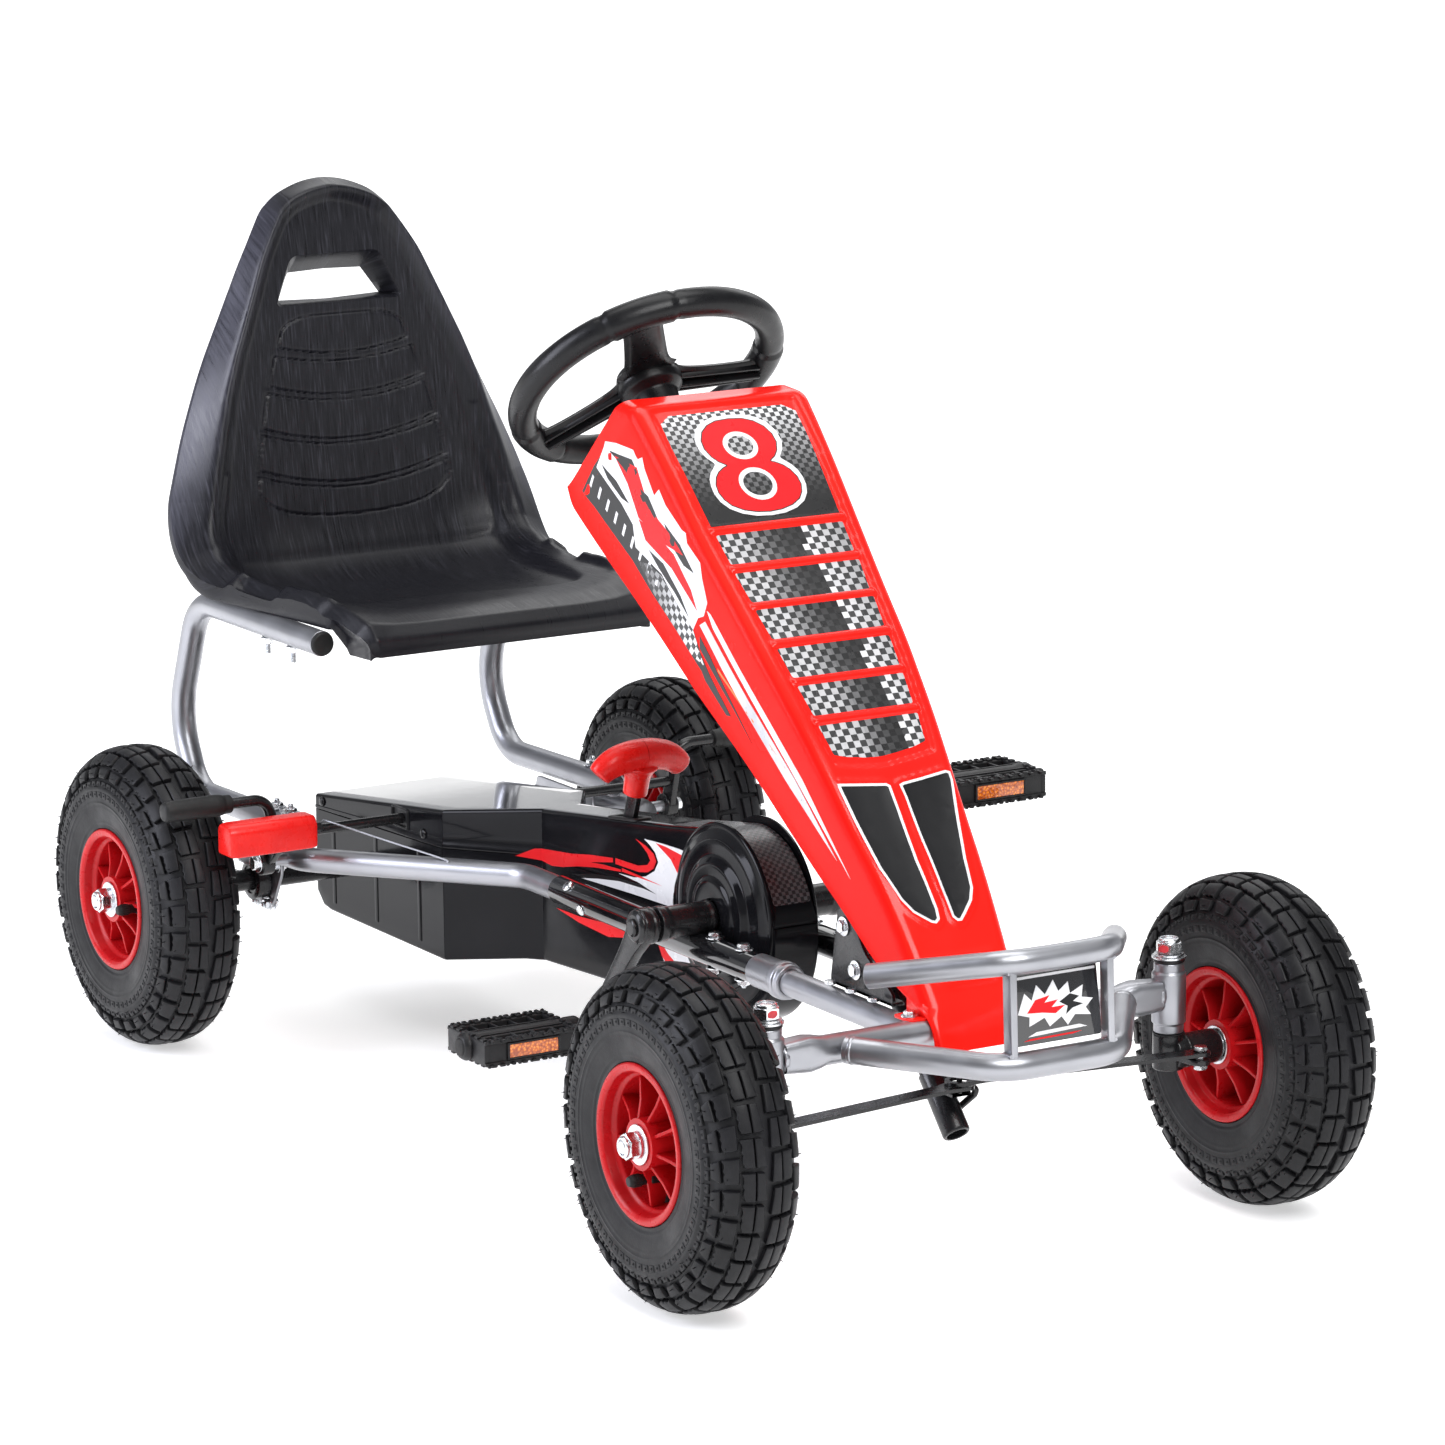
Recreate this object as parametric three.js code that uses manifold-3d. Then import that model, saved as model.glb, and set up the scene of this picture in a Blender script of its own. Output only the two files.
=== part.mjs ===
// Child's pedal go kart. Millimetres, +Z up, +X forwards, +Y to the driver's left.
// Everything is laid out from the rear axle (X = 0, floor Z = 0), and the whole
// group is then moved so that the origin is the middle of the footprint.
import * as THREE from 'three';
import * as BGU from 'three/addons/utils/BufferGeometryUtils.js';
import Module from 'manifold-3d';

const wasm = await Module();
wasm.setup();

// ---------------------------------------------------------------- dimensions
const ORIGIN_X = 437.6;            // rear axle to the middle of the footprint
const GAP = 0.3;                   // clearance between touching pieces

const TYRE_R = 130, TYRE_HALF = 38;
const WHEEL_Z = 130;
const FRONT_X = 900, FRONT_Y = 258.4;
const REAR_Y = 261.4;
const RIM_FLANGE_R = 61, RIM_HALF = 36, RIM_BARREL_R = 54.5;
const HUB_BORE = 9.6, AXLE_R = 9.3, THREAD_R = 6;

const KINGPIN_X = 897, KINGPIN_Y = 181;
const BEAM_Z = 177, BEAM_R = 11.5;
const RAIL_Y = 46, RAIL_Z = 176, RAIL_R = 10.5, SLEEVE_TUBE_R = 12;
const COUPLER_X = 664;                      // back of the frame couplers
const REAR_TUBE_Y = 168;
const SEAT_RAIL_Y = 154, SEAT_RAIL_Z = 360;

const COLUMN_TILT = 41.2 * Math.PI / 180;   // from the vertical
const WHEEL_C = [418, 610.5];               // steering wheel centre, X and Z
const STEER_R = 106, STEER_TUBE = 13;
const COLUMN_R = 9.5;
const PITMAN_X = 880;
const ARM_X = 931, ARM_Y = 187;             // tie rod pin on the knuckle arm

const CRANK_X = 568, CRANK_Z = 198, DRUM_R = 79, DRUM_Z = 187;
const CRANK_R = 10;
const PEDAL_Y = 170;
const PEDAL_DX = 79, PEDAL_DZ = 99;         // right crank points back and down
const CHAINRING_R = 52, SPROCKET_R = 26;

const BRAKE_X = 103, BRAKE_Z = 171;
const SLEEVE_X = 117, SLEEVE_Z = 229;
const GRIP_X = 145, GRIP_Z = 205;
const LEVER_X = 392, LEVER_Y = -12, LEVER_Z = 212;

// ------------------------------------------------------------------ materials
const mat = (c, r, m) => new THREE.MeshStandardMaterial({ color: c, roughness: r, metalness: m });
const SILVER = mat(0xb4b6ba, 0.32, 0.85);
const BLACK_PAINT = mat(0x101012, 0.18, 0.2);
const BLACK_GLOSS = mat(0x08080a, 0.08, 0.0);
const SEAT_BLACK = mat(0x17181a, 0.5, 0.0);
const RED_GLOSS = mat(0xd5110f, 0.12, 0.0);
const RED_PLASTIC = mat(0xc5161a, 0.4, 0.0);
const RUBBER = mat(0x111213, 0.75, 0.0);
const ZINC = mat(0xc6c9cc, 0.25, 1.0);
const GRIP_BLACK = mat(0x0d0d0e, 0.55, 0.0);

// -------------------------------------------------------------------- helpers
const V = (x, y, z) => new THREE.Vector3(x, y, z);
const root = new THREE.Group();
root.position.x = -ORIGIN_X;

function tidy(geo) {
  let g = geo.index ? geo.clone() : geo.clone();
  for (const n of Object.keys(g.attributes)) if (n !== 'position') g.deleteAttribute(n);
  g.clearGroups();
  g = BGU.mergeVertices(g, 1e-4);
  const p = g.attributes.position, src = g.index.array, out = [];
  let vol = 0;
  for (let i = 0; i < src.length; i += 3) {
    const a = src[i], b = src[i + 1], c = src[i + 2];
    if (a === b || b === c || c === a) continue;
    out.push(a, b, c);
    const A = V().fromBufferAttribute(p, a), B = V().fromBufferAttribute(p, b), C = V().fromBufferAttribute(p, c);
    vol += A.dot(B.cross(C));
  }
  if (vol < 0) for (let i = 0; i < out.length; i += 3) [out[i], out[i + 1]] = [out[i + 1], out[i]];
  g.setIndex(out);
  return g;
}
function solid(geo) {
  const g = tidy(geo);
  return new wasm.Manifold(new wasm.Mesh({
    numProp: 3,
    vertProperties: new Float32Array(g.attributes.position.array),
    triVerts: new Uint32Array(g.index.array),
  }));
}
function geometry(m) {
  const q = m.getMesh();
  const g = new THREE.BufferGeometry();
  g.setAttribute('position', new THREE.BufferAttribute(new Float32Array(q.vertProperties), 3));
  g.setIndex(new THREE.BufferAttribute(new Uint32Array(q.triVerts), 1));
  return g;
}
const union = (...a) => a.reduce((x, y) => x.add(y));
function put(name, thing, material) {
  const g = thing.isBufferGeometry ? tidy(thing) : geometry(thing);
  g.computeVertexNormals();
  const m = new THREE.Mesh(g, material);
  m.name = name;
  root.add(m);
}
// cylinder between two points
function rod(a, b, r, seg = 12, r2 = r) {
  const A = V(...a), B = V(...b), d = B.clone().sub(A);
  const g = new THREE.CylinderGeometry(r2, r, d.length(), seg, 1);
  g.translate(0, d.length() / 2, 0);
  g.applyQuaternion(new THREE.Quaternion().setFromUnitVectors(V(0, 1, 0), d.normalize()));
  g.translate(A.x, A.y, A.z);
  return g;
}
function box(x0, x1, y0, y1, z0, z1) {
  const g = new THREE.BoxGeometry(x1 - x0, y1 - y0, z1 - z0);
  g.translate((x0 + x1) / 2, (y0 + y1) / 2, (z0 + z1) / 2);
  return g;
}
// a turned piece about an axis along Y: profile of [radius, y]
function turnedY(profile, seg, x, y, z, phase = 0) {
  const g = new THREE.LatheGeometry(profile.map(([r, h]) => new THREE.Vector2(r, h)), seg);
  g.rotateY(phase);
  g.translate(x, y, z);
  return g;
}
// a turned piece about a vertical axis: profile of [radius, z]
function turnedZ(profile, seg, x, y, z) {
  const g = new THREE.LatheGeometry(profile.map(([r, h]) => new THREE.Vector2(r, h)), seg);
  g.rotateX(Math.PI / 2);
  g.translate(x, y, z);
  return g;
}
// an X-Z outline pushed along Y from y0 to y1
function plateY(points, y0, y1, holes = []) {
  const s = new THREE.Shape(points.map(([x, z]) => new THREE.Vector2(x, z)));
  for (const h of holes) s.holes.push(new THREE.Path(h.map(([x, z]) => new THREE.Vector2(x, z))));
  const g = new THREE.ExtrudeGeometry(s, { depth: y1 - y0, bevelEnabled: false, curveSegments: 1 });
  g.rotateX(Math.PI / 2);       // shape y becomes z, depth becomes -y
  g.translate(0, y1, 0);
  return g;
}
// an X-Y outline pushed along Z
function plateZ(points, z0, z1, holes = []) {
  const s = new THREE.Shape(points.map(([x, y]) => new THREE.Vector2(x, y)));
  for (const h of holes) s.holes.push(new THREE.Path(h.map(([x, y]) => new THREE.Vector2(x, y))));
  const g = new THREE.ExtrudeGeometry(s, { depth: z1 - z0, bevelEnabled: false, curveSegments: 1 });
  g.translate(0, 0, z0);
  return g;
}
const arc = (cx, cy, r, a0, a1, n) => Array.from({ length: n + 1 }, (_, i) => {
  const a = a0 + (a1 - a0) * i / n;
  return [cx + r * Math.cos(a), cy + r * Math.sin(a)];
});
const circle = (cx, cy, r, n) => arc(cx, cy, r, 0, 2 * Math.PI * (n - 1) / n, n - 1);

// a bent tube: straight lengths joined by filleted corners, each corner a few steps
class BentPath extends THREE.Curve {
  constructor(pts, radii, steps = 4) {
    super();
    const P = pts.map((p) => V(...p)), out = [P[0]];
    for (let i = 1; i < P.length - 1; i++) {
      const a = P[i - 1].clone().sub(P[i]).normalize(), b = P[i + 1].clone().sub(P[i]).normalize();
      const half = Math.acos(THREE.MathUtils.clamp(a.dot(b), -1, 1)) / 2;
      const t = radii[i - 1] / Math.tan(half);
      const s = P[i].clone().addScaledVector(a, t), e = P[i].clone().addScaledVector(b, t);
      const mid = a.clone().add(b).normalize();
      const c = P[i].clone().addScaledVector(mid, radii[i - 1] / Math.sin(half));
      const u = s.clone().sub(c), w = e.clone().sub(c), ang = u.angleTo(w);
      const ax = u.clone().cross(w).normalize();
      for (let k = 0; k <= steps; k++) out.push(c.clone().add(u.clone().applyAxisAngle(ax, ang * k / steps)));
    }
    out.push(P[P.length - 1]);
    this.list = out;
  }
  getPoint(t) {
    const n = this.list.length - 1, f = Math.min(n - 1e-9, Math.max(0, t * n)), i = Math.floor(f);
    return this.list[i].clone().lerp(this.list[i + 1], f - i);
  }
  getSpacedPoints() { return this.list.map((p) => p.clone()); }
  getTangentAt(u) {
    const n = this.list.length - 1, i = Math.round(u * n);
    const f = i < n ? this.list[i + 1].clone().sub(this.list[i]).normalize() : null;
    const b = i > 0 ? this.list[i].clone().sub(this.list[i - 1]).normalize() : null;
    return (f && b) ? f.add(b).normalize() : (f || b);
  }
}
function tube(pts, radii, r, wall = 0, sides = 10, steps = 4) {
  const path = new BentPath(pts, radii, steps);
  const ring = (q) => circle(0, 0, q, sides).map(([x, y]) => new THREE.Vector2(x, y));
  const s = new THREE.Shape(ring(r));
  if (wall > 0) s.holes.push(new THREE.Path(ring(r - wall)));
  return new THREE.ExtrudeGeometry(s, { steps: path.list.length - 1, extrudePath: path, bevelEnabled: false, curveSegments: 1 });
}
const mirrorY = (pts) => pts.map(([x, y, z]) => [x, -y, z]);

// a sheet of material: rows of points, thickened to one side
function sheet(rows, thick) {
  const nu = rows.length, nv = rows[0].length;
  const P = rows.map((r) => r.map((p) => V(...p)));
  const N = P.map((r, i) => r.map((p, j) => {
    const du = P[Math.min(nu - 1, i + 1)][j].clone().sub(P[Math.max(0, i - 1)][j]);
    const dv = P[i][Math.min(nv - 1, j + 1)].clone().sub(P[i][Math.max(0, j - 1)]);
    return du.cross(dv).normalize();
  }));
  const pos = [], idx = [];
  for (let i = 0; i < nu; i++) for (let j = 0; j < nv; j++) pos.push(...P[i][j].toArray());
  for (let i = 0; i < nu; i++) for (let j = 0; j < nv; j++) pos.push(...P[i][j].clone().addScaledVector(N[i][j], thick).toArray());
  const o = (i, j) => i * nv + j, q = (i, j) => nu * nv + i * nv + j;
  const quad = (a, b, c, d) => idx.push(a, b, c, a, c, d);
  for (let i = 0; i < nu - 1; i++) for (let j = 0; j < nv - 1; j++) {
    quad(o(i, j), o(i, j + 1), o(i + 1, j + 1), o(i + 1, j));
    quad(q(i, j), q(i + 1, j), q(i + 1, j + 1), q(i, j + 1));
  }
  for (let i = 0; i < nu - 1; i++) {
    quad(o(i, 0), o(i + 1, 0), q(i + 1, 0), q(i, 0));
    quad(o(i + 1, nv - 1), o(i, nv - 1), q(i, nv - 1), q(i + 1, nv - 1));
  }
  for (let j = 0; j < nv - 1; j++) {
    quad(o(0, j + 1), o(0, j), q(0, j), q(0, j + 1));
    quad(o(nu - 1, j), o(nu - 1, j + 1), q(nu - 1, j + 1), q(nu - 1, j));
  }
  const g = new THREE.BufferGeometry();
  g.setAttribute('position', new THREE.BufferAttribute(new Float32Array(pos), 3));
  g.setIndex(idx);
  return g;
}
// radius of a bore of n flats that clears a pin of radius r
const bore = (r, n) => (r + GAP) / Math.cos(Math.PI / n);
// point on the steering column axis at a height
const onColumn = (z) => [WHEEL_C[0] + Math.tan(COLUMN_TILT) * (WHEEL_C[1] - z), 0, z];

// --------------------------------------------------------------------- wheels
const WSEG = 20;
function tyre(name, x, y) {
  const out = [[55, 32], [61.8, 32.6], [84, TYRE_HALF], [114, 34], [TYRE_R, 14]];
  const inn = [[122, 13], [106, 29], [55, 24]];
  const prof = [
    ...out.map(([r, h]) => [r, h]), ...out.slice().reverse().map(([r, h]) => [r, -h]),
    ...inn.slice().reverse().map(([r, h]) => [r, -h]), ...inn.map(([r, h]) => [r, h]), out[0],
  ];
  put(name, turnedY(prof, WSEG, x, y, WHEEL_Z), RUBBER);
}
function rim(name, x, y, side) {
  const s = side, f = RIM_HALF;
  const prof = [[HUB_BORE, -30], [19, -30], [19, 2], [50.5, 2], [50.5, -f], [RIM_FLANGE_R, -f], [RIM_BARREL_R - GAP, -32.6],
    [RIM_BARREL_R - GAP, 32.6], [RIM_FLANGE_R, f], [50.5, f], [50.5, 8], [19, 8], [19, 34], [HUB_BORE, 34], [HUB_BORE, -30]];
  let m = solid(turnedY(prof.map(([r, h]) => [r, h * s]), WSEG, 0, 0, 0));
  for (let k = 0; k < 9; k++) {
    const a = 2 * Math.PI * k / 9 + 0.1;
    const g = new THREE.BoxGeometry(32.6, 22, 3);
    g.translate(34.6, s * 18, 0);
    g.rotateY(a);
    m = m.add(solid(g));
  }
  const g = geometry(m);
  g.translate(x, y, WHEEL_Z);
  put(name, g, RED_PLASTIC);
}
function nut(name, x, y, z, side) {
  // hexagon nut with its washer, screwed on the threaded end
  const hex = new THREE.CylinderGeometry(11, 11, 8, 6, 1);
  hex.translate(x, y + side * 6.2, z);
  const washer = rod([x, y + side * GAP, z], [x, y + side * 2.4, z], 15, 16);
  const m = union(solid(hex), solid(washer)).subtract(solid(rod([x, y - side * 5, z], [x, y + side * 30, z], bore(THREAD_R, 12), 12)));
  put(name, m, ZINC);
}
for (const [tag, s] of [['left', 1], ['right', -1]]) {
  tyre(`front_tyre_${tag}`, FRONT_X, s * FRONT_Y);
  rim(`front_rim_${tag}`, FRONT_X, s * FRONT_Y, s);
  nut(`front_wheel_nut_${tag}`, FRONT_X, s * (FRONT_Y + 34.3), WHEEL_Z, s);
  tyre(`rear_tyre_${tag}`, 0, s * REAR_Y);
  rim(`rear_rim_${tag}`, 0, s * REAR_Y, s);
  nut(`rear_wheel_nut_${tag}`, 0, s * (REAR_Y + 34.3), WHEEL_Z, s);
}

// ------------------------------------------------------------------ rear axle
{
  const e = REAR_Y + 34, h = REAR_Y - 30 - GAP;
  const half = [[0, e + 11], [THREAD_R, e + 11], [THREAD_R, e], [AXLE_R, e], [AXLE_R, h], [20, h], [20, h - 16], [AXLE_R, h - 16]];
  const prof = [...half, ...half.slice().reverse().map(([r, y]) => [r, -y])];
  put('rear_axle', turnedY(prof, 16, 0, 0, WHEEL_Z), BLACK_PAINT);
  // toothed sprocket pressed on the axle
  const teeth = [];
  for (let k = 0; k < 14; k++) for (const [f, r] of [[0, SPROCKET_R - 4], [0.4, SPROCKET_R]]) {
    const a = 2 * Math.PI * (k + f) / 14;
    teeth.push([r * Math.cos(a), WHEEL_Z + r * Math.sin(a)]);
  }
  put('rear_sprocket', plateY(teeth, -1.5, 1.5, [circle(0, WHEEL_Z, bore(AXLE_R, 12), 12)]), ZINC);
}

// ---------------------------------------------------------------- front frame
{
  const t = 1.8;
  let out = solid(rod([KINGPIN_X, -KINGPIN_Y, BEAM_Z], [KINGPIN_X, KINGPIN_Y, BEAM_Z], BEAM_R, 12));
  let inn = solid(rod([KINGPIN_X, -KINGPIN_Y + 16, BEAM_Z], [KINGPIN_X, KINGPIN_Y - 16, BEAM_Z], BEAM_R - t, 10));
  for (const s of [1, -1]) {
    out = out.add(solid(rod([COUPLER_X + GAP, s * RAIL_Y, RAIL_Z], [KINGPIN_X, s * RAIL_Y, RAIL_Z], RAIL_R, 10)));
    inn = inn.add(solid(rod([COUPLER_X - 8, s * RAIL_Y, RAIL_Z], [KINGPIN_X, s * RAIL_Y, RAIL_Z], RAIL_R - t, 8)));
    out = out.add(solid(turnedZ([[0, 146], [11.7, 146], [11.7, 153], [13.5, 155], [13.5, 193], [11.7, 195], [11.7, 202], [0, 202]], 12, KINGPIN_X, s * KINGPIN_Y, 0)));
    inn = inn.add(solid(rod([KINGPIN_X, s * KINGPIN_Y, 140], [KINGPIN_X, s * KINGPIN_Y, 210], 6.4, 12)));
  }
  put('front_frame', out.subtract(inn), SILVER);
}
{
  const up = [[926, -110, 237], [1014, -46, 257], [1014, 46, 257], [926, 110, 237]];
  const lo = [[917, -124, 181], [1017, -50, 178], [1017, 50, 178], [917, 124, 181]];
  let m = union(solid(tube(up, [26, 26], 9.5, 0, 8, 3)), solid(tube(lo, [42, 42], 10.5, 0, 8, 3)));
  for (const s of [1, -1]) m = m.add(solid(plateY([[1010, 184], [1022, 184], [1019, 254], [1007, 254]], s > 0 ? 40 : -46, s > 0 ? 46 : -40)));
  let inn = union(solid(tube([[919, -115, 235.4], ...up.slice(1, 3), [919, 115, 235.4]], [26, 26], 7.7, 0, 6, 3)),
    solid(tube([[910, -129.2, 181.2], ...lo.slice(1, 3), [910, 129.2, 181.2]], [42, 42], 8.5, 0, 6, 3)));
  put('front_bumper', m.subtract(inn), SILVER);
  const g = new THREE.BoxGeometry(2.5, 79, 53);
  g.rotateY(THREE.MathUtils.degToRad(-9));
  g.translate(1007.5, 0, 217.5);
  put('number_plate', g, BLACK_GLOSS);
}
for (const [tag, s] of [['left', 1], ['right', -1]]) {
  const ring = (x0, x1, r, q, seg = 14) => solid(rod([x0, s * RAIL_Y, RAIL_Z], [x1, s * RAIL_Y, RAIL_Z], r, seg))
    .subtract(solid(rod([x0 - 5, s * RAIL_Y, RAIL_Z], [x1 + 5, s * RAIL_Y, RAIL_Z], q, 12)));
  put(`frame_coupler_${tag}`, union(ring(COUPLER_X, COUPLER_X + 47, 13.6, bore(RAIL_R, 12)), ring(COUPLER_X + 34, COUPLER_X + 40, 15.2, bore(RAIL_R, 12))), SILVER);
  put(`chassis_tube_${tag}`, ring(345, COUPLER_X - GAP, SLEEVE_TUBE_R, bore(RAIL_R, 12)), BLACK_PAINT);

  const rear = [[14, s * REAR_TUBE_Y, 165.5], [118, s * REAR_TUBE_Y, 172], [288, s * RAIL_Y, RAIL_Z], [415, s * RAIL_Y, RAIL_Z]];
  const innr = [[8, s * REAR_TUBE_Y, 165.1], rear[1], rear[2], [425, s * RAIL_Y, RAIL_Z]];
  let m = union(solid(tube(rear, [40, 40], RAIL_R, 0, 10, 3)), solid(rod([BRAKE_X, s * 170, BRAKE_Z], [BRAKE_X, s * 207, BRAKE_Z], 5, 12)))
    .subtract(solid(tube(innr, [40, 40], RAIL_R - 1.9, 0, 6, 3)));
  put(`rear_frame_tube_${tag}`, m, SILVER);

  // seat support: upper rail, rear bow and the lower leg bolted on the frame tube
  put(`seat_support_tube_${tag}`, tube([[132, s * SEAT_RAIL_Y, SEAT_RAIL_Z], [-104, s * SEAT_RAIL_Y, SEAT_RAIL_Z], [-147, s * 155, 250], [-112, s * 156, 187], [84, s * 156, 191]],
    [46, 70, 42], 11, 1.8, 8, 3), SILVER);
  put(`rail_end_cap_${tag}`, union(solid(rod([132.3, s * SEAT_RAIL_Y, SEAT_RAIL_Z], [138, s * SEAT_RAIL_Y, SEAT_RAIL_Z], 11.6, 12)),
    solid(rod([118, s * SEAT_RAIL_Y, SEAT_RAIL_Z], [134, s * SEAT_RAIL_Y, SEAT_RAIL_Z], 8.2, 10))), GRIP_BLACK);

  // axle bracket: an upright plate with a flange under the frame tube
  const y0 = s * 146, y1 = s * 149;
  const plate = solid(plateY([[-18, 112], [-10, 104], [10, 104], [18, 112], [34, 140], [34, 153], [-18, 153]], Math.min(y0, y1), Math.max(y0, y1)))
    .subtract(solid(rod([0, s * 140, WHEEL_Z], [0, s * 160, WHEEL_Z], AXLE_R + 1, 16)));
  const fl = s > 0 ? box(8, 34, 147, 180, 150.5, 153) : box(8, 34, -180, -147, 150.5, 153);
  put(`axle_bracket_${tag}`, plate.add(solid(fl)), SILVER);
  put(`axle_bearing_${tag}`, solid(rod([0, s * 149.3, WHEEL_Z], [0, s * 163, WHEEL_Z], 18, 16))
    .subtract(solid(rod([0, s * 140, WHEEL_Z], [0, s * 170, WHEEL_Z], bore(AXLE_R, 16), 16))), BLACK_PAINT);
}

// ----------------------------------------------------------- steering linkage
for (const [tag, s] of [['left', 1], ['right', -1]]) {
  const ky = s * KINGPIN_Y, top = 145.7;
  let k = union(
    solid(rod([KINGPIN_X, ky, 117], [KINGPIN_X, ky, top], 12.5, 14)),
    solid(rod([FRONT_X, ky, WHEEL_Z], [FRONT_X, s * (FRONT_Y + 34), WHEEL_Z], AXLE_R, 14)),
    solid(rod([FRONT_X, s * (FRONT_Y + 30), WHEEL_Z], [FRONT_X, s * (FRONT_Y + 45), WHEEL_Z], THREAD_R, 12)),
    solid(rod([FRONT_X, ky, WHEEL_Z], [FRONT_X, s * (FRONT_Y - 31), WHEEL_Z], 14, 14)));
  const arm = plateZ([[KINGPIN_X - 4, ky - 9], [ARM_X, s * ARM_Y - 8], ...arc(ARM_X, s * ARM_Y, 8, -1.1, 1.1, 4), [ARM_X, s * ARM_Y + 8], [KINGPIN_X - 4, ky + 9]], 127, 131.4);
  k = union(k, solid(arm), solid(rod([ARM_X, s * ARM_Y, 130], [ARM_X, s * ARM_Y, 141], 4, 10)));
  put(`knuckle_${tag}`, k, BLACK_PAINT);
  const hex = new THREE.CylinderGeometry(11, 11, 11, 6, 1);
  hex.rotateX(Math.PI / 2);
  hex.translate(KINGPIN_X, ky, 214.5);
  put(`kingpin_${tag}`, union(solid(turnedZ([[0, top + GAP], [6.1, top + GAP], [6.1, 202.4], [12.5, 202.4], [12.5, 209], [6.1, 209], [6.1, 221], [0, 221]], 14, KINGPIN_X, ky, 0)), solid(hex)), ZINC);

  // flat tie rod from the pitman arm to the knuckle arm
  const zi = s < 0 ? 124.2 : 128.2, zo = 134.4, dx = ARM_X - PITMAN_X, dy = ARM_Y;
  const L = Math.hypot(dx, dy);
  const bar = plateZ([...arc(0, 0, 11.5, Math.PI / 2, Math.PI * 1.5, 6), [18, -8], ...arc(L, 0, 8, -Math.PI / 2, Math.PI / 2, 6), [18, 8]], 0, 2.8,
    [circle(0, 0, 7.6, 12), circle(L, 0, 5.2, 12)]);
  bar.rotateY(-Math.atan2(zo - zi, L));
  bar.rotateZ(Math.atan2(s * dy, dx));
  bar.translate(PITMAN_X, 0, zi);
  put(`tie_rod_${tag}`, bar, BLACK_PAINT);
}
{
  const top = onColumn(600), low = onColumn(86.5);
  const tabZ = 118, hx = onColumn(tabZ + 1.5)[0];
  put('steering_column', union(
    solid(rod(top, low, COLUMN_R, 14)), solid(rod(onColumn(128), low, 11, 14)),
    solid(plateZ([[hx, -9], [PITMAN_X, -8], ...arc(PITMAN_X, 0, 8, -1.1, 1.1, 4), [PITMAN_X, 8], [hx, 9]], tabZ, tabZ + 3)),
    solid(rod([PITMAN_X, 0, tabZ + 1], [PITMAN_X, 0, 134.5], 2.2, 10))), BLACK_PAINT);

  const ring = new THREE.TorusGeometry(STEER_R, STEER_TUBE, 8, 24);
  const spoke = (a, w0, w1) => {
    const s = new THREE.Shape([new THREE.Vector2(10, -w0), new THREE.Vector2(STEER_R - 2, -w1), new THREE.Vector2(STEER_R - 2, w1), new THREE.Vector2(10, w0)]);
    const g = new THREE.ExtrudeGeometry(s, { depth: 9, bevelEnabled: false });
    g.translate(0, 0, -7);
    g.rotateZ(a);
    return g;
  };
  let w = solid(ring);
  for (const [a, p, q] of [[0, 18, 15], [Math.PI * 0.58, 14, 11], [-Math.PI * 0.58, 14, 11]]) w = w.add(solid(spoke(a, p, q)));
  const hub = new THREE.CylinderGeometry(24, 29, 24, 14, 1);
  hub.rotateX(Math.PI / 2);
  hub.translate(0, 0, -3);
  const stem = new THREE.CylinderGeometry(19, 17, 40, 12, 1);
  stem.rotateX(Math.PI / 2);
  stem.translate(0, 0, -33);
  w = union(w, solid(hub), solid(stem));
  const g = geometry(w);
  g.rotateY(-COLUMN_TILT);          // local X points forwards and up, local Z up the column
  g.translate(WHEEL_C[0], 0, WHEEL_C[1]);
  put('steering_wheel', solid(g).subtract(solid(rod(onColumn(601), onColumn(500), bore(COLUMN_R, 14), 14))), GRIP_BLACK);
}
{
  // outer tube of the column, its cross plate and the two gussets on the rails
  let m = solid(rod(onColumn(565), onColumn(205), 13.5, 14));
  for (const s of [1, -1]) m = m.add(solid(plateY([[762, 187.2], [852, 187.2], [852, 196], [812, 220], [790, 250], [774, 250]], s > 0 ? 39 : -42, s > 0 ? 42 : -39)));
  m = m.add(solid(box(770, 800, -41, 41, 212, 216))).add(solid(box(762, 852, -42, 42, 187.2, 190.2)))
  m = m.subtract(solid(rod(onColumn(600), onColumn(150), bore(COLUMN_R, 14), 14)));
  m = m.subtract(solid(box(800, 846, -30, 30, 180, 194)));
  put('column_bracket', m, BLACK_PAINT);
}

// -------------------------------------------------------------------- fairing
{
  // rows run down the body: front crease X, Z, half width, and the side panel's lower edge X, Z
  const S = [
    [513, 610, 80, 430, 530], [533, 608, 81, 437, 520], [540, 604, 82, 444, 514], [585, 560, 79, 489, 482], [630, 512, 76, 532, 453], [668, 475, 72, 572, 422], [707, 437, 69, 610, 393],
    [754, 388, 63, 664, 354], [783, 354, 59, 700, 326], [812, 318, 55, 727, 302], [838, 290, 51, 768, 270], [860, 262, 48, 797, 249], [878, 236, 46, 838, 217], [900, 202, 43.5, 880, 199], [908, 190, 42.7, 901, 192.5], [914.5, 179, 42.2, 910.8, 181], [920.5, 166, 42, 914, 163],
  ];
  const rows = S.map(([x, z, w, bx, bz]) => {
    const d = V(x - bx, 0, z - bz), L = d.length(); d.normalize();
    const at = (k, y) => [bx + d.x * k, y, bz + d.z * k];
    const c = Math.min(7, L * 0.4);
    const half = [at(0, w), at(L * 0.5, w), at(L - c, w), at(L, w - c)];
    return [...half, [x, 0, z], ...half.slice().reverse().map(([a, b, e]) => [a, -b, e])];
  });
  put('fairing', sheet(rows, -2.5), RED_GLOSS);
}

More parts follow.
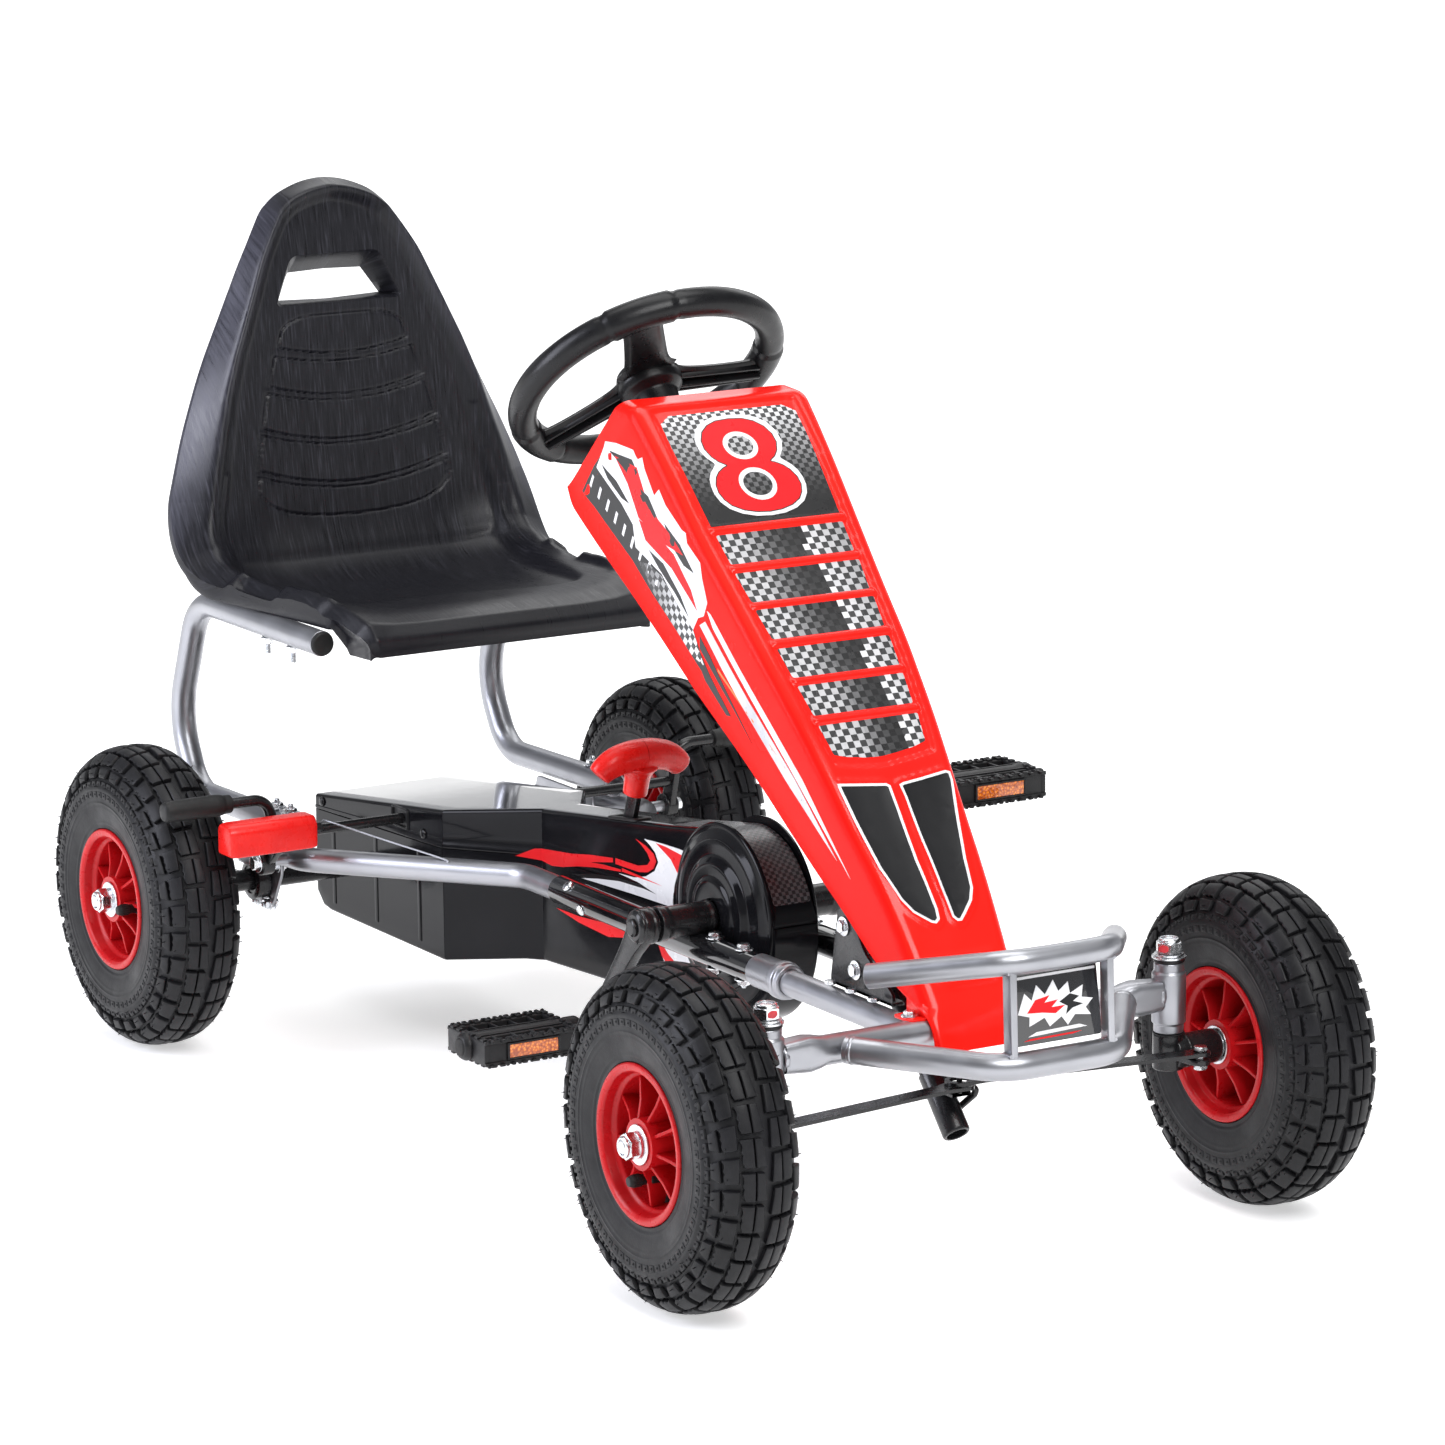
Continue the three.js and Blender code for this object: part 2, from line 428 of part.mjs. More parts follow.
// ----------------------------------------------------------------------- seat
{
  // centre line X, Z; half width; edge shift forwards and up; flange turned back
  const S = [
    [188, 354, 137, 0, 0], [192, 368, 139, 0, 1], [180, 380, 142, 0, 3], [146, 386, 146, 0, 6], [90, 383, 152, 0, 9], [30, 379, 158, 0, 12], [-26, 378, 166, 2, 15],
    [-64, 384, 175, 8, 18], [-86, 402, 181, 14, 14], [-95, 428, 179, 15, 8], [-99, 460, 171, 14, 3], [-105, 500, 158, 12, 0], [-112, 551, 136, 8, 0], [-119, 610, 107, 5, 0], [-126, 655, 86, 3, 0],
    [-134, 690, 58, 0, 0], [-142, 708, 34, 0, 0],
  ];
  const cols = [-1, -0.94, -0.6, 0, 0.6, 0.94, 1];
  const rows = S.map(([x, z, w, fx, fz], i) => {
    const a = S[Math.max(0, i - 1)], b = S[Math.min(S.length - 1, i + 1)];
    let t = V(b[0] - a[0], 0, b[1] - a[1]).normalize();
    const n = V(t.z, 0, -t.x);                       // out of the seat's face, towards the driver
    const sgn = n.z < -0.2 ? -1 : 1;
    return cols.map((c) => {
      const k = Math.abs(c), lift = k > 0.99 ? -14 : k > 0.9 ? 0 : k > 0.7 ? 1 : k > 0.4 ? -2 : -4;
      const e = Math.max(0, (k - 0.45) / 0.5);
      const up = k > 0.7 ? 1 : 0;
      return [x + (i > 2 ? n.x * sgn * lift : lift * 0.2) + fx * e * e * (up ? 1 : 0.6), c * w, z + (i > 2 ? Math.abs(n.z) * lift : 0) + fz * e * e];
    });
  });
  let m = solid(sheet(rows, 4));
  const h = new THREE.Shape([new THREE.Vector2(-60, 612), new THREE.Vector2(60, 612), new THREE.Vector2(46, 648), new THREE.Vector2(-46, 648)]);
  const cut = new THREE.ExtrudeGeometry(h, { depth: 120, bevelEnabled: false });
  cut.rotateX(Math.PI / 2);
  cut.rotateZ(Math.PI / 2);                           // shape x becomes y, depth runs along x
  cut.translate(-180, 0, 0);
  put('seat_shell', m.subtract(solid(cut)), SEAT_BLACK);
}

// ----------------------------------------------------------------- chain case
{
  const topZ = (x) => 192 + 0.128 * x;
  const profile = (d) => {
    const R = DRUM_R - d;
    return [[-62 + d, 104], [-62 + d, 172 - d], [-54 + d * 0.7, topZ(-54) - d], [480, topZ(480) - d * 1.01],
      ...arc(CRANK_X - 2, DRUM_Z, R, Math.PI / 2 + 0.10, -Math.PI / 2 - 0.05, 18), [380, 101 + d], [250, 94 + d], [180, 83.5 + d], [-40 + d, 83.5 + d]];
  };
  const plan = (d) => {
    const pts = [[-62 + d, 58 - d], [-54 + d, 70 - d], [184 - d * 0.3, 70 - d], [268 - d * 0.5, 20 - d], [700, 20 - d]];
    return [...pts, ...pts.slice().reverse().map(([x, y]) => [x, -y])];
  };
  const body = (d) => solid(plateY(profile(d), -90, 90)).intersect(solid(plateZ(plan(d), 40, 300)));
  let shell = body(0).subtract(body(3));
  shell = shell.subtract(solid(rod([0, -90, WHEEL_Z], [0, 90, WHEEL_Z], 14, 16)));
  shell = shell.subtract(solid(rod([CRANK_X, -90, CRANK_Z], [CRANK_X, 90, CRANK_Z], 30, 16)));
  shell = shell.subtract(solid(box(95, 121, -90, 90, 187.5, 202.5)));         // slots for the brake cross rod
  shell = shell.subtract(solid(box(384, 422, -16.6, -7.4, 225, 260)));        // slot for the gear lever
  // the seam between cover and lower case runs from the back up to the crank
  const seam = (x) => 172 + (CRANK_Z - 172) * (x + 62) / (CRANK_X + 62);
  const half = (up) => solid(plateY([[-120, seam(-120) + (up ? 0.15 : -0.15)], [720, seam(720) + (up ? 0.15 : -0.15)], ...(up ? [[720, 400], [-120, 400]] : [[720, 0], [-120, 0]])], -120, 120));
  put('chain_case_cover', shell.intersect(half(true)), BLACK_GLOSS);
  put('chain_case_lower', shell.intersect(half(false)), BLACK_GLOSS);

  for (const [tag, s] of [['left', 1], ['right', -1]]) {
    const o = [[62, 20.3], [60, 24], [46, 27], [32, 33], [11.6, 33.6]];
    const inn = [[11.6, 31], [30, 29.5], [57, 20.3]];
    put(`crank_dome_${tag}`, turnedY([...o, ...inn, o[0]].map(([r, h]) => [r, s * h]), 18, CRANK_X, 0, CRANK_Z), BLACK_GLOSS);
  }

  // chain drawn round both sprockets
  const loop = (r1, r2) => {
    const d = V(CRANK_X, 0, CRANK_Z - WHEEL_Z), D = Math.hypot(d.x, d.z), th = Math.atan2(d.z, d.x), al = Math.acos((r1 - r2) / D);
    return [...arc(0, WHEEL_Z, r1, th + al, th + 2 * Math.PI - al, 12), ...arc(CRANK_X, CRANK_Z, r2, th - al, th + al, 16)];
  };
  put('chain', plateY(loop(SPROCKET_R + 7, CHAINRING_R + 7), -3.5, 3.5, [loop(SPROCKET_R + 0.6, CHAINRING_R + 0.6)]), BLACK_PAINT);
  const teeth = [];
  for (let k = 0; k < 28; k++) for (const [f, r] of [[0, CHAINRING_R - 4], [0.4, CHAINRING_R]]) {
    const a = 2 * Math.PI * (k + f) / 28;
    teeth.push([CRANK_X + r * Math.cos(a), CRANK_Z + r * Math.sin(a)]);
  }
  put('chainring', plateY(teeth, -1.5, 1.5, [circle(CRANK_X, CRANK_Z, bore(CRANK_R, 14), 14)]), ZINC);
}

// ----------------------------------------------------------- crank and pedals
put('crank_axle', rod([CRANK_X, -88, CRANK_Z], [CRANK_X, 88, CRANK_Z], CRANK_R, 14), BLACK_PAINT);
for (const [tag, s] of [['left', 1], ['right', -1]]) {
  const px = CRANK_X + s * PEDAL_DX, pz = CRANK_Z + s * PEDAL_DZ;
  const a = Math.atan2(pz - CRANK_Z, px - CRANK_X);
  const arm = plateY([...arc(CRANK_X, CRANK_Z, 15, a + Math.PI / 2, a + Math.PI * 1.5, 6), ...arc(px, pz, 11, a - Math.PI / 2, a + Math.PI / 2, 6)], s > 0 ? 92 : -101, s > 0 ? 101 : -92);
  put(`crank_arm_${tag}`, union(solid(arm), solid(rod([CRANK_X, s * 88.3, CRANK_Z], [CRANK_X, s * 105, CRANK_Z], 15, 14)),
    solid(rod([px, s * 100, pz], [px, s * 218, pz], 6, 12))), BLACK_PAINT);
  let p = union(solid(box(px - 32, px + 32, s > 0 ? 126 : -214, s > 0 ? 214 : -126, pz - 11, pz + 11)),
    solid(rod([px, s * 112, pz], [px, s * 220.5, pz], 11, 12)));
  for (const q of [1, -1]) p = p.subtract(solid(box(q > 0 ? px + 12 : px - 26, q > 0 ? px + 26 : px - 12, s > 0 ? 136 : -204, s > 0 ? 204 : -136, pz - 30, pz + 30)));
  p = p.subtract(solid(rod([px, s * 105, pz], [px, s * 219.5, pz], bore(6, 12), 12)));
  put(`pedal_${tag}`, p, GRIP_BLACK);
}

// ---------------------------------------------------------------- hand brake
{
  let m = solid(rod([112, -199, 195], [112, 199, 195], 4.5, 10));
  for (const s of [1, -1]) {
    const y0 = Math.min(s * 195, s * 201), y1 = Math.max(s * 195, s * 201);
    m = union(m, solid(plateY([[BRAKE_X - 8, BRAKE_Z], [BRAKE_X + 8, BRAKE_Z - 2], [SLEEVE_X + 5, SLEEVE_Z], [SLEEVE_X - 5, SLEEVE_Z + 2]], y0, y1)),
      solid(rod([BRAKE_X, s * 193, BRAKE_Z], [BRAKE_X, s * 204, BRAKE_Z], 11, 14)),
      solid(rod([SLEEVE_X, s * 197, SLEEVE_Z], [SLEEVE_X, s * 296, SLEEVE_Z], 4.8, 10)));
    m = m.subtract(solid(rod([BRAKE_X, s * 185, BRAKE_Z], [BRAKE_X, s * 210, BRAKE_Z], bore(5, 12), 12)));
  }
  m = union(m, solid(plateY([[BRAKE_X + 9, BRAKE_Z - 1], [BRAKE_X + 14, BRAKE_Z + 1], [GRIP_X + 5, GRIP_Z - 4], [GRIP_X + 5, GRIP_Z + 5], [GRIP_X - 5, GRIP_Z + 5], [BRAKE_X + 6, BRAKE_Z + 14]], -201, -195)),
    solid(rod([GRIP_X, -166, GRIP_Z], [GRIP_X, -250, GRIP_Z], 5, 10)));
  put('brake_bar', m, BLACK_PAINT);
  for (const [tag, s] of [['left', 1], ['right', -1]]) {
    put(`brake_sleeve_${tag}`, solid(rod([SLEEVE_X, s * 236, SLEEVE_Z], [SLEEVE_X, s * 299, SLEEVE_Z], 9, 12))
      .subtract(solid(rod([SLEEVE_X, s * 230, SLEEVE_Z], [SLEEVE_X, s * 297, SLEEVE_Z], bore(4.8, 10), 10))), RUBBER);
  }
  let h = solid(box(GRIP_X - 13, GRIP_X + 13, -256, -163, GRIP_Z - 14, GRIP_Z + 14));
  h = h.subtract(solid(rod([GRIP_X, -160, GRIP_Z], [GRIP_X, -251, GRIP_Z], bore(5, 10), 10)));
  h = h.subtract(solid(box(GRIP_X - 40, GRIP_X + 8.5, -201.4, -194.6, GRIP_Z - 40, GRIP_Z + 8.5)));
  put('brake_handle', h, RED_PLASTIC);
}

// ---------------------------------------------------------------- gear lever
{
  const tx = 421, tz = 290;
  const n = V(tx - LEVER_X, 0, tz - LEVER_Z).normalize(), w = 7.5;
  const c = (x, z, k) => [x + n.z * k, z - n.x * k];
  put('gear_lever', union(solid(plateY([c(LEVER_X, LEVER_Z, w), c(tx, tz, w), c(tx, tz, -w), c(LEVER_X, LEVER_Z, -w)], LEVER_Y - 2.5, LEVER_Y + 2.5)),
    solid(rod([LEVER_X, LEVER_Y - 3.5, LEVER_Z], [LEVER_X, LEVER_Y + 3.5, LEVER_Z], 9, 12))), BLACK_PAINT);
  let k = union(
    solid(rod([421, LEVER_Y - 46, 296], [423, LEVER_Y + 1, 301], 9.5, 12, 11)),
    solid(rod([421, LEVER_Y + 46, 296], [423, LEVER_Y - 1, 301], 9.5, 12, 11)),
    solid(rod([LEVER_X + n.x * 60, LEVER_Y, LEVER_Z + n.z * 60], [422, LEVER_Y, 299], 12, 12, 12)));
  const s = plateY([c(LEVER_X, LEVER_Z, w + GAP), c(tx + n.x * 0.3, tz + n.z * 0.3, w + GAP), c(tx + n.x * 0.3, tz + n.z * 0.3, -w - GAP), c(LEVER_X, LEVER_Z, -w - GAP)], LEVER_Y - 2.8, LEVER_Y + 2.8);
  put('gear_knob', k.subtract(solid(s)), RED_PLASTIC);
}

export default root;
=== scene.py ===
# Looks of the child's pedal go kart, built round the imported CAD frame.
# Lengths in the helpers are millimetres from the rear axle (X forwards, Y to the
# driver's left, Z up from the floor); add() turns them into the row frame in metres.
import math
import random

import bmesh
import bpy
import numpy as np
from mathutils import Matrix, Vector


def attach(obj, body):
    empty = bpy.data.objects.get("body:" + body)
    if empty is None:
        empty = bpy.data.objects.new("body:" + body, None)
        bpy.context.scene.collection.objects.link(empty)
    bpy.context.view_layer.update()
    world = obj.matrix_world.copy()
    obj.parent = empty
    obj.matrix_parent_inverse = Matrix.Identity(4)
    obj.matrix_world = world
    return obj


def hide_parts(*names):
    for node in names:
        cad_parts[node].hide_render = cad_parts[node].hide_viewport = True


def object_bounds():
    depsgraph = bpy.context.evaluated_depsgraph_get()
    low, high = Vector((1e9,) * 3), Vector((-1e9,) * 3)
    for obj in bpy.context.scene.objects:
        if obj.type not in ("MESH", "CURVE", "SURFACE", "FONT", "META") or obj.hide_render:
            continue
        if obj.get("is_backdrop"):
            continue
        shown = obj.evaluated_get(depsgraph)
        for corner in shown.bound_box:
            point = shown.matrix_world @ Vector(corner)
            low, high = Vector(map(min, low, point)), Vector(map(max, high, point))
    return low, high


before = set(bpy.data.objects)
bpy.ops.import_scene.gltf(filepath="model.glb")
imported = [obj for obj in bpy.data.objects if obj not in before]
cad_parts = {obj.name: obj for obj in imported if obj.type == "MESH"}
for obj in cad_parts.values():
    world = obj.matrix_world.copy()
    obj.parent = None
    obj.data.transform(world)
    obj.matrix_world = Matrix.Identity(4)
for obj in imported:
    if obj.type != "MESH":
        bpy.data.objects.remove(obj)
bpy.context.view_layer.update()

OX = 437.6
scene = bpy.context.scene
pi = math.pi
rng = random.Random(11)


# ------------------------------------------------------------------ materials
class Mat:
    def __init__(self, name, color=None, rough=0.5, metal=0.0, coat=0.0, coat_rough=0.03, spec=0.5, sheen=0.0):
        self.m = bpy.data.materials.new(name)
        self.m.use_nodes = True
        self.nt = self.m.node_tree
        self.b = self.nt.nodes["Principled BSDF"]
        if color:
            self.b.inputs["Base Color"].default_value = (*color, 1)
        self.b.inputs["Roughness"].default_value = rough
        self.b.inputs["Metallic"].default_value = metal
        self.b.inputs["Coat Weight"].default_value = coat
        self.b.inputs["Coat Roughness"].default_value = coat_rough
        self.b.inputs["Specular IOR Level"].default_value = spec
        self.b.inputs["Sheen Weight"].default_value = sheen
        self.bump_out = None

    def node(self, kind, **kw):
        n = self.nt.nodes.new(kind)
        for k, v in kw.items():
            if k in n.inputs.keys() if hasattr(n.inputs, "keys") else False:
                n.inputs[k].default_value = v
            else:
                setattr(n, k, v)
        return n

    def link(self, a, b):
        self.nt.links.new(a, b)

    def coords(self, kind="Object", scale=(1, 1, 1)):
        t = self.nt.nodes.new("ShaderNodeTexCoord")
        mp = self.nt.nodes.new("ShaderNodeMapping")
        mp.inputs["Scale"].default_value = scale
        self.link(t.outputs[kind], mp.inputs["Vector"])
        return mp.outputs["Vector"]

    def noise(self, vec, scale, detail=3.0, rough=0.5, distort=0.0):
        n = self.nt.nodes.new("ShaderNodeTexNoise")
        n.inputs["Scale"].default_value = scale
        n.inputs["Detail"].default_value = detail
        n.inputs["Roughness"].default_value = rough
        n.inputs["Distortion"].default_value = distort
        self.link(vec, n.inputs["Vector"])
        return n.outputs["Fac"]

    def ramp(self, fac, stops):
        r = self.nt.nodes.new("ShaderNodeValToRGB")
        e = r.color_ramp.elements
        while len(e) < len(stops):
            e.new(0.5)
        for el, (p, c) in zip(e, stops):
            el.position = p
            el.color = (*c, 1) if len(c) == 3 else c
        self.link(fac, r.inputs["Fac"])
        return r.outputs["Color"]

    def span(self, fac, a0, a1, b0, b1):
        r = self.nt.nodes.new("ShaderNodeMapRange")
        for k, v in zip(("From Min", "From Max", "To Min", "To Max"), (a0, a1, b0, b1)):
            r.inputs[k].default_value = v
        self.link(fac, r.inputs["Value"])
        return r.outputs["Result"]

    def mix(self, fac, a, b, kind="MIX"):
        n = self.nt.nodes.new("ShaderNodeMix")
        n.data_type = "RGBA"
        n.blend_type = kind
        for sock, v in ((n.inputs[0], fac), (n.inputs[6], a), (n.inputs[7], b)):
            if hasattr(v, "links"):
                self.link(v, sock)
            elif isinstance(v, (tuple, list)):
                sock.default_value = (*v, 1)
            else:
                sock.default_value = v
        return n.outputs[2]

    def math(self, op, a, b=0.0):
        n = self.nt.nodes.new("ShaderNodeMath")
        n.operation = op
        for sock, v in ((n.inputs[0], a), (n.inputs[1], b)):
            if hasattr(v, "links"):
                self.link(v, sock)
            else:
                sock.default_value = v
        return n.outputs[0]

    def base(self, out):
        self.link(out, self.b.inputs["Base Color"])

    def rough(self, out):
        self.link(out, self.b.inputs["Roughness"])

    def bump(self, height, strength, distance):
        n = self.nt.nodes.new("ShaderNodeBump")
        n.inputs["Strength"].default_value = strength
        n.inputs["Distance"].default_value = distance
        self.link(height, n.inputs["Height"])
        if self.bump_out is not None:
            self.link(self.bump_out, n.inputs["Normal"])
        self.bump_out = n.outputs["Normal"]
        self.link(self.bump_out, self.b.inputs["Normal"])

    def worn(self, c0, c1, scale, r0, r1, fine=900.0, fine_amount=0.1, kind="Object", stretch=(1, 1, 1)):
        """Colour drifting between c0 and c1, roughness between r0 and r1, and a fine surface grain."""
        v = self.coords(kind, stretch)
        big = self.noise(v, scale, 4.0, 0.55, 0.2)
        self.base(self.ramp(big, [(0.3, c0), (0.7, c1)]))
        mid = self.noise(v, scale * 4.3, 4.0, 0.6)
        self.rough(self.span(mid, 0.3, 0.7, r0, r1))
        if fine_amount:
            self.bump(self.noise(v, fine, 2.0), fine_amount, 0.0004)
        return self


def make_materials():
    M = {}
    M["silver"] = Mat("silver_powder_coat", metal=0.92, rough=0.3).worn((0.33, 0.335, 0.36), (0.41, 0.415, 0.44), 9, 0.30, 0.42, 1500, 0.05)
    M["silver"].b.inputs["Coat Weight"].default_value = 0.15
    M["silver"].b.inputs["Coat Roughness"].default_value = 0.12
    M["zinc"] = Mat("bright_zinc", metal=1.0).worn((0.66, 0.68, 0.71), (0.82, 0.83, 0.84), 60, 0.14, 0.30, 2200, 0.10)
    m = Mat("zinc_brushed", metal=1.0)
    v = m.coords("Object", (1, 1, 1))
    m.base(m.ramp(m.noise(v, 45, 3), [(0.3, (0.60, 0.62, 0.66)), (0.7, (0.78, 0.79, 0.80))]))
    m.rough(m.span(m.noise(v, 160, 4), 0.3, 0.7, 0.2, 0.38))
    w = m.nt.nodes.new("ShaderNodeTexWave")
    w.wave_type = "RINGS"
    w.rings_direction = "Y"
    w.inputs["Scale"].default_value = 260
    w.inputs["Distortion"].default_value = 1.5
    m.link(v, w.inputs["Vector"])
    m.bump(w.outputs["Fac"], 0.08, 0.0003)
    M["zinc_turned"] = m
    M["black_paint"] = Mat("black_powder_coat", spec=0.32, coat=0.2, coat_rough=0.08).worn((0.006, 0.006, 0.007), (0.013, 0.013, 0.014), 22, 0.2, 0.34, 1100, 0.10)
    M["black_gloss"] = Mat("gloss_black_moulding", spec=0.6, coat=0.8, coat_rough=0.03).worn((0.0045, 0.0045, 0.0055), (0.010, 0.010, 0.012), 7, 0.05, 0.13, 260, 0.03)
    # a darker, duller copy of the gloss black for the case's side faces and the domes: painted shade, so that the sides
    # read darker than the top
    M["case_side"] = Mat("gloss_black_shaded_side", spec=0.10, coat=0.08, coat_rough=0.04).worn((0.0040, 0.0040, 0.0050), (0.0080, 0.0080, 0.0095), 7, 0.08, 0.18, 260, 0.03)
    M["black_plastic"] = Mat("black_moulded_plastic", spec=0.34).worn((0.0045, 0.0045, 0.005), (0.010, 0.010, 0.011), 30, 0.36, 0.50, 1300, 0.35)
    M["wheel_plastic"] = Mat("steering_wheel_plastic", spec=0.26).worn((0.0035, 0.0035, 0.004), (0.007, 0.007, 0.008), 18, 0.24, 0.38, 1000, 0.18)
    M["grip"] = Mat("black_rubber_sleeve", spec=0.3).worn((0.005, 0.005, 0.005), (0.010, 0.010, 0.010), 40, 0.44, 0.6, 900, 0.3)
    # tyre rubber: dull, faintly lighter and bluish in patches spread by noise, fine grain
    m = Mat("tyre_rubber", spec=0.24)
    v = m.coords()
    a = m.noise(v, 13, 5, 0.6, 0.4)
    b = m.noise(v, 120, 4, 0.6)
    c = m.ramp(a, [(0.28, (0.0038, 0.0038, 0.0044)), (0.55, (0.0062, 0.0062, 0.0072)), (0.8, (0.0100, 0.0100, 0.0122))])
    m.base(m.mix(m.span(b, 0.45, 0.8, 0.0, 0.35), c, (0.021, 0.021, 0.024)))
    m.rough(m.span(m.noise(v, 50, 4, 0.6), 0.3, 0.7, 0.38, 0.56))
    m.bump(m.noise(v, 700, 3), 0.22, 0.0004)
    m.bump(m.noise(v, 90, 3), 0.10, 0.001)
    M["rubber"] = m
    # red wheel plastic with faint flow marks round the hub
    m = Mat("red_wheel_plastic", spec=0.2, coat=0.03, coat_rough=0.15)
    v = m.coords()
    m.base(m.ramp(m.noise(v, 26, 4, 0.6, 0.6), [(0.25, (0.40, 0.005, 0.008)), (0.55, (0.46, 0.007, 0.010)), (0.8, (0.51, 0.012, 0.014))]))
    m.rough(m.span(m.noise(v, 120, 4), 0.3, 0.7, 0.24, 0.38))
    m.bump(m.noise(v, 800, 2), 0.08, 0.0003)
    M["red_plastic"] = m
    # fairing: glossy, very saturated red moulding under a thin clear skin
    m = Mat("red_gloss_moulding", spec=0.22, coat=0.16, coat_rough=0.04)
    v = m.coords()
    m.base(m.ramp(m.noise(v, 4.5, 3, 0.5, 0.3), [(0.3, (0.86, 0.009, 0.005)), (0.7, (0.94, 0.014, 0.007))]))
    m.rough(m.span(m.noise(v, 34, 4), 0.3, 0.7, 0.14, 0.26))
    m.bump(m.noise(v, 38, 2), 0.03, 0.002)
    m.bump(m.noise(v, 900, 2), 0.03, 0.0002)
    M["red_gloss"] = m
    # a darker, duller copy of the red gloss for the fairing's side faces: painted shade, so that the sides read darker
    # than the front
    M["red_side"] = Mat("red_gloss_shaded_side", spec=0.05, coat=0.03, coat_rough=0.05).worn((0.80, 0.008, 0.006), (0.88, 0.012, 0.008), 4.5, 0.2, 0.3, 900, 0.02)
    M["red_handle"] = Mat("red_handle_plastic", spec=0.3, coat=0.1, coat_rough=0.12).worn((0.62, 0.008, 0.007), (0.76, 0.014, 0.010), 30, 0.22, 0.36, 900, 0.12)
    # seat: satin blow-moulded shell with long flow streaks
    m = Mat("seat_blow_moulded", spec=0.24)
    v = m.coords("UV", (1, 1, 1))
    s = m.coords("UV", (1.0, 0.05, 1.0))
    streak = m.noise(s, 620, 4, 0.6, 0.2)
    wide = m.noise(s, 60, 4, 0.6, 0.8)
    grain = m.noise(v, 1500, 2)
    patch = m.noise(v, 9, 3)
    sep = m.nt.nodes.new("ShaderNodeSeparateXYZ")
    m.link(v, sep.inputs[0])
    upper = m.span(sep.outputs["Y"], 0.19, 0.34, 0.12, 1.0)
    face = m.mix(m.math("MULTIPLY", m.span(wide, 0.35, 0.62, 0.3, 1.0), upper), (0.0070, 0.0070, 0.0095), m.ramp(streak, [(0.36, (0.0045, 0.0045, 0.0060)), (0.54, (0.0120, 0.0120, 0.0160)), (0.70, (0.034, 0.034, 0.044))]))
    # the rolled rim is glossier than the face, and it is coloured a lighter blue-grey: a painted bluish sheen
    rim = m.span(m.math("ADD", m.math("ABSOLUTE", sep.outputs["X"]), m.math("MULTIPLY", sep.outputs["Y"], 0.4286)), 0.305, 0.325, 0.0, 1.0)
    m.base(m.mix(rim, face, m.ramp(streak, [(0.36, (0.017, 0.017, 0.026)), (0.70, (0.036, 0.036, 0.054))])))
    m.link(m.span(rim, 0.0, 1.0, 0.24, 0.62), m.b.inputs["Specular IOR Level"])
    m.rough(m.math("ADD", m.span(streak, 0.3, 0.72, 0.25, 0.44), m.span(patch, 0.3, 0.7, -0.02, 0.05)))
    m.bump(streak, 0.16, 0.0005)
    m.bump(grain, 0.10, 0.0003)
    M["seat"] = m
    M["seat_edge"] = Mat("seat_edge_plastic", spec=0.5).worn((0.010, 0.010, 0.011), (0.017, 0.017, 0.019), 14, 0.28, 0.42, 1200, 0.16)
    # decal films
    M["film_white"] = Mat("film_white", spec=0.5, coat=0.3, coat_rough=0.08).worn((0.72, 0.72, 0.74), (0.80, 0.80, 0.81), 12, 0.22, 0.3, 700, 0.02)
    M["film_black"] = Mat("film_black", spec=0.3, coat=0.1, coat_rough=0.08).worn((0.008, 0.008, 0.009), (0.014, 0.014, 0.015), 12, 0.26, 0.36, 700, 0.02)
    M["film_charcoal"] = Mat("film_charcoal", spec=0.25).worn((0.008, 0.008, 0.009), (0.013, 0.013, 0.014), 14, 0.40, 0.5, 900, 0.05)
    M["film_red"] = Mat("film_red", spec=0.1, coat=0.04, coat_rough=0.1).worn((0.66, 0.014, 0.018), (0.74, 0.020, 0.024), 12, 0.26, 0.34, 700, 0.02)
    M["film_orange"] = Mat("film_orange", spec=0.5).worn((0.75, 0.16, 0.03), (0.80, 0.20, 0.04), 30, 0.3, 0.4, 700, 0.02)
    M["film_silver"] = Mat("film_silver", spec=0.5, metal=0.35).worn((0.42, 0.43, 0.46), (0.72, 0.73, 0.76), 26, 0.26, 0.36, 700, 0.02)
    # printed checks: each cell carries its own shade
    m = Mat("film_checks", spec=0.3, coat=0.12, coat_rough=0.08)
    at = m.nt.nodes.new("ShaderNodeAttribute")
    at.attribute_name = "shade"
    v = m.coords()
    m.base(m.mix(m.span(m.noise(v, 300, 3), 0.3, 0.7, 0.0, 0.12), at.outputs["Color"], (0.02, 0.02, 0.022), "MIX"))
    m.rough(m.span(m.noise(v, 90, 3), 0.3, 0.7, 0.24, 0.34))
    m.bump(m.noise(v, 700, 2), 0.02, 0.0002)
    M["film_checks"] = m
    # amber reflector: prismatic cells behind a clear face
    m = Mat("amber_reflector", spec=0.6, coat=0.8, coat_rough=0.03)
    v = m.coords("Object", (1, 1, 1))
    vo = m.nt.nodes.new("ShaderNodeTexVoronoi")
    vo.inputs["Scale"].default_value = 420
    m.link(v, vo.inputs["Vector"])
    m.base(m.ramp(vo.outputs["Distance"], [(0.1, (0.95, 0.30, 0.02)), (0.45, (0.55, 0.12, 0.01)), (0.8, (0.30, 0.05, 0.005))]))
    m.rough(m.span(m.noise(v, 60, 2), 0.3, 0.7, 0.10, 0.22))
    m.bump(vo.outputs["Distance"], 0.5, 0.0006)
    M["amber"] = m
    M["lock_red"] = Mat("thread_lock_paint", spec=0.5).worn((0.45, 0.02, 0.03), (0.62, 0.04, 0.05), 300, 0.3, 0.5, 800, 0.4)
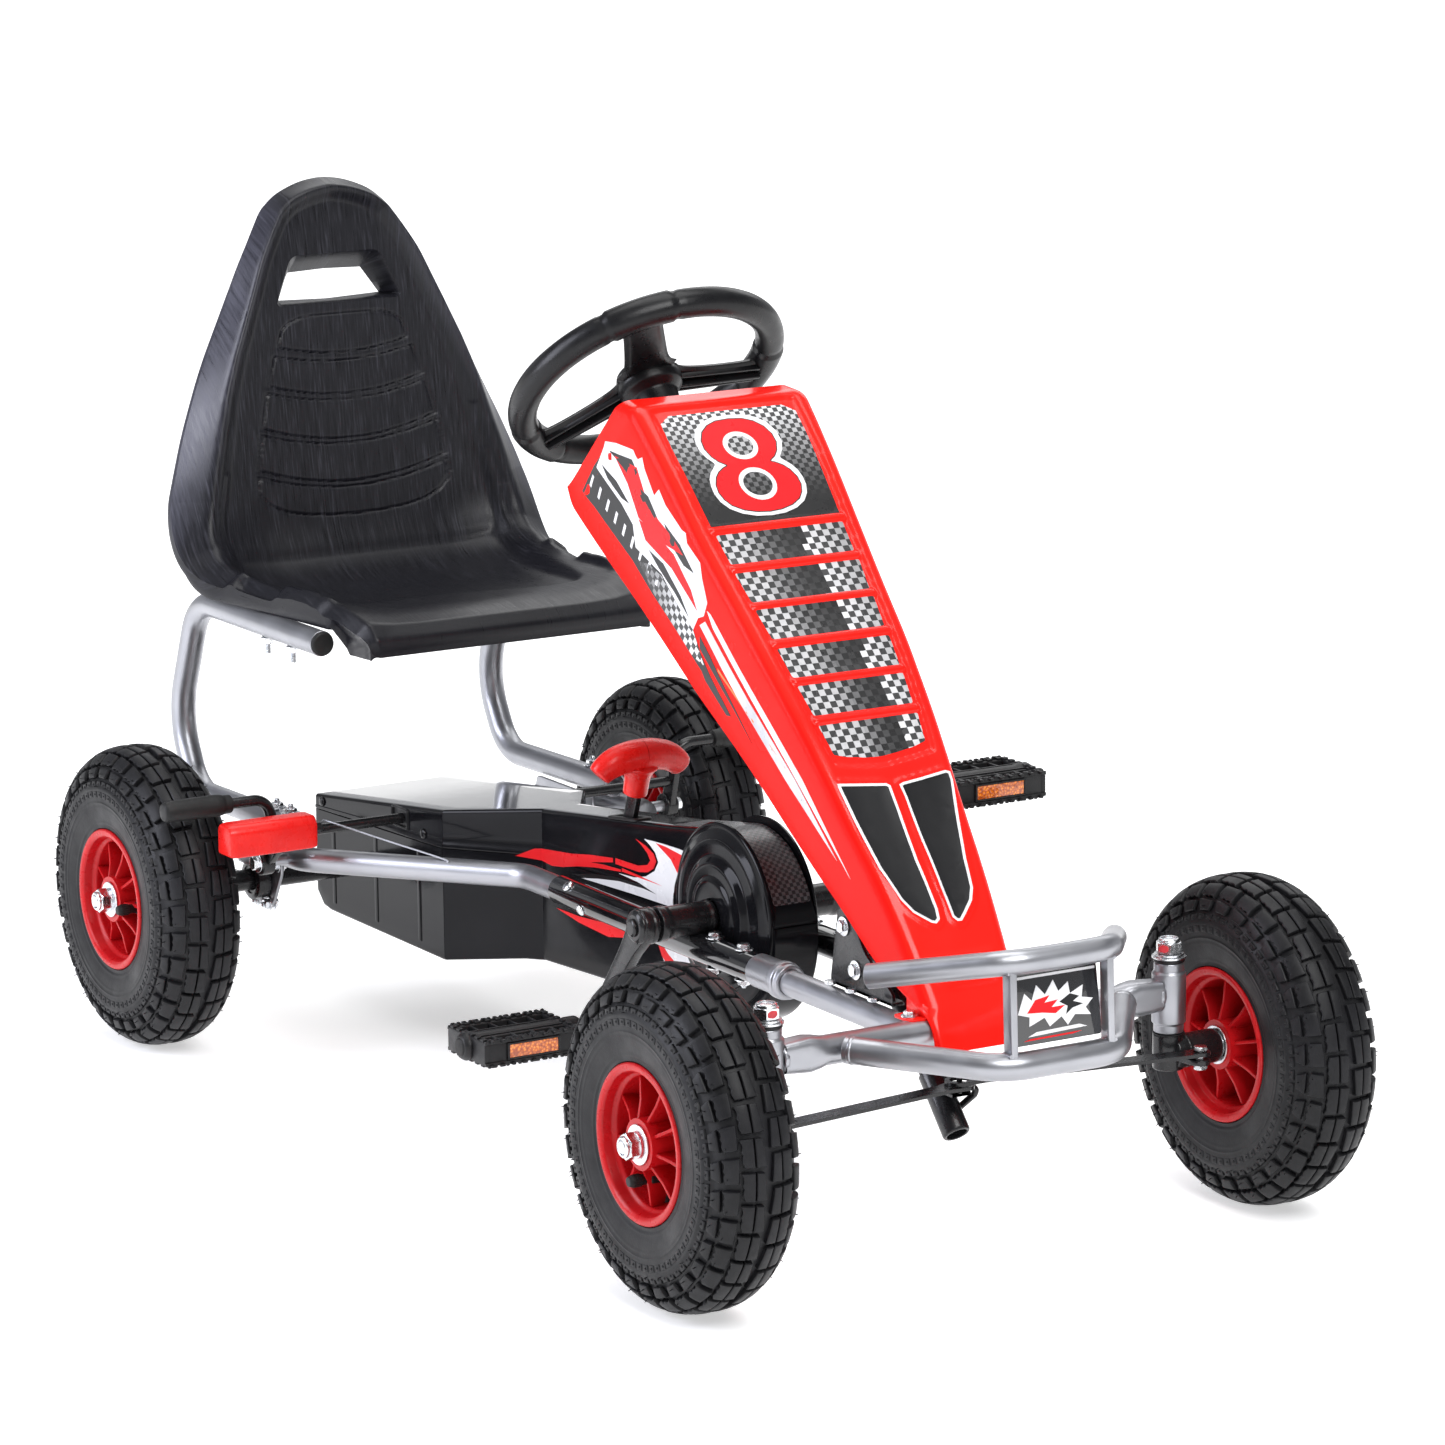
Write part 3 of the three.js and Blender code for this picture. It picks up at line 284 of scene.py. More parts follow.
    # floor: it also glows, more strongly further from the middle: painted light that whitens the far floor and lightens
    # the shadows on it
    m = Mat("studio_floor", spec=0.3)
    v = m.coords()
    m.base(m.ramp(m.noise(v, 0.7, 2), [(0.3, (0.86, 0.86, 0.86)), (0.7, (0.875, 0.875, 0.875))]))
    m.rough(m.span(m.noise(v, 3, 2), 0.3, 0.7, 0.62, 0.7))
    m.b.inputs["Emission Color"].default_value = (1, 1, 1, 1)
    ln = m.nt.nodes.new("ShaderNodeVectorMath")
    ln.operation = "LENGTH"
    m.link(v, ln.inputs[0])
    m.link(m.span(ln.outputs["Value"], 0.9, 5.0, 0.52, 1.05), m.b.inputs["Emission Strength"])
    M["floor"] = m
    return {k: x.m for k, x in M.items()}


MT = make_materials()


# ------------------------------------------------------------------- geometry
class Geo:
    """Faces collected into one piece; each lot of faces has its own material index."""

    def __init__(self):
        self.v, self.f, self.m, self.shade = [], [], [], []

    def put(self, part, m=0, shade=None):
        verts, faces = part
        o = len(self.v)
        self.v.extend([tuple(map(float, p)) for p in verts])
        self.f.extend([tuple(i + o for i in f) for f in faces])
        self.m.extend([m] * len(faces))
        self.shade.extend(shade if shade is not None else [(0.5, 0.5, 0.5)] * len(faces))
        return self


def add(name, geo, mats, body, reps=(), angle=38, uv=None, local=None, normals=True, shades=False, bevel=0.0, bevel_angle=35):
    """Makes the piece. local = (matrix) places an already centred mesh given in mm."""
    me = bpy.data.meshes.new(name)
    v = np.array(geo.v, float)
    if local is None:
        v = (v - [OX, 0, 0])
    else:
        # the turn goes into the mesh, so that the piece keeps an upright frame
        v = v @ np.array(local.to_3x3()).T
        local = Matrix.Translation(local.translation)
    v /= 1000.0
    me.from_pydata(v.tolist(), [], geo.f)
    mats = [mats] if isinstance(mats, str) else mats
    for k in mats:
        me.materials.append(MT[k])
    me.polygons.foreach_set("material_index", geo.m)
    if shades:
        at = me.color_attributes.new("shade", "FLOAT_COLOR", "CORNER")
        cols = np.ones((len(me.loops), 4), np.float32)
        for p, c in zip(me.polygons, geo.shade):
            cols[p.loop_start:p.loop_start + p.loop_total, :3] = c
        at.data.foreach_set("color", cols.ravel())
    if uv is not None:
        lay = me.uv_layers.new(name="UVMap")
        idx = np.empty(len(me.loops), np.int32)
        me.loops.foreach_get("vertex_index", idx)
        lay.data.foreach_set("uv", np.asarray(uv, np.float32)[idx].ravel())
    me.validate()
    if normals:
        bm = bmesh.new()
        bm.from_mesh(me)
        bmesh.ops.recalc_face_normals(bm, faces=bm.faces)
        bm.to_mesh(me)
        bm.free()
    me.polygons.foreach_set("use_smooth", [True] * len(me.polygons))
    me.set_sharp_from_angle(angle=math.radians(angle))
    ob = bpy.data.objects.new(name, me)
    scene.collection.objects.link(ob)
    if local is not None:
        ob.matrix_world = local
    if bevel:
        b = ob.modifiers.new("edge", "BEVEL")
        b.width = bevel / 1000.0
        b.segments = 3
        b.limit_method = "ANGLE"
        b.angle_limit = math.radians(bevel_angle)
        b.harden_normals = False
    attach(ob, body)
    if reps:
        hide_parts(*([reps] if isinstance(reps, str) else reps))
    return ob


def frame_at(a, b, hint=(0, 0, 1)):
    """Matrix whose Z runs from a towards b."""
    z = (Vector(b) - Vector(a)).normalized()
    h = Vector(hint)
    if abs(z.dot(h)) > 0.95:
        h = Vector((1, 0, 0))
    x = h.cross(z).normalized()
    y = z.cross(x)
    m = Matrix((x, y, z)).transposed().to_4x4()
    m.translation = Vector(a)
    return m


def moved(part, m):
    return [tuple(m @ Vector(p)) for p in part[0]], part[1]


def lathe(profile, n=48, closed=False, a0=0.0):
    """Turned about local Z; profile of (r, z). Closed profiles are rings."""
    verts, faces = [], []
    k = len(profile)
    for i in range(n):
        a = a0 + 2 * pi * i / n
        c, s = math.cos(a), math.sin(a)
        verts += [(r * c, r * s, z) for r, z in profile]
    for i in range(n):
        j = (i + 1) % n
        for t in range(k if closed else k - 1):
            u = (t + 1) % k
            faces.append((i * k + t, j * k + t, j * k + u, i * k + u))
    if not closed:
        for t in (0, k - 1):
            if profile[t][0] > 1e-6:
                faces.append(tuple(i * k + t for i in range(n)))
    return verts, faces


def rounded(profile, r=0.8, steps=3):
    """Rounds the corners of an open (r, z) profile."""
    out = [profile[0]]
    for i in range(1, len(profile) - 1):
        p0, p1, p2 = (np.array(profile[i + d], float) for d in (-1, 0, 1))
        d0, d2 = np.linalg.norm(p0 - p1), np.linalg.norm(p2 - p1)
        q = min(r, d0 * 0.45, d2 * 0.45)
        if q < 1e-3:
            out.append(tuple(p1))
            continue
        a, b = p1 + (p0 - p1) / d0 * q, p1 + (p2 - p1) / d2 * q
        for t in np.linspace(0, 1, steps + 1):
            out.append(tuple((1 - t) ** 2 * a + 2 * t * (1 - t) * p1 + t * t * b))
    out.append(profile[-1])
    return out


def turned(profile, a, b, n=48, closed=False, r=0.0):
    """A turned piece along the line a to b; profile's z is mm from a."""
    p = rounded(profile, r) if r else profile
    return moved(lathe(p, n, closed), frame_at(a, b))


def cyl(a, b, r, n=32, edge=0.6, r2=None):
    L = (Vector(b) - Vector(a)).length
    r2 = r if r2 is None else r2
    return turned([(0, 0), (r, 0), (r2, L), (0, L)], a, b, n, r=edge)


def fillet_path(pts, radii, step=5.0):
    P = [Vector(p) for p in pts]
    if not hasattr(radii, "__len__"):
        radii = [radii] * (len(P) - 2)
    out = [P[0]]
    for i in range(1, len(P) - 1):
        a, b = (P[i - 1] - P[i]).normalized(), (P[i + 1] - P[i]).normalized()
        half = a.angle(b) / 2
        if half > pi / 2 - 0.01 or radii[i - 1] <= 0:
            out.append(P[i])
            continue
        t = radii[i - 1] / math.tan(half)
        s = P[i] + a * t
        c = P[i] + (a + b).normalized() * (radii[i - 1] / math.sin(half))
        ang = pi - 2 * half
        ax = (s - c).cross(P[i] + b * t - c).normalized()
        n = max(3, int(radii[i - 1] * ang / step) + 1)
        for k in range(n + 1):
            out.append(c + Matrix.Rotation(ang * k / n, 3, ax) @ (s - c))
    out.append(P[-1])
    return out


def sweep(path, section, closed=True, caps=True, scale=None, up=None):
    """Section of (x, y) carried along the path without twisting."""
    P = [Vector(p) for p in path]
    n = len(P)
    T = [((P[min(i + 1, n - 1)] - P[i]).normalized() + (P[i] - P[max(i - 1, 0)]).normalized()).normalized() for i in range(n)]
    h = Vector(up) if up else (Vector((0, 0, 1)) if abs(T[0].z) < 0.9 else Vector((1, 0, 0)))
    x = (h - T[0] * h.dot(T[0])).normalized()
    verts, faces = [], []
    k = len(section)
    for i in range(n):
        if i:
            x = (x - T[i] * x.dot(T[i])).normalized()
        y = T[i].cross(x)
        s = scale[i] if scale else 1.0
        # scale the section by the given factor at each point
        verts += [tuple(P[i] + x * (a * s) + y * (b * s)) for a, b in section]
    for i in range(n - 1):
        for j in range(k if closed else k - 1):
            u = (j + 1) % k
            faces.append((i * k + j, i * k + u, (i + 1) * k + u, (i + 1) * k + j))
    if caps and closed:
        faces.append(tuple(range(k - 1, -1, -1)))
        faces.append(tuple((n - 1) * k + j for j in range(k)))
    return verts, faces


def ring2d(r, n=32, ry=None):
    ry = r if ry is None else ry
    return [(r * math.cos(2 * pi * i / n), ry * math.sin(2 * pi * i / n)) for i in range(n)]


def pipe(pts, radii, r, wall=1.8, n=32, step=5.0, ends=(True, True)):
    """A bent tube with open, slightly rolled ends."""
    path = fillet_path(pts, radii, step) if len(pts) > 2 else [Vector(p) for p in pts]
    outer = sweep(path, ring2d(r, n), caps=False)
    verts, faces = list(outer[0]), list(outer[1])
    for end in (0, 1):
        i0 = 0 if end == 0 else (len(path) - 1) * n
        c = path[0] if end == 0 else path[-1]
        d = (path[0] - path[1]).normalized() if end == 0 else (path[-1] - path[-2]).normalized()
        rim = [Vector(verts[i0 + j]) for j in range(n)]
        rows = [rim]
        spec = [(r - 0.4, 0.35), (r - wall, 0.35), (r - wall - 0.2, -14.0), (0.01, -14.0)] if ends[end] else [(r - 0.5, 0.5), (0.01, 0.5)]
        for q, dz in spec:
            rows.append([c + (p - c) * (q / r) + d * dz for p in rim])
        base = len(verts)
        for row in rows[1:]:
            verts += [tuple(p) for p in row]
        idx = [[i0 + j for j in range(n)]] + [[base + t * n + j for j in range(n)] for t in range(len(rows) - 1)]
        for t in range(len(idx) - 1):
            for j in range(n):
                u = (j + 1) % n
                q = (idx[t][j], idx[t + 1][j], idx[t + 1][u], idx[t][u])
                faces.append(q if end == 0 else q[::-1])
    return verts, faces


def inset(pts, d):
    """Moves a closed outline inwards by d."""
    P = [np.array(p, float) for p in pts]
    n = len(P)
    area = sum(P[i][0] * P[(i + 1) % n][1] - P[(i + 1) % n][0] * P[i][1] for i in range(n))
    sg = 1 if area > 0 else -1
    out = []
    for i in range(n):
        a, b = P[i] - P[i - 1], P[(i + 1) % n] - P[i]
        a, b = a / (np.linalg.norm(a) + 1e-9), b / (np.linalg.norm(b) + 1e-9)
        na, nb = np.array([-a[1], a[0]]) * sg, np.array([-b[1], b[0]]) * sg
        m = na + nb
        m = m / max(0.5, (m @ m) / 2)
        out.append(tuple(P[i] + m * d))
    return out


def prism(outline, h0, h1, edge=0.8, steps=3):
    """Outline in local XY pushed from h0 to h1, with rounded rims."""
    edge = min(edge, (h1 - h0) * 0.45)
    rows = []
    for k in range(steps + 1):
        t = pi / 2 * k / steps
        rows.append((edge * (1 - math.sin(t)), h0 + edge * (1 - math.cos(t))))
    rows += [(a, h0 + h1 - z) for a, z in reversed(rows)]
    n = len(outline)
    verts, faces = [], []
    for d, z in rows:
        verts += [(x, y, z) for x, y in (inset(outline, d) if d > 1e-6 else outline)]
    for i in range(len(rows) - 1):
        for j in range(n):
            u = (j + 1) % n
            faces.append((i * n + j, i * n + u, (i + 1) * n + u, (i + 1) * n + j))
    faces.append(tuple(range(n - 1, -1, -1)))
    faces.append(tuple((len(rows) - 1) * n + j for j in range(n)))
    return verts, faces


XZ = Matrix(((1, 0, 0, 0), (0, 0, 1, 0), (0, 1, 0, 0), (0, 0, 0, 1)))     # local x, y, h -> X, Z, Y


def plateY(outline, y0, y1, edge=0.8):
    return moved(prism(outline, min(y0, y1), max(y0, y1), edge), XZ)


def soften(pts, r, steps=4):
    """Rounds the corners of a closed outline."""
    out, n = [], len(pts)
    for i in range(n):
        p0, p1, p2 = (np.array(pts[(i + d) % n], float) for d in (-1, 0, 1))
        d0, d2 = np.linalg.norm(p0 - p1), np.linalg.norm(p2 - p1)
        q = min(r, d0 * 0.48, d2 * 0.48)
        a, b = p1 + (p0 - p1) / d0 * q, p1 + (p2 - p1) / d2 * q
        for t in np.linspace(0, 1, steps + 1):
            out.append(tuple((1 - t) ** 2 * a + 2 * t * (1 - t) * p1 + t * t * b))
    return out


def hexagon(af, h, bore=0.0, n=72, cut=1.2, dome=False):
    """Hexagon of width af across flats and height h along local Z, with turned chamfers."""
    rc = af / math.sqrt(3)

    def rad(a):
        q = (a + pi / 6) % (pi / 3) - pi / 6
        return af / 2 / math.cos(q)
    rows = [(af / 2 * 0.93, 0.0), (af / 2 * 0.98, 0.0)] if False else [(af / 2 * 0.96, 0.0)]
    rows += [(af / 2 + (rc - af / 2) * t, cut * 0.62 * t) for t in (0.25, 0.5, 0.75, 1.0)]
    rows += [(1e3, h * 0.5)]
    rows += [(af / 2 + (rc - af / 2) * t, h - cut * 0.62 * t) for t in (1.0, 0.75, 0.5, 0.25)]
    rows += [(af / 2 * 0.96, h)]
    if bore:
        rows = [(bore, 0.6), (bore + 0.7, 0.0)] + rows + [(bore + 0.7, h), (bore, h - 0.6)]
    verts, faces = [], []
    for cap, z in rows:
        for i in range(n):
            a = 2 * pi * i / n
            q = min(cap, rad(a))
            verts.append((q * math.cos(a), q * math.sin(a), z))
    for i in range(len(rows) - 1):
        for j in range(n):
            u = (j + 1) % n
            faces.append((i * n + j, i * n + u, (i + 1) * n + u, (i + 1) * n + j))
    if bore:
        i = len(rows) - 1
        for j in range(n):
            u = (j + 1) % n
            faces.append((i * n + j, i * n + u, u, j))
    else:
        faces.append(tuple(range(n - 1, -1, -1)))
        faces.append(tuple((len(rows) - 1) * n + j for j in range(n)))
    return verts, faces


def thread(r, L, pitch=1.5, n=24, z0=0.0):
    """A threaded end: fine grooves, chamfered tip."""
    prof = [(0, z0), (r - 0.6, z0)]
    z = z0
    while z < z0 + L - pitch * 1.5:
        prof += [(r, z + pitch * 0.25), (r, z + pitch * 0.4), (r - 0.7, z + pitch * 0.75)]
        z += pitch
    prof += [(r - 0.2, z + 0.3), (r - 1.2, z0 + L), (0, z0 + L)]
    return lathe(prof, n)


def bolt(geo, p, d, af=10, head=4, m=0, shank=0.0, r=3.0, washer=True, socket=False):
    """A hexagon bolt head at p, pointing along d."""
    fr = frame_at(p, Vector(p) + Vector(d))
    z = 0.0
    if washer:
        geo.put(moved(lathe(rounded([(0, 0), (af * 0.85, 0), (af * 0.85, 1.1), (0, 1.1)], 0.3), 32), fr), m)
        z = 1.1
    mm = fr @ Matrix.Translation((0, 0, z))
    geo.put(moved(hexagon(af, head), mm), m)
    if shank:
        geo.put(moved(thread(r, shank, 1.0, 16), fr @ Matrix.Translation((0, 0, z + head - 0.4))), m)
    return geo


# --------------------------------------------------------------- the wheels
TYRE_R, WHEEL_Z = 130.0, 130.0
FRONT_X, FRONT_Y, REAR_Y = 900.0, 258.4, 261.4


def tyre_profile():
    """Points q (arc length from the crown), radius, side position and normal of the tread surface."""
    hs = 38 * np.sin(np.linspace(0, pi / 2, 160))
    r = 92 + 38 * (1 - (hs / 38) ** 2.5) ** 0.4
    r2 = np.linspace(91.9, 60, 50)
    h2 = 38 - 5.4 * ((92 - r2) / 32) ** 2.0
    H, R = np.concatenate([hs, h2]), np.concatenate([r, r2])
    q = np.concatenate([[0], np.cumsum(np.hypot(np.diff(H), np.diff(R)))])
    tx, ty = np.gradient(H), np.gradient(R)
    n = np.hypot(tx, ty)
    return q, R, H, ty / n * -1 * -1, tx / n


TQ, TR, TH, _a, _b = tyre_profile()
TNH = -np.gradient(TR) / np.hypot(np.gradient(TR), np.gradient(TH))
TNR = np.gradient(TH) / np.hypot(np.gradient(TR), np.gradient(TH))


def tyre_point(q, c, lift):
    """Point on the tyre: q along the section (either side), c round it in radians, lifted off the tread surface."""
    s = np.sign(q) if q != 0 else 1
    a = abs(q)
    r = np.interp(a, TQ, TR) + np.interp(a, TQ, TNR) * lift
    h = np.interp(a, TQ, TH) + np.interp(a, TQ, TNH) * lift
    return (r * math.cos(c), r * math.sin(c), s * h)


GROOVE = 4.2


def tread_block(corners, H=0.0, depth=GROOVE, nq=6, nc=5, b=0.8, zig=0.0):
    """corners: (q, c) at q0c0, q1c0, q1c1, q0c1, with c in mm round the crown."""
    (a0, b0), (a1, b1), (a2, b2), (a3, b3) = corners
    wq = abs(a1 - a0 + a2 - a3) / 2
    wc = abs(b3 - b0 + b2 - b1) / 2
    us = [0, 0.02, b / wq] + list(np.linspace(b * 1.8 / wq, 1 - b * 1.8 / wq, nq)) + [1 - b / wq, 0.98, 1]
    vs = [0, 0.02, b / wc] + list(np.linspace(b * 1.8 / wc, 1 - b * 1.8 / wc, nc)) + [1 - b / wc, 0.98, 1]
    verts, faces = [], []
    n, k = len(us), len(vs)
    for i, u in enumerate(us):
        for j, v in enumerate(vs):
            q = (a0 * (1 - u) + a1 * u) * (1 - v) + (a3 * (1 - u) + a2 * u) * v
            c = (b0 * (1 - u) + b1 * u) * (1 - v) + (b3 * (1 - u) + b2 * u) * v
            if zig and u > 0.5:
                q += zig * (1 if int(v * 6.01) % 2 else -0.2) * (u - 0.5) * 2
            ring = min(i, j, n - 1 - i, k - 1 - j)
            lift = {0: -depth - 0.4, 1: -0.75 + H}.get(ring, H if ring > 2 else -0.12 + H)
            verts.append(tyre_point(q, c / TYRE_R, lift))
    for i in range(n - 1):
        for j in range(k - 1):
            faces.append((i * k + j, (i + 1) * k + j, (i + 1) * k + j + 1, i * k + j + 1))
    return verts, faces


def tyre_geo():
    g = Geo()
    # carcass: tread base, sidewalls, beads and the hollow inside
    prof = []
    for q in np.concatenate([np.linspace(0, 52, 34), np.linspace(53, TQ[-1], 40)]):
        dep = GROOVE * max(0.0, min(1.0, (58.0 - q) / 10.0))
        r = np.interp(q, TQ, TR) - np.interp(q, TQ, TNR) * dep
        h = np.interp(q, TQ, TH) - np.interp(q, TQ, TNH) * dep
        for c, wd, ht in ((70.5, 0.7, 0.55), (74.0, 0.5, 0.4), (88.0, 0.6, 0.5), (92.5, 1.2, 0.9)):   # moulded rings on the sidewall
            b = ht * math.exp(-((q - c) / wd) ** 2)
            r, h = r + np.interp(q, TQ, TNR) * b, h + np.interp(q, TQ, TNH) * b
        prof.append((r, h))
    prof += [(59.0, 33.2), (57.2, 32.4), (55, 31.5), (55, 24), (80, 31), (104, 29), (118, 14), (120, 0)]
    full = prof + [(r, -h) for r, h in reversed(prof[1:-1])]
    g.put(lathe(full, 128, closed=True))
    N = 32
    P = 2 * pi * TYRE_R / N
    for k in range(N):
        for s in (1, -1):
            c0 = k * P + (P * 0.5 if s < 0 else 0)
            e = 1.0
            # two centre blocks split by a sipe, the inner edge stepped so that the middle groove zigzags
            g.put(tread_block([(s * 2.0, c0 + 1.6), (s * 10.6, c0 + 1.2), (s * 10.6, c0 + P - 2.0), (s * 4.2, c0 + P - 2.4)], nq=3, nc=5))
            g.put(tread_block([(s * 11.6, c0 + 1.2), (s * 20.2, c0 + 1.4), (s * 21.4, c0 + P - 1.6), (s * 11.6, c0 + P - 2.0)], nq=3, nc=8, zig=s * 0.9))
            # shoulder block with a serrated outer edge, half a pitch on
            c1 = c0 + P * 0.5
            g.put(tread_block([(s * 24.0, c1 + 2.6), (s * 35.0, c1 + 1.4), (s * 36.5, c1 + P - 3.6), (s * 23.0, c1 + P - 3.0)], nq=4, nc=8, zig=s * 1.2, H=-0.1))
            # lug that narrows on to the sidewall
            g.put(tread_block([(s * 38.6, c1 + 1.8), (s * 48.5, c1 + 4.8), (s * 48.5, c1 + P - 7.2), (s * 39.8, c1 + P - 4.2)], nq=4, nc=4, H=-0.5, depth=3.2))
            # two rows of small square lugs with a dimple, below the shoulder
            for qa, qb, off, hh in ((51.0, 58.0, 0.0, -1.4), (60.0, 66.0, 0.5, -0.3)):
                for j in (0, 1):
                    ca = c1 + P * (0.5 * j + 0.06 + off * 0.5)
                    cb = ca + P * 0.38
                    lo = -1.5 if qa < 59 else 0.0
                    g.put(tread_block([(s * qa, ca), (s * qb, ca), (s * qb, cb), (s * qa, cb)], nq=2, nc=2, H=lo + 0.5, depth=2.2, b=0.6))
                    # dimple rim
                    qm, cm = s * (qa + qb) / 2, (ca + cb) / 2
                    ring = [(qm + 1.1 * math.cos(t), cm + 1.5 * math.sin(t)) for t in np.linspace(0, 2 * pi, 9)[:-1]]
                    v = [tyre_point(x, y / TYRE_R, lo + 0.5) for x, y in ring] + [tyre_point(qm + (x - qm) * 0.7, (cm + (y - cm) * 0.7) / TYRE_R, lo + 1.0) for x, y in ring] + [tyre_point(qm, cm / TYRE_R, lo + 0.35)]
                    f = [(i, (i + 1) % 8, 8 + (i + 1) % 8, 8 + i) for i in range(8)] + [(8 + i, 8 + (i + 1) % 8, 16) for i in range(8)]
                    g.put((v, f))
            # moulding whiskers left on the shoulders
            for q, cc, L in ((45.0, 0.45, 3.6), (56.0, 0.9, 3.0), (33.0, 0.2, 3.0)):
                if rng.random() < 0.62:
                    a = (c1 + P * cc + rng.uniform(-1.5, 1.5)) / TYRE_R
                    base = Vector(tyre_point(s * q, a, -1.0 if q < 50 else -2.0))
                    tip = Vector(tyre_point(s * q, a + rng.uniform(-0.01, 0.01), L - 0.8))
                    d = (tip - base)
                    f = frame_at(base, tip)
                    g.put(moved(lathe([(0.55, 0), (0.3, d.length * 0.8), (0.0, d.length)], 5), f))
    # fine radial ribs on the bead ring
    for k in range(96):
        if k % 12 in (0, 1):
            continue
        a = 2 * pi * k / 96
        for s in (1, -1):
            v = []
            for q, w in ((95.5, 0.012), (100.0, 0.012)):
                for da, l in ((-w * 0.6, -0.3), (-w * 0.35, 0.45), (w * 0.35, 0.45), (w * 0.6, -0.3)):
                    v.append(tyre_point(s * q, a + da, l))
            g.put((v, [(0, 1, 5, 4), (1, 2, 6, 5), (2, 3, 7, 6), (0, 4, 7, 3), (0, 3, 2, 1), (4, 5, 6, 7)]))
    return g


def rim_geo():
    """Moulded wheel: local Z is outboard."""
    g = Geo()
    f = 36.0
    outer = [(19.5, 34), (19.5, 8.5), (46.5, 8), (49.2, 20), (49.6, 24.5), (52.6, 26.5), (54.0, 34.2), (56.5, f - 0.3), (59.6, f), (61.0, f - 1.2), (60.8, f - 3.0), (58.0, f - 3.4), (54.2, 32.0)]
    o = rounded(outer, 1.1)
    prof = [(9.8, 34)] + o + [(54.2, -32.0)] + rounded([(r, -h) for r, h in reversed(outer)], 1.1)[1:] + [(9.8, -34)]
    # close through the bore, and thicken the web between the two faces
    top = [(r, h) for r, h in o]
    bot = [(r, -h) for r, h in reversed(o)]
    ring = [(9.8, 33.2), (10.6, 34.0)] + top + bot + [(10.6, -34.0), (9.8, -33.2)]
    # the inner face keeps the web 6 mm thick: move its floor close to the outer one
    ring = [(r, h if h > -12 else h) for r, h in ring]
    ring = [(r, (2.0 if (-9.2 < h < -7.2 and r < 48) else h)) for r, h in ring]
    g.put(lathe(ring, 96, closed=True))
    for k in range(9):
        a = 2 * pi * k / 9 + 0.1
        for s in (1, -1):
            z0, hub, wall = (7.5, 31.5, 24.0) if s > 0 else (2.5, 31.5, 24.0)
            out = [(18.5, z0), (48.0, z0), (49.4, wall), (33, wall + 2.4), (18.5, hub)]
            part = prism(soften(out, 1.6, 3), -1.35, 1.35, 0.6, 2)
            m = Matrix.Rotation(a, 4, "Z") @ Matrix(((1, 0, 0, 0), (0, 0, 1, 0), (0, s, 0, 0), (0, 0, 0, 1)))
            g.put(moved(part, m))
    # small ejector bosses in the pockets
    for k in range(9):
        a = 2 * pi * (k + 0.5) / 9 + 0.1
        p = (35 * math.cos(a), 35 * math.sin(a), 7.6)
        g.put(cyl(p, (p[0], p[1], 9.6), 3.0, 20, 0.6))
    return g


TYRE, RIM = tyre_geo(), rim_geo()


def wheel_matrix(x, y, side, spin):
    m = Matrix.Rotation(-side * pi / 2, 4, "X") @ Matrix.Rotation(spin, 4, "Z")
    m.translation = ((x - OX) / 1000, y / 1000, WHEEL_Z / 1000)
    return m


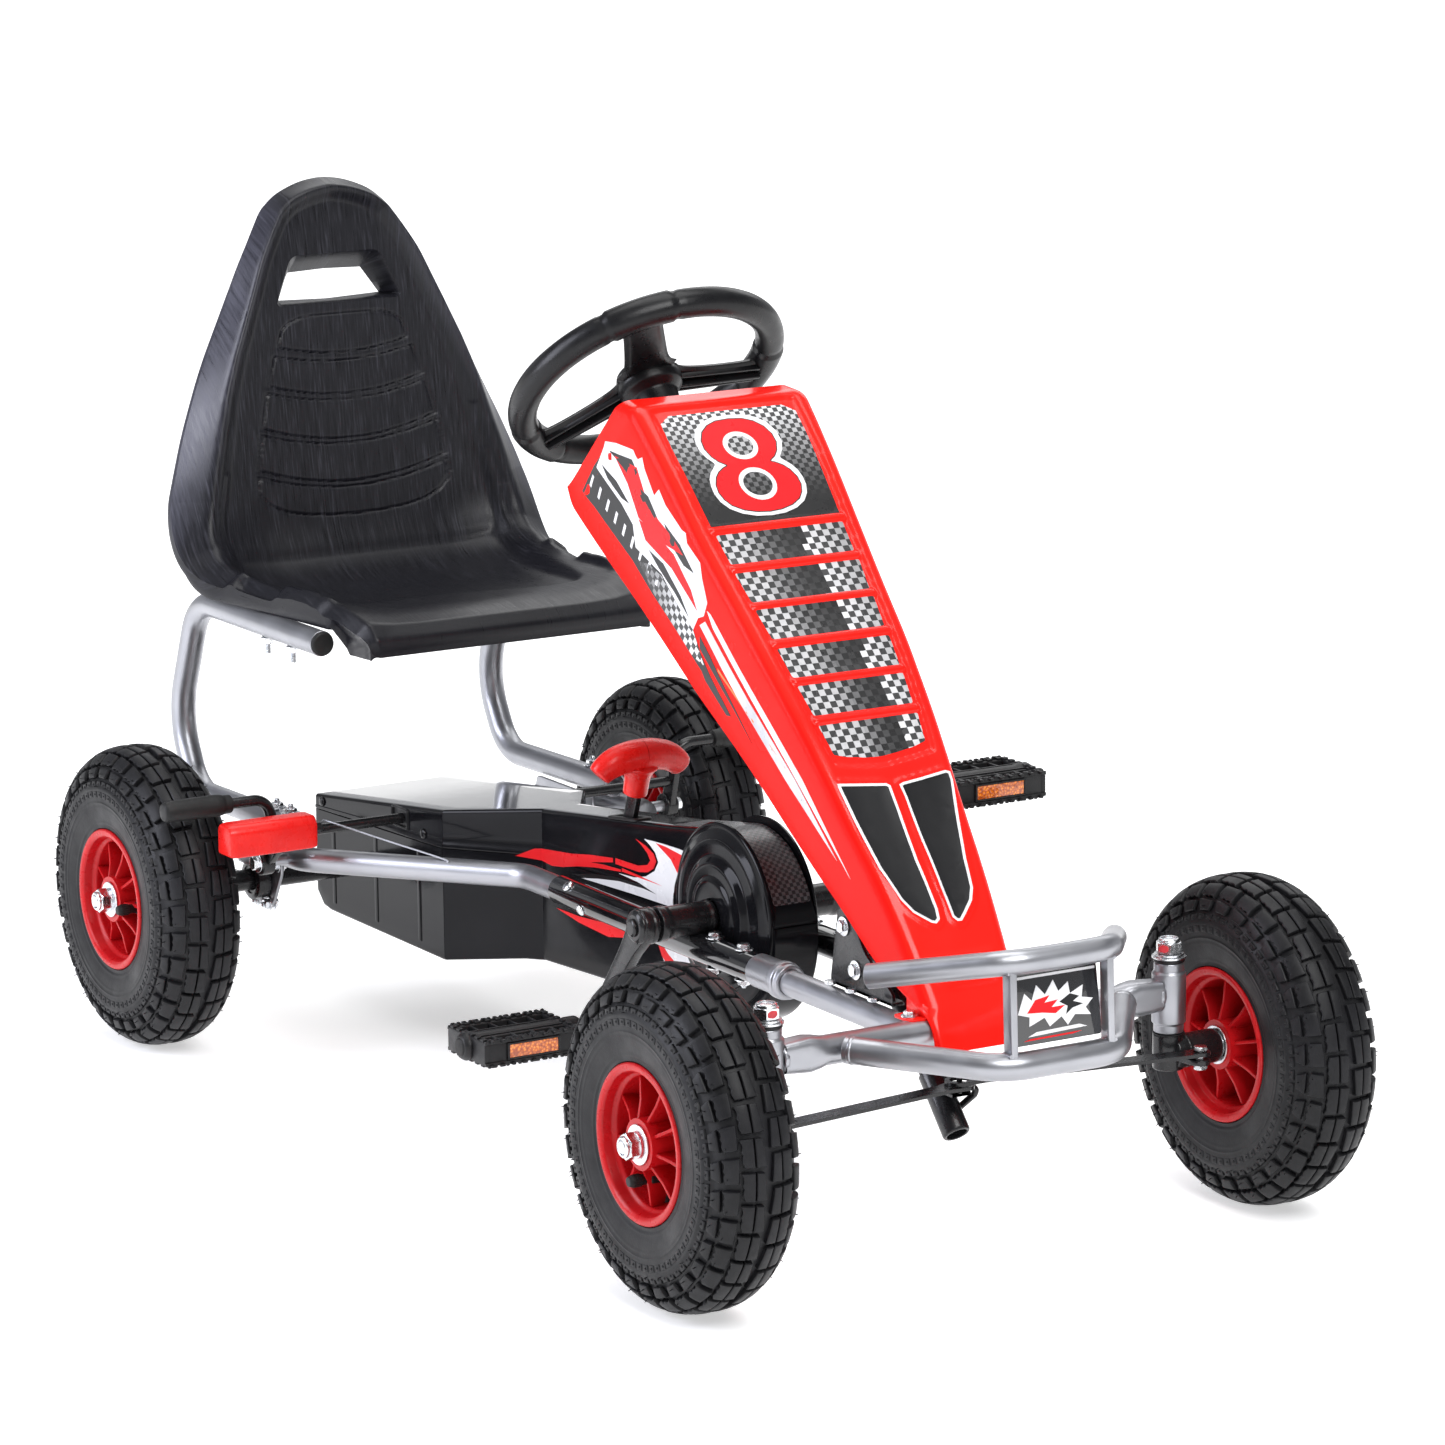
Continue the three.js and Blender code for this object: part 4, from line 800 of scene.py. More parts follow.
meshes = {}
for tag, s in (("left", 1), ("right", -1)):
    for end, x, y, body in (("front", FRONT_X, FRONT_Y, f"front_wheel_{tag}"), ("rear", 0.0, REAR_Y, "rear_axle_set")):
        turn = {("front", "right"): -1.70, ("front", "left"): 0.35, ("rear", "right"): -0.12, ("rear", "left"): 2.2}[(end, tag)]
        mx = wheel_matrix(x, s * y, s, turn)
        add(f"{end}_tyre_{tag}_tread", TYRE, "rubber", body, f"{end}_tyre_{tag}", angle=32, local=mx, normals=False)
        add(f"{end}_rim_{tag}_moulding", RIM, "red_plastic", body, f"{end}_rim_{tag}", angle=35, local=mx)
        g = Geo()   # valve, running out beside the hub
        va = {"front": 0.22, "rear": 0.0}[end]
        vx, vy = 28.5, 0.0
        g.put(cyl((vx, vy, 6), (vx, vy, 24), 5.2, 24, 1.2))
        g.put(moved(lathe(rounded([(0, 22), (4.1, 22), (4.1, 30), (4.6, 31), (4.6, 38.5), (3.6, 41.5), (0, 41.5)], 0.6), 24), Matrix.Translation((vx, vy, 0))))
        for k in range(16):
            a = 2 * pi * k / 16
            g.put(cyl((vx + 4.55 * math.cos(a), vy + 4.55 * math.sin(a), 31.6), (vx + 4.55 * math.cos(a), vy + 4.55 * math.sin(a), 38), 0.45, 6, 0.1))
        g.put(cyl((vx + 10, vy, 7), (vx + 22, vy + 2, 7), 6.0, 20, 2.0, 8.0))
        add(f"{end}_valve_{tag}", g, "grip", body, local=mx)
        # washers, spring washer, nut and axle end
        nb = "rear_axle_set" if end == "rear" else f"knuckle_set_{tag}"
        cy = s * y
        g = Geo()
        wb = Geo()
        Y = lambda d: (x, cy + s * d, WHEEL_Z)
        wb.put(turned([(0, 0), (15.2, 0), (15.2, 1.4), (11.4, 1.7), (11.0, 1.5), (0, 1.5)], Y(34.3), Y(50), 48, r=0.4))
        g.put(turned([(0, 0), (9.8, 0), (9.8, 2.2), (0, 2.2)], Y(35.6), Y(50), 40, r=0.5))
        g.put(moved(hexagon(18.4, 8.2), frame_at(Y(37.6), Y(50))))
        g.put(turned([(0, 0), (8.2, 0), (8.2, 2.6), (6.9, 3.4), (5.9, 3.4), (5.9, 1.0), (0, 1.0)], Y(45.4), Y(60), 40, r=0.5))
        g.put(moved(thread(5.6, 11.5, 1.25, 24), frame_at(Y(37.5), Y(50))), 1)
        if end == "front":
            # bearing faces and spacer on the inboard side
            wb.put(turned([(0, 0), (15.2, 0), (15.2, 1.4), (0, 1.4)], Y(-34.3), Y(-60), 48, r=0.4))
            wb.put(turned([(0, 0), (11.5, 0), (11.5, 2.2), (0, 2.2)], Y(-35.7), Y(-60), 40, r=0.5))
        else:
            wb.put(turned([(0, 0), (15.2, 0), (15.2, 1.2), (0, 1.2)], Y(-30.6), Y(-60), 48, r=0.4))
        add(f"{end}_hub_nut_{tag}", g, ["zinc", "zinc_turned"], nb, f"{end}_wheel_nut_{tag}", angle=30)
        add(f"{end}_hub_washers_{tag}", wb, "zinc_turned", body)
        if end == "front":
            t = Geo()
            t.put(turned([(9.3, 0), (10.05, 0.0), (10.05, 1.3), (9.3, 1.3)], Y(35.9), Y(50), 32))
            add(f"front_hub_thread_lock_{tag}", t, "lock_red", nb)

# ------------------------------------------------------------------ rear axle
g = Geo()
e, h = REAR_Y + 34, REAR_Y - 30.3
half = [(AX, y) for AX, y in ((0, e + 3.5), (9.3, e), (9.3, h), (20, h), (20, h - 16), (9.3, h - 16))]
g.put(turned([(0, -e - 2), (9.3, -e - 2), (9.3, -h), (20, -h), (20, -h + 16), (9.3, -h + 16), (9.3, h - 16), (20, h - 16), (20, h), (9.3, h), (9.3, e + 2), (0, e + 2)], (0, 0, 130), (0, 1, 130), 40, r=0.9))
add("rear_axle_shaft", g, "black_paint", "rear_axle_set", "rear_axle")


# ---------------------------------------------------------------- front frame
def weld(a, b, r, n=28, amp=0.7, w=1.8):
    """A weld bead round a tube of radius r, centred on the line a to b."""
    m = frame_at(a, b)
    verts, faces = [], []
    k = 7
    for i in range(n * 2):
        t = 2 * pi * i / (n * 2)
        rip = amp * (1 + 0.22 * math.sin(t * n * 0.5))
        for j in range(k):
            u = pi * j / (k - 1)
            q = r - 0.5 + rip * math.sin(u)
            verts.append((q * math.cos(t), q * math.sin(t), -w * math.cos(u)))
    N = n * 2
    for i in range(N):
        for j in range(k - 1):
            faces.append((i * k + j, ((i + 1) % N) * k + j, ((i + 1) % N) * k + j + 1, i * k + j + 1))
        faces.append((i * k, i * k + k - 1, ((i + 1) % N) * k + k - 1, ((i + 1) % N) * k))
    return moved((verts, faces), m)


KX, KY, BZ, RY, RZ = 897.0, 181.0, 177.0, 46.0, 176.0
g = Geo()
# cross beam: round in the middle, squeezed to a rounded box towards each sleeve
n = 36
ys = [-169.5, -160, -148, -139, -132, -60, 60, 132, 139, 148, 160, 169.5]
verts, faces = [], []
for y in ys:
    a = abs(y)
    t = min(1, max(0, (a - 132) / 14.0))
    for i in range(n):
        q = 2 * pi * i / n
        cx, cz = math.cos(q), math.sin(q)
        p = 2.0 + 3.2 * t
        m = (abs(cx) ** p + abs(cz) ** p) ** (-1 / p)
        taper = 1 + 0.06 * t - 0.14 * max(0, (a - 150) / 20)
        verts.append((KX + 11.5 * m * cx * (1 - 0.08 * t), y, BZ + 11.5 * m * cz * taper * (1 + 0.10 * t)))
for i in range(len(ys) - 1):
    for j in range(n):
        u = (j + 1) % n
        faces.append((i * n + j, i * n + u, (i + 1) * n + u, (i + 1) * n + j))
g.put((verts, faces))
for s in (1, -1):
    g.put(pipe([(664.6, s * RY, RZ), (889, s * RY, RZ)], [], 10.5, 1.8, 32, ends=(True, False)))
    g.put(weld((886.2, s * RY, RZ), (900, s * RY, RZ), 10.6))
    sl = rounded([(6.4, 147), (10.9, 146), (11.7, 147), (11.7, 153), (13.3, 154.4), (13.3, 193.4), (11.7, 195), (11.7, 201), (10.9, 202), (6.4, 202)], 0.7)
    g.put(moved(lathe(sl + [(6.4, 201)], 40, closed=True), Matrix.Translation((KX, s * KY, 0))))
    g.put(weld((KX, s * 169.2, BZ), (KX, s * 180, BZ), 11.2, amp=1.0, w=2.2))
add("front_axle_frame", g, "silver", "chassis", "front_frame", angle=40)

g = Geo()
up = [(926, -110, 237), (1014, -46, 257), (1014, 46, 257), (926, 110, 237)]
lo = [(917, -124, 181), (1017, -50, 178), (1017, 50, 178), (917, 124, 181)]
# the upper bar's middle is gently bowed
um = fillet_path(up, [26, 26], 4)
um = [Vector((p.x + 2.2 * max(0, 1 - (p.y / 44) ** 2), p.y, p.z)) for p in um]
core = []
for i in range(len(um) - 1):
    d = (um[i + 1] - um[i]).length
    k = max(1, int(d / 8))
    core += [um[i].lerp(um[i + 1], t / k) for t in range(k)]
core.append(um[-1])
core = [Vector((p.x + (2.2 * max(0, 1 - (p.y / 44) ** 2) if abs(p.y) < 40 and abs(p.x - 1014) < 1.5 else 0), p.y, p.z)) for p in core]
g.put(pipe(core, [0] * (len(core) - 2), 9.5, 1.7, 32))
g.put(pipe(lo, [42, 42], 10.5, 1.9, 32, 4))
for s in (1, -1):
    g.put(plateY(soften([(1010, 185), (1021.5, 185), (1018.8, 252), (1007.4, 252)], 1.5, 3), s * 40, s * 46, 1.2))
    g.put(weld((921, s * 121.0, 180.9), (930, s * 114.4, 180.6), 10.7))
    # short weld beads at the ends of the uprights
    for z, x in ((187.5, 1015.6), (249.6, 1012.8)):
        bead = fillet_path([(x - 5.6, s * 47, z), (x + 5.2, s * 47, z)], [], 2)
        g.put(sweep([Vector(b) for b in ((x - 5.4, s * 46.4, z), (x - 2, s * 46.6, z), (x + 2, s * 46.6, z), (x + 5.2, s * 46.4, z))], ring2d(1.5, 10)))
add("front_bumper_bars", g, "silver", "chassis", "front_bumper", angle=40)

# plate between the uprights, with its films
def plate_frame():
    a = math.radians(9)
    u = Vector((-math.sin(a), 0, math.cos(a)))        # up the plate
    nrm = Vector((math.cos(a), 0, math.sin(a)))
    m = Matrix((Vector((0, 1, 0)), u, nrm)).transposed().to_4x4()
    m.translation = Vector((1007.5, 0, 217.5))
    return m


PF = plate_frame()
g = Geo()
g.put(moved(prism(soften([(-39.5, -26.5), (39.5, -26.5), (39.5, 26.5), (-39.5, 26.5)], 3, 4), -1.25, 1.25, 0.5), PF))
g.put(moved(prism(soften([(-39.5, 25.2), (39.5, 25.2), (39.5, 28.6), (-39.5, 28.6)], 1.2, 3), -5.0, 1.5, 0.6), PF))
add("bumper_plate", g, "black_gloss", "chassis", "number_plate")
g = Geo()
film = lambda pts, h, m: g.put(moved(prism(pts, 1.25, 1.25 + h, 0.05, 1), PF), m)
film([(-37.5, 22.6), (37.5, 22.6), (37.5, 24.6), (-37.5, 24.6)], 0.20, 0)
film([(-33, -3), (-26, 12), (-20, 6), (-15, 17), (-8, 9), (0, 19), (4, 10), (13, 16), (14, 7), (26, 12), (24, 3), (34, 1), (27, -5), (31, -11), (17, -9), (10, -16), (5, -9), (-6, -15), (-10, -8), (-24, -13), (-23, -6)], 0.22, 0)
film([(-25, -3), (-17, 6), (-4, 8), (-9, 3), (3, 4), (-3, -1), (9, -1), (0, -6), (-12, -4)], 0.34, 1)
film([(4, 2), (14, 7), (22, 4), (16, 1), (25, -2), (15, -4), (9, -8), (11, -2)], 0.34, 2)
film([(-26, -20.5), (27, -19), (20, -16.6), (-18, -17.6)], 0.22, 0)
film([(-30, -23.4), (14, -23.0), (22, -21.6), (-24, -22.0)], 0.22, 1)
add("bumper_plate_films", g, ["film_white", "film_red", "film_black"], "chassis", angle=30)

# --------------------------------------------------- couplers and frame tubes
for tag, s in (("left", 1), ("right", -1)):
    g = Geo()
    prof = rounded([(10.8, 0), (13.6, 0.4), (13.6, 31.5), (15.2, 33.5), (15.2, 40.5), (13.6, 42), (13.6, 46.6), (12.6, 47), (10.8, 47)], 0.9)
    g.put(turned(prof, (664, s * RY, RZ), (711, s * RY, RZ), 40, closed=True))
    g.put(weld((664, s * RY, RZ), (670, s * RY, RZ), 12.4, amp=0.9))
    add(f"coupler_{tag}", g, "silver", "chassis", f"frame_coupler_{tag}")
    g = Geo()
    g.put(turned(rounded([(10.8, 0), (12, 0.5), (12, 318), (10.8, 318.6)], 0.5), (345, s * RY, RZ), (700, s * RY, RZ), 36, closed=True))
    add(f"chassis_sleeve_{tag}", g, "black_gloss", "chassis", f"chassis_tube_{tag}")
    g = Geo()
    g.put(pipe([(14, s * 168, 165.5), (118, s * 168, 172), (288, s * RY, RZ), (415, s * RY, RZ)], [40, 40], 10.5, 1.9, 36, 4))
    g.put(cyl((103, s * 176, 171), (103, s * 205.5, 171), 5.0, 24, 0.6))
    add(f"rear_tube_{tag}", g, "silver", "chassis", f"rear_frame_tube_{tag}", angle=40)
    # C-shaped seat support
    g = Geo()
    g.put(pipe([(132, s * 154, 360), (-104, s * 154, 360), (-147, s * 155, 250), (-112, s * 156, 187), (84, s * 156, 191)], [46, 70, 42], 11, 1.8, 36, 3))
    add(f"seat_bow_{tag}", g, "silver", "chassis", f"seat_support_tube_{tag}", angle=40)
    g = Geo()
    g.put(turned(rounded([(0, -14), (8.2, -14), (8.2, 0.3), (10.2, 0.3), (10.2, 2.8), (8.6, 3.8), (0, 4.1)], 1.1), (132, s * 154, 360), (140, s * 154, 360), 36))
    add(f"rail_cap_{tag}", g, "grip", "chassis", f"rail_end_cap_{tag}")
    # bolts under the rail, one pair through the seat
    g = Geo()
    for x in (30, 78):
        p = (x, s * 154, 349.0)
        g.put(moved(lathe(rounded([(0, 0), (6.2, 0), (6.2, 1.0), (0, 1.0)], 0.3), 28), frame_at(p, (x, s * 154, 340))), 0)
        g.put(moved(hexagon(8.0, 4.6), frame_at((x, s * 154, 348.0), (x, s * 154, 330))), 0)
        g.put(moved(thread(2.5, 9.5, 0.8, 16), frame_at((x, s * 154, 344.0), (x, s * 154, 330))), 0)
    add(f"seat_rail_bolts_{tag}", g, "zinc", "chassis", angle=30)
    # axle bracket and bearing drum
    g = Geo()
    out = soften([(-18, 112), (-10, 104), (10, 104), (18, 112), (34, 140), (34, 153), (-18, 153)], 5, 5)
    pl = prism(out, 146, 149, 0.6)
    g.put(moved(pl, XZ if s > 0 else Matrix.Scale(-1, 4, (0, 1, 0)) @ XZ))
    g.put(moved(prism(soften([(8, 147), (34, 147), (34, 178), (8, 178)], 3, 3), 150.6, 153, 0.5), Matrix.Identity(4) if s > 0 else Matrix.Scale(-1, 4, (0, 1, 0))))
    # curved web between the plate and the bow
    web = soften([(-30, 153), (-6, 148), (20, 150), (38, 158), (60, 166), (60, 178), (-40, 178), (-44, 166)], 4, 4)
    g.put(moved(prism(web, 146, 148.6, 0.6), XZ if s > 0 else Matrix.Scale(-1, 4, (0, 1, 0)) @ XZ))
    add(f"axle_plate_{tag}", g, "silver", "chassis", f"axle_bracket_{tag}")
    g = Geo()
    g.put(turned([(9.9, 0), (16.2, 0), (17.8, 1.2), (17.8, 12.2), (16.0, 13.4), (12.4, 13.4), (12.0, 12.2), (9.9, 12.2)], (0, s * 149.4, 130), (0, s * 170, 130), 40, closed=True))
    add(f"axle_bearing_drum_{tag}", g, "black_paint", "chassis", f"axle_bearing_{tag}")
    g = Geo()
    for x, z in ((-9, 108.5), (9, 108.5), (27, 146.5)):
        bolt(g, (x, s * 145.8, z), (0, -s, 0), 8, 3.4)
        bolt(g, (x, s * 149.1, z), (0, s, 0), 8, 4.0, shank=3.0, r=2.4)
    bolt(g, (44, s * 149.0, 171), (0, s, 0), 10, 4.0)
    bolt(g, (-6, s * 149.0, 165), (0, s, 0), 10, 4.0)
    add(f"bracket_bolts_{tag}", g, "zinc", "chassis", angle=30)

# bolts through the black chassis tubes, and the front tube
g = Geo()
for s in (1, -1):
    for x in (372, 398):
        a = -0.35 if x == 372 else 0.6
        d = Vector((0, s * math.cos(a) * 0.4, math.cos(a) * 0.9)).normalized()
        d = Vector((0, s * 0.64, 0.77)) if x == 372 else Vector((0, s * 0.9, -0.42))
        p = Vector((x, s * RY, RZ)) + d * 11.9
        g.put(moved(lathe(rounded([(0, -0.6), (5.2, 0), (4.8, 1.6), (2.8, 2.6), (0, 2.8)], 0.8), 24), frame_at(p, p + d)))
    for x, dz in ((596, -1), (640, -1)):
        bolt(g, (x, s * RY, RZ - 11.8), (0, 0, -1), 9, 4.0, shank=3.0, r=2.6)
        bolt(g, (x, s * RY, RZ + 11.8), (0, 0, 1), 9, 3.6)
    for x in (776, 806, 838):
        bolt(g, (x, s * 50.5, 190.0), (0, 0, 1), 8, 3.0, washer=False)
add("frame_bolts", g, "zinc", "chassis", angle=30)

# ----------------------------------------------------------- steering linkage
for tag, s in (("left", 1), ("right", -1)):
    ky = s * KY
    body = f"knuckle_set_{tag}"
    g = Geo()
    g.put(turned([(0, 0), (12.3, 0), (12.3, 28.4), (0, 28.4)], (KX, ky, 117), (KX, ky, 150), 40, r=1.6))
    g.put(cyl((FRONT_X, ky, 130), (FRONT_X, s * (FRONT_Y - 36.5), 130), 13.4, 36, 1.4))
    g.put(cyl((FRONT_X, ky, 130), (FRONT_X, s * (FRONT_Y + 36), 130), 9.2, 32, 0.8))
    arm = [(KX - 11, ky - 8.6), (930, s * 187 - 8.2), (937.4, s * 187 - 5.4), (939.2, s * 187), (937.4, s * 187 + 5.4), (930, s * 187 + 8.2), (KX - 11, ky + 8.6)]
    g.put(prism(soften(arm, 3, 3), 127, 131.4, 0.7))
    g.put(weld((FRONT_X, s * 192.5, 130), (FRONT_X, s * 200, 130), 13.2, amp=0.9))
    add(f"knuckle_forging_{tag}", g, "black_paint", body, f"knuckle_{tag}")
    g = Geo()
    g.put(cyl((931, s * 187, 130), (931, s * 187, 141), 3.6, 20, 0.5))
    g.put(moved(hexagon(10, 3.4), Matrix.Translation((931, s * 187, 137.9))))
    g.put(moved(hexagon(10, 3.6), Matrix.Translation((931, s * 187, 123.2))))
    add(f"arm_pin_{tag}", g, "zinc", body, angle=30)
    g = Geo()   # kingpin: washers, nut, thread
    T = lambda z: Matrix.Translation((KX, ky, z))
    g.put(moved(lathe(rounded([(0, 146), (6.0, 146), (6.0, 203), (0, 203)], 0.4), 24), Matrix.Translation((KX, ky, 0))))
    g.put(moved(lathe(rounded([(5.8, 0), (13.4, 0), (13.4, 1.6), (5.8, 1.6)], 0.4), 44, closed=True), T(205.2)))
    g.put(moved(lathe(rounded([(5.8, 0), (11.6, 0), (11.6, 2.0), (5.8, 2.0)], 0.5), 44, closed=True), T(206.9)))
    g.put(moved(hexagon(18.6, 8.6), T(209.2)))
    g.put(moved(lathe(rounded([(0, 0), (8.3, 0), (8.3, 2.4), (7.2, 3.4), (6.0, 3.4), (6.0, 1.2), (0, 1.2)], 0.5), 40), T(217.4)))
    g.put(moved(thread(5.7, 5.0, 1.25, 24), T(214.6)), 1)
    add(f"kingpin_stack_{tag}", g, ["zinc", "zinc_turned"], body, f"kingpin_{tag}", angle=30)
    g = Geo()   # black bushes above and below the sleeve
    g.put(moved(lathe(rounded([(6.2, 202.2), (12.2, 202.2), (12.2, 205), (6.2, 205)], 0.5), 36, closed=True), Matrix.Translation((KX, ky, 0))))
    g.put(moved(lathe(rounded([(6.2, 0), (12.6, 0), (12.6, 0.9), (6.2, 0.9)], 0.2), 36, closed=True), T(145.0)))
    add(f"kingpin_bush_{tag}", g, "black_plastic", body)
    g = Geo()   # dab of thread-lock paint on one flat
    a = -0.6 if s > 0 else 0.4
    fa = round((math.atan2(-1.0, 1.0) + a) / (pi / 3)) * pi / 3
    c = Vector((KX + 9.36 * math.cos(fa), ky + 9.36 * math.sin(fa), 213.6))
    g.put(moved(prism(soften([(-4.2, -2.2), (1.0, -3.3), (4.0, -1.0), (3.6, 2.4), (-1.4, 3.0), (-4.4, 1.2)], 1.2, 3), -0.2, 0.35, 0.2), frame_at(c, c + Vector((math.cos(fa), math.sin(fa), 0)))))
    add(f"kingpin_lock_paint_{tag}", g, "lock_red", body)

    zi, zo, dx, dy = (124.2 if s < 0 else 128.2), 134.4, 51.0, 187.0
    L = math.hypot(dx, dy)
    out = [(11.5 * math.cos(t), 11.5 * math.sin(t)) for t in np.linspace(pi / 2, pi * 1.5, 16)] + [(18, -8)] + [(L + 8 * math.cos(t), 8 * math.sin(t)) for t in np.linspace(-pi / 2, pi / 2, 12)] + [(18, 8)]
    g = Geo()
    # flat bar with two eyes: outline ring joined to the bores by bridging both faces
    bm = bmesh.new()
    def loop(pts, z):
        vs = [bm.verts.new((x, y, z)) for x, y in pts]
        return vs, [bm.edges.new((vs[i], vs[(i + 1) % len(vs)])) for i in range(len(vs))]
    holes = [[(7.6 * math.cos(t), 7.6 * math.sin(t)) for t in np.linspace(0, 2 * pi, 25)[:-1]], [(L + 5.2 * math.cos(t), 5.2 * math.sin(t)) for t in np.linspace(0, 2 * pi, 21)[:-1]]]
    edges = loop(out, 0)[1]
    for hl in holes:
        edges += loop(hl, 0)[1]
    bmesh.ops.triangle_fill(bm, use_beauty=True, edges=edges)
    ret = bmesh.ops.extrude_face_region(bm, geom=bm.faces[:])
    bmesh.ops.translate(bm, verts=[v for v in ret["geom"] if isinstance(v, bmesh.types.BMVert)], vec=(0, 0, 2.8))
    bmesh.ops.dissolve_limit(bm, angle_limit=0.01, verts=bm.verts[:], edges=bm.edges[:])
    bm.verts.index_update()
    part = ([tuple(v.co) for v in bm.verts], [tuple(v.index for v in f.verts) for f in bm.faces])
    bm.free()
    mm = Matrix.Translation((880, 0, zi)) @ Matrix.Rotation(math.atan2(s * dy, dx), 4, "Z") @ Matrix.Rotation(-math.atan2(zo - zi, L), 4, "Y")
    g.put(moved(part, mm))
    add(f"tie_rod_bar_{tag}", g, "black_paint", f"tie_rod_body_{tag}", f"tie_rod_{tag}", bevel=0.5)

TT = math.radians(41.2)
onC = lambda z: (418 + math.tan(TT) * (610.5 - z), 0.0, z)
g = Geo()
g.put(cyl(onC(600), onC(120), 9.5, 36, 1.0))
g.put(turned([(0, 0), (11, 0), (11, 52), (10.2, 53.6), (8.2, 53.6), (8.2, 34), (0, 34)], onC(127), onC(86.5), 36, r=0.8))
hx = onC(119.5)[0]
tab = [(hx + 3, -9.4), (884, -8.4), (876, -7.2), (872.2, -3.5), (871.8, 0), (872.2, 3.5), (876, 7.2), (884, 8.4), (hx + 3, 9.4)]
g.put(prism(soften(tab, 2, 3), 118, 121, 0.6))
g.put(cyl((880, 0, 120), (880, 0, 134.3), 2.2, 16, 0.4))
add("steering_shaft", g, "black_paint", "steering", "steering_column")
# bent hook rod beside the end of the column
g = Geo()
b0 = Vector(onC(98))
hook = [(857.0, 12.0, 118.6), (868.0, 23.4, 118.2), (866.0, 22.6, 112.6), (852.0, 14.6, 97.5)]
g.put(sweep(fillet_path(hook, [2.4, 2.4], 1), ring2d(2.7, 14)))
add("column_hook", g, "black_paint", "steering")

# outer tube of the column, cross plate, gussets
g = Geo()
g.put(turned(rounded([(9.9, 0), (13.2, 0), (13.5, 0.6), (13.5, 478.0), (13.2, 478.6), (9.9, 478.6)], 0.3), onC(565), onC(205), 36, closed=True))
for s in (1, -1):
    gus = soften([(762, 187.2), (852, 187.2), (852, 196), (812, 220), (790, 250), (774, 250)], 7, 6)
    g.put(plateY(gus, s * 39, s * 42, 0.6))
g.put(prism(soften([(770, -41), (800, -41), (800, 41), (770, 41)], 2, 3), 212, 216, 0.6))
for a, b in ((-42, -31), (31, 42)):
    g.put(prism(soften([(762, a), (852, a), (852, b), (762, b)], 2, 3), 187.2, 190.2, 0.6))
g.put(prism([(762, -31.5), (799, -31.5), (799, 31.5), (762, 31.5)], 187.2, 190.2, 0.6))
add("column_support", g, "black_paint", "chassis", "column_bracket")
g = Geo()
for s in (1, -1):
    bolt(g, (800, s * 42.2, 205), (0, s, 0), 9, 3.6)
    bolt(g, (783, s * 42.2, 236), (0, s, 0), 9, 3.6)
add("gusset_bolts", g, "zinc", "chassis", angle=30)


# ------------------------------------------------------- surfaces laid on a grid
def blur(a, k, axis=0):
    """Gaussian smoothing along one axis; ends keep their slope."""
    if k <= 0:
        return a
    m = int(3 * k) + 1
    w = np.exp(-0.5 * (np.arange(-m, m + 1) / k) ** 2)
    w /= w.sum()
    a = np.moveaxis(np.asarray(a, float), axis, 0)
    head = 2 * a[0] - a[1:m + 1][::-1]
    tail = 2 * a[-1] - a[-m - 1:-1][::-1]
    p = np.concatenate([head, a, tail])
    out = np.zeros_like(a)
    for i, q in enumerate(w):
        out += q * p[i:i + len(a)]
    return np.moveaxis(out, 0, axis)


def inside(poly, S, Y):
    """Even-odd test of many points against a closed outline."""
    hit = np.zeros(np.shape(S), bool)
    n = len(poly)
    for i in range(n):
        (x0, y0), (x1, y1) = poly[i], poly[(i + 1) % n]
        if x0 == x1:
            continue
        c = ((x0 > S) != (x1 > S)) & (Y < (y1 - y0) * (S - x0) / (x1 - x0) + y0)
        hit ^= c
    return hit


class Relief:
    """Heights on a millimetre raster, sampled smoothly."""

    def __init__(self, s0, s1, y0, y1, step):
        self.s0, self.y0, self.k = s0, y0, step
        self.S, self.Y = np.meshgrid(np.arange(s0, s1 + step, step), np.arange(y0, y1 + step, step), indexing="ij")
        self.h = np.zeros_like(self.S)

    def level(self, poly, height, soft):
        m = inside(poly, self.S, self.Y).astype(float)
        self.h += height * blur(blur(m, soft / self.k, 0), soft / self.k, 1)

    def line(self, pts, width, height, closed=True):
        P = [np.array(p, float) for p in pts]
        n = len(P)
        d = np.full(self.S.shape, 1e9)
        for i in range(n if closed else n - 1):
            a, b = P[i], P[(i + 1) % n]
            L = float(((b - a) ** 2).sum()) or 1e-9
            t = np.clip(((self.S - a[0]) * (b[0] - a[0]) + (self.Y - a[1]) * (b[1] - a[1])) / L, 0, 1)
            d = np.minimum(d, np.hypot(self.S - a[0] - t * (b[0] - a[0]), self.Y - a[1] - t * (b[1] - a[1])))
        self.h += height * np.exp(-0.5 * (d / (width / 2.2)) ** 2)

    def at(self, s, y):
        i = np.clip((np.asarray(s, float) - self.s0) / self.k, 0, self.h.shape[0] - 1.001)
        j = np.clip((np.asarray(y, float) - self.y0) / self.k, 0, self.h.shape[1] - 1.001)
        a, b = i.astype(int), j.astype(int)
        u, v = i - a, j - b
        h = self.h
        return (h[a, b] * (1 - u) + h[a + 1, b] * u) * (1 - v) + (h[a, b + 1] * (1 - u) + h[a + 1, b + 1] * u) * v


def grid_faces(nu, nv, o=0, skip=None, flip=False):
    out = []
    for i in range(nu - 1):
        for j in range(nv - 1):
            if skip is not None and skip[i, j]:
                continue
            q = (o + i * nv + j, o + i * nv + j + 1, o + (i + 1) * nv + j + 1, o + (i + 1) * nv + j)
            out.append(q[::-1] if flip else q)
    return out


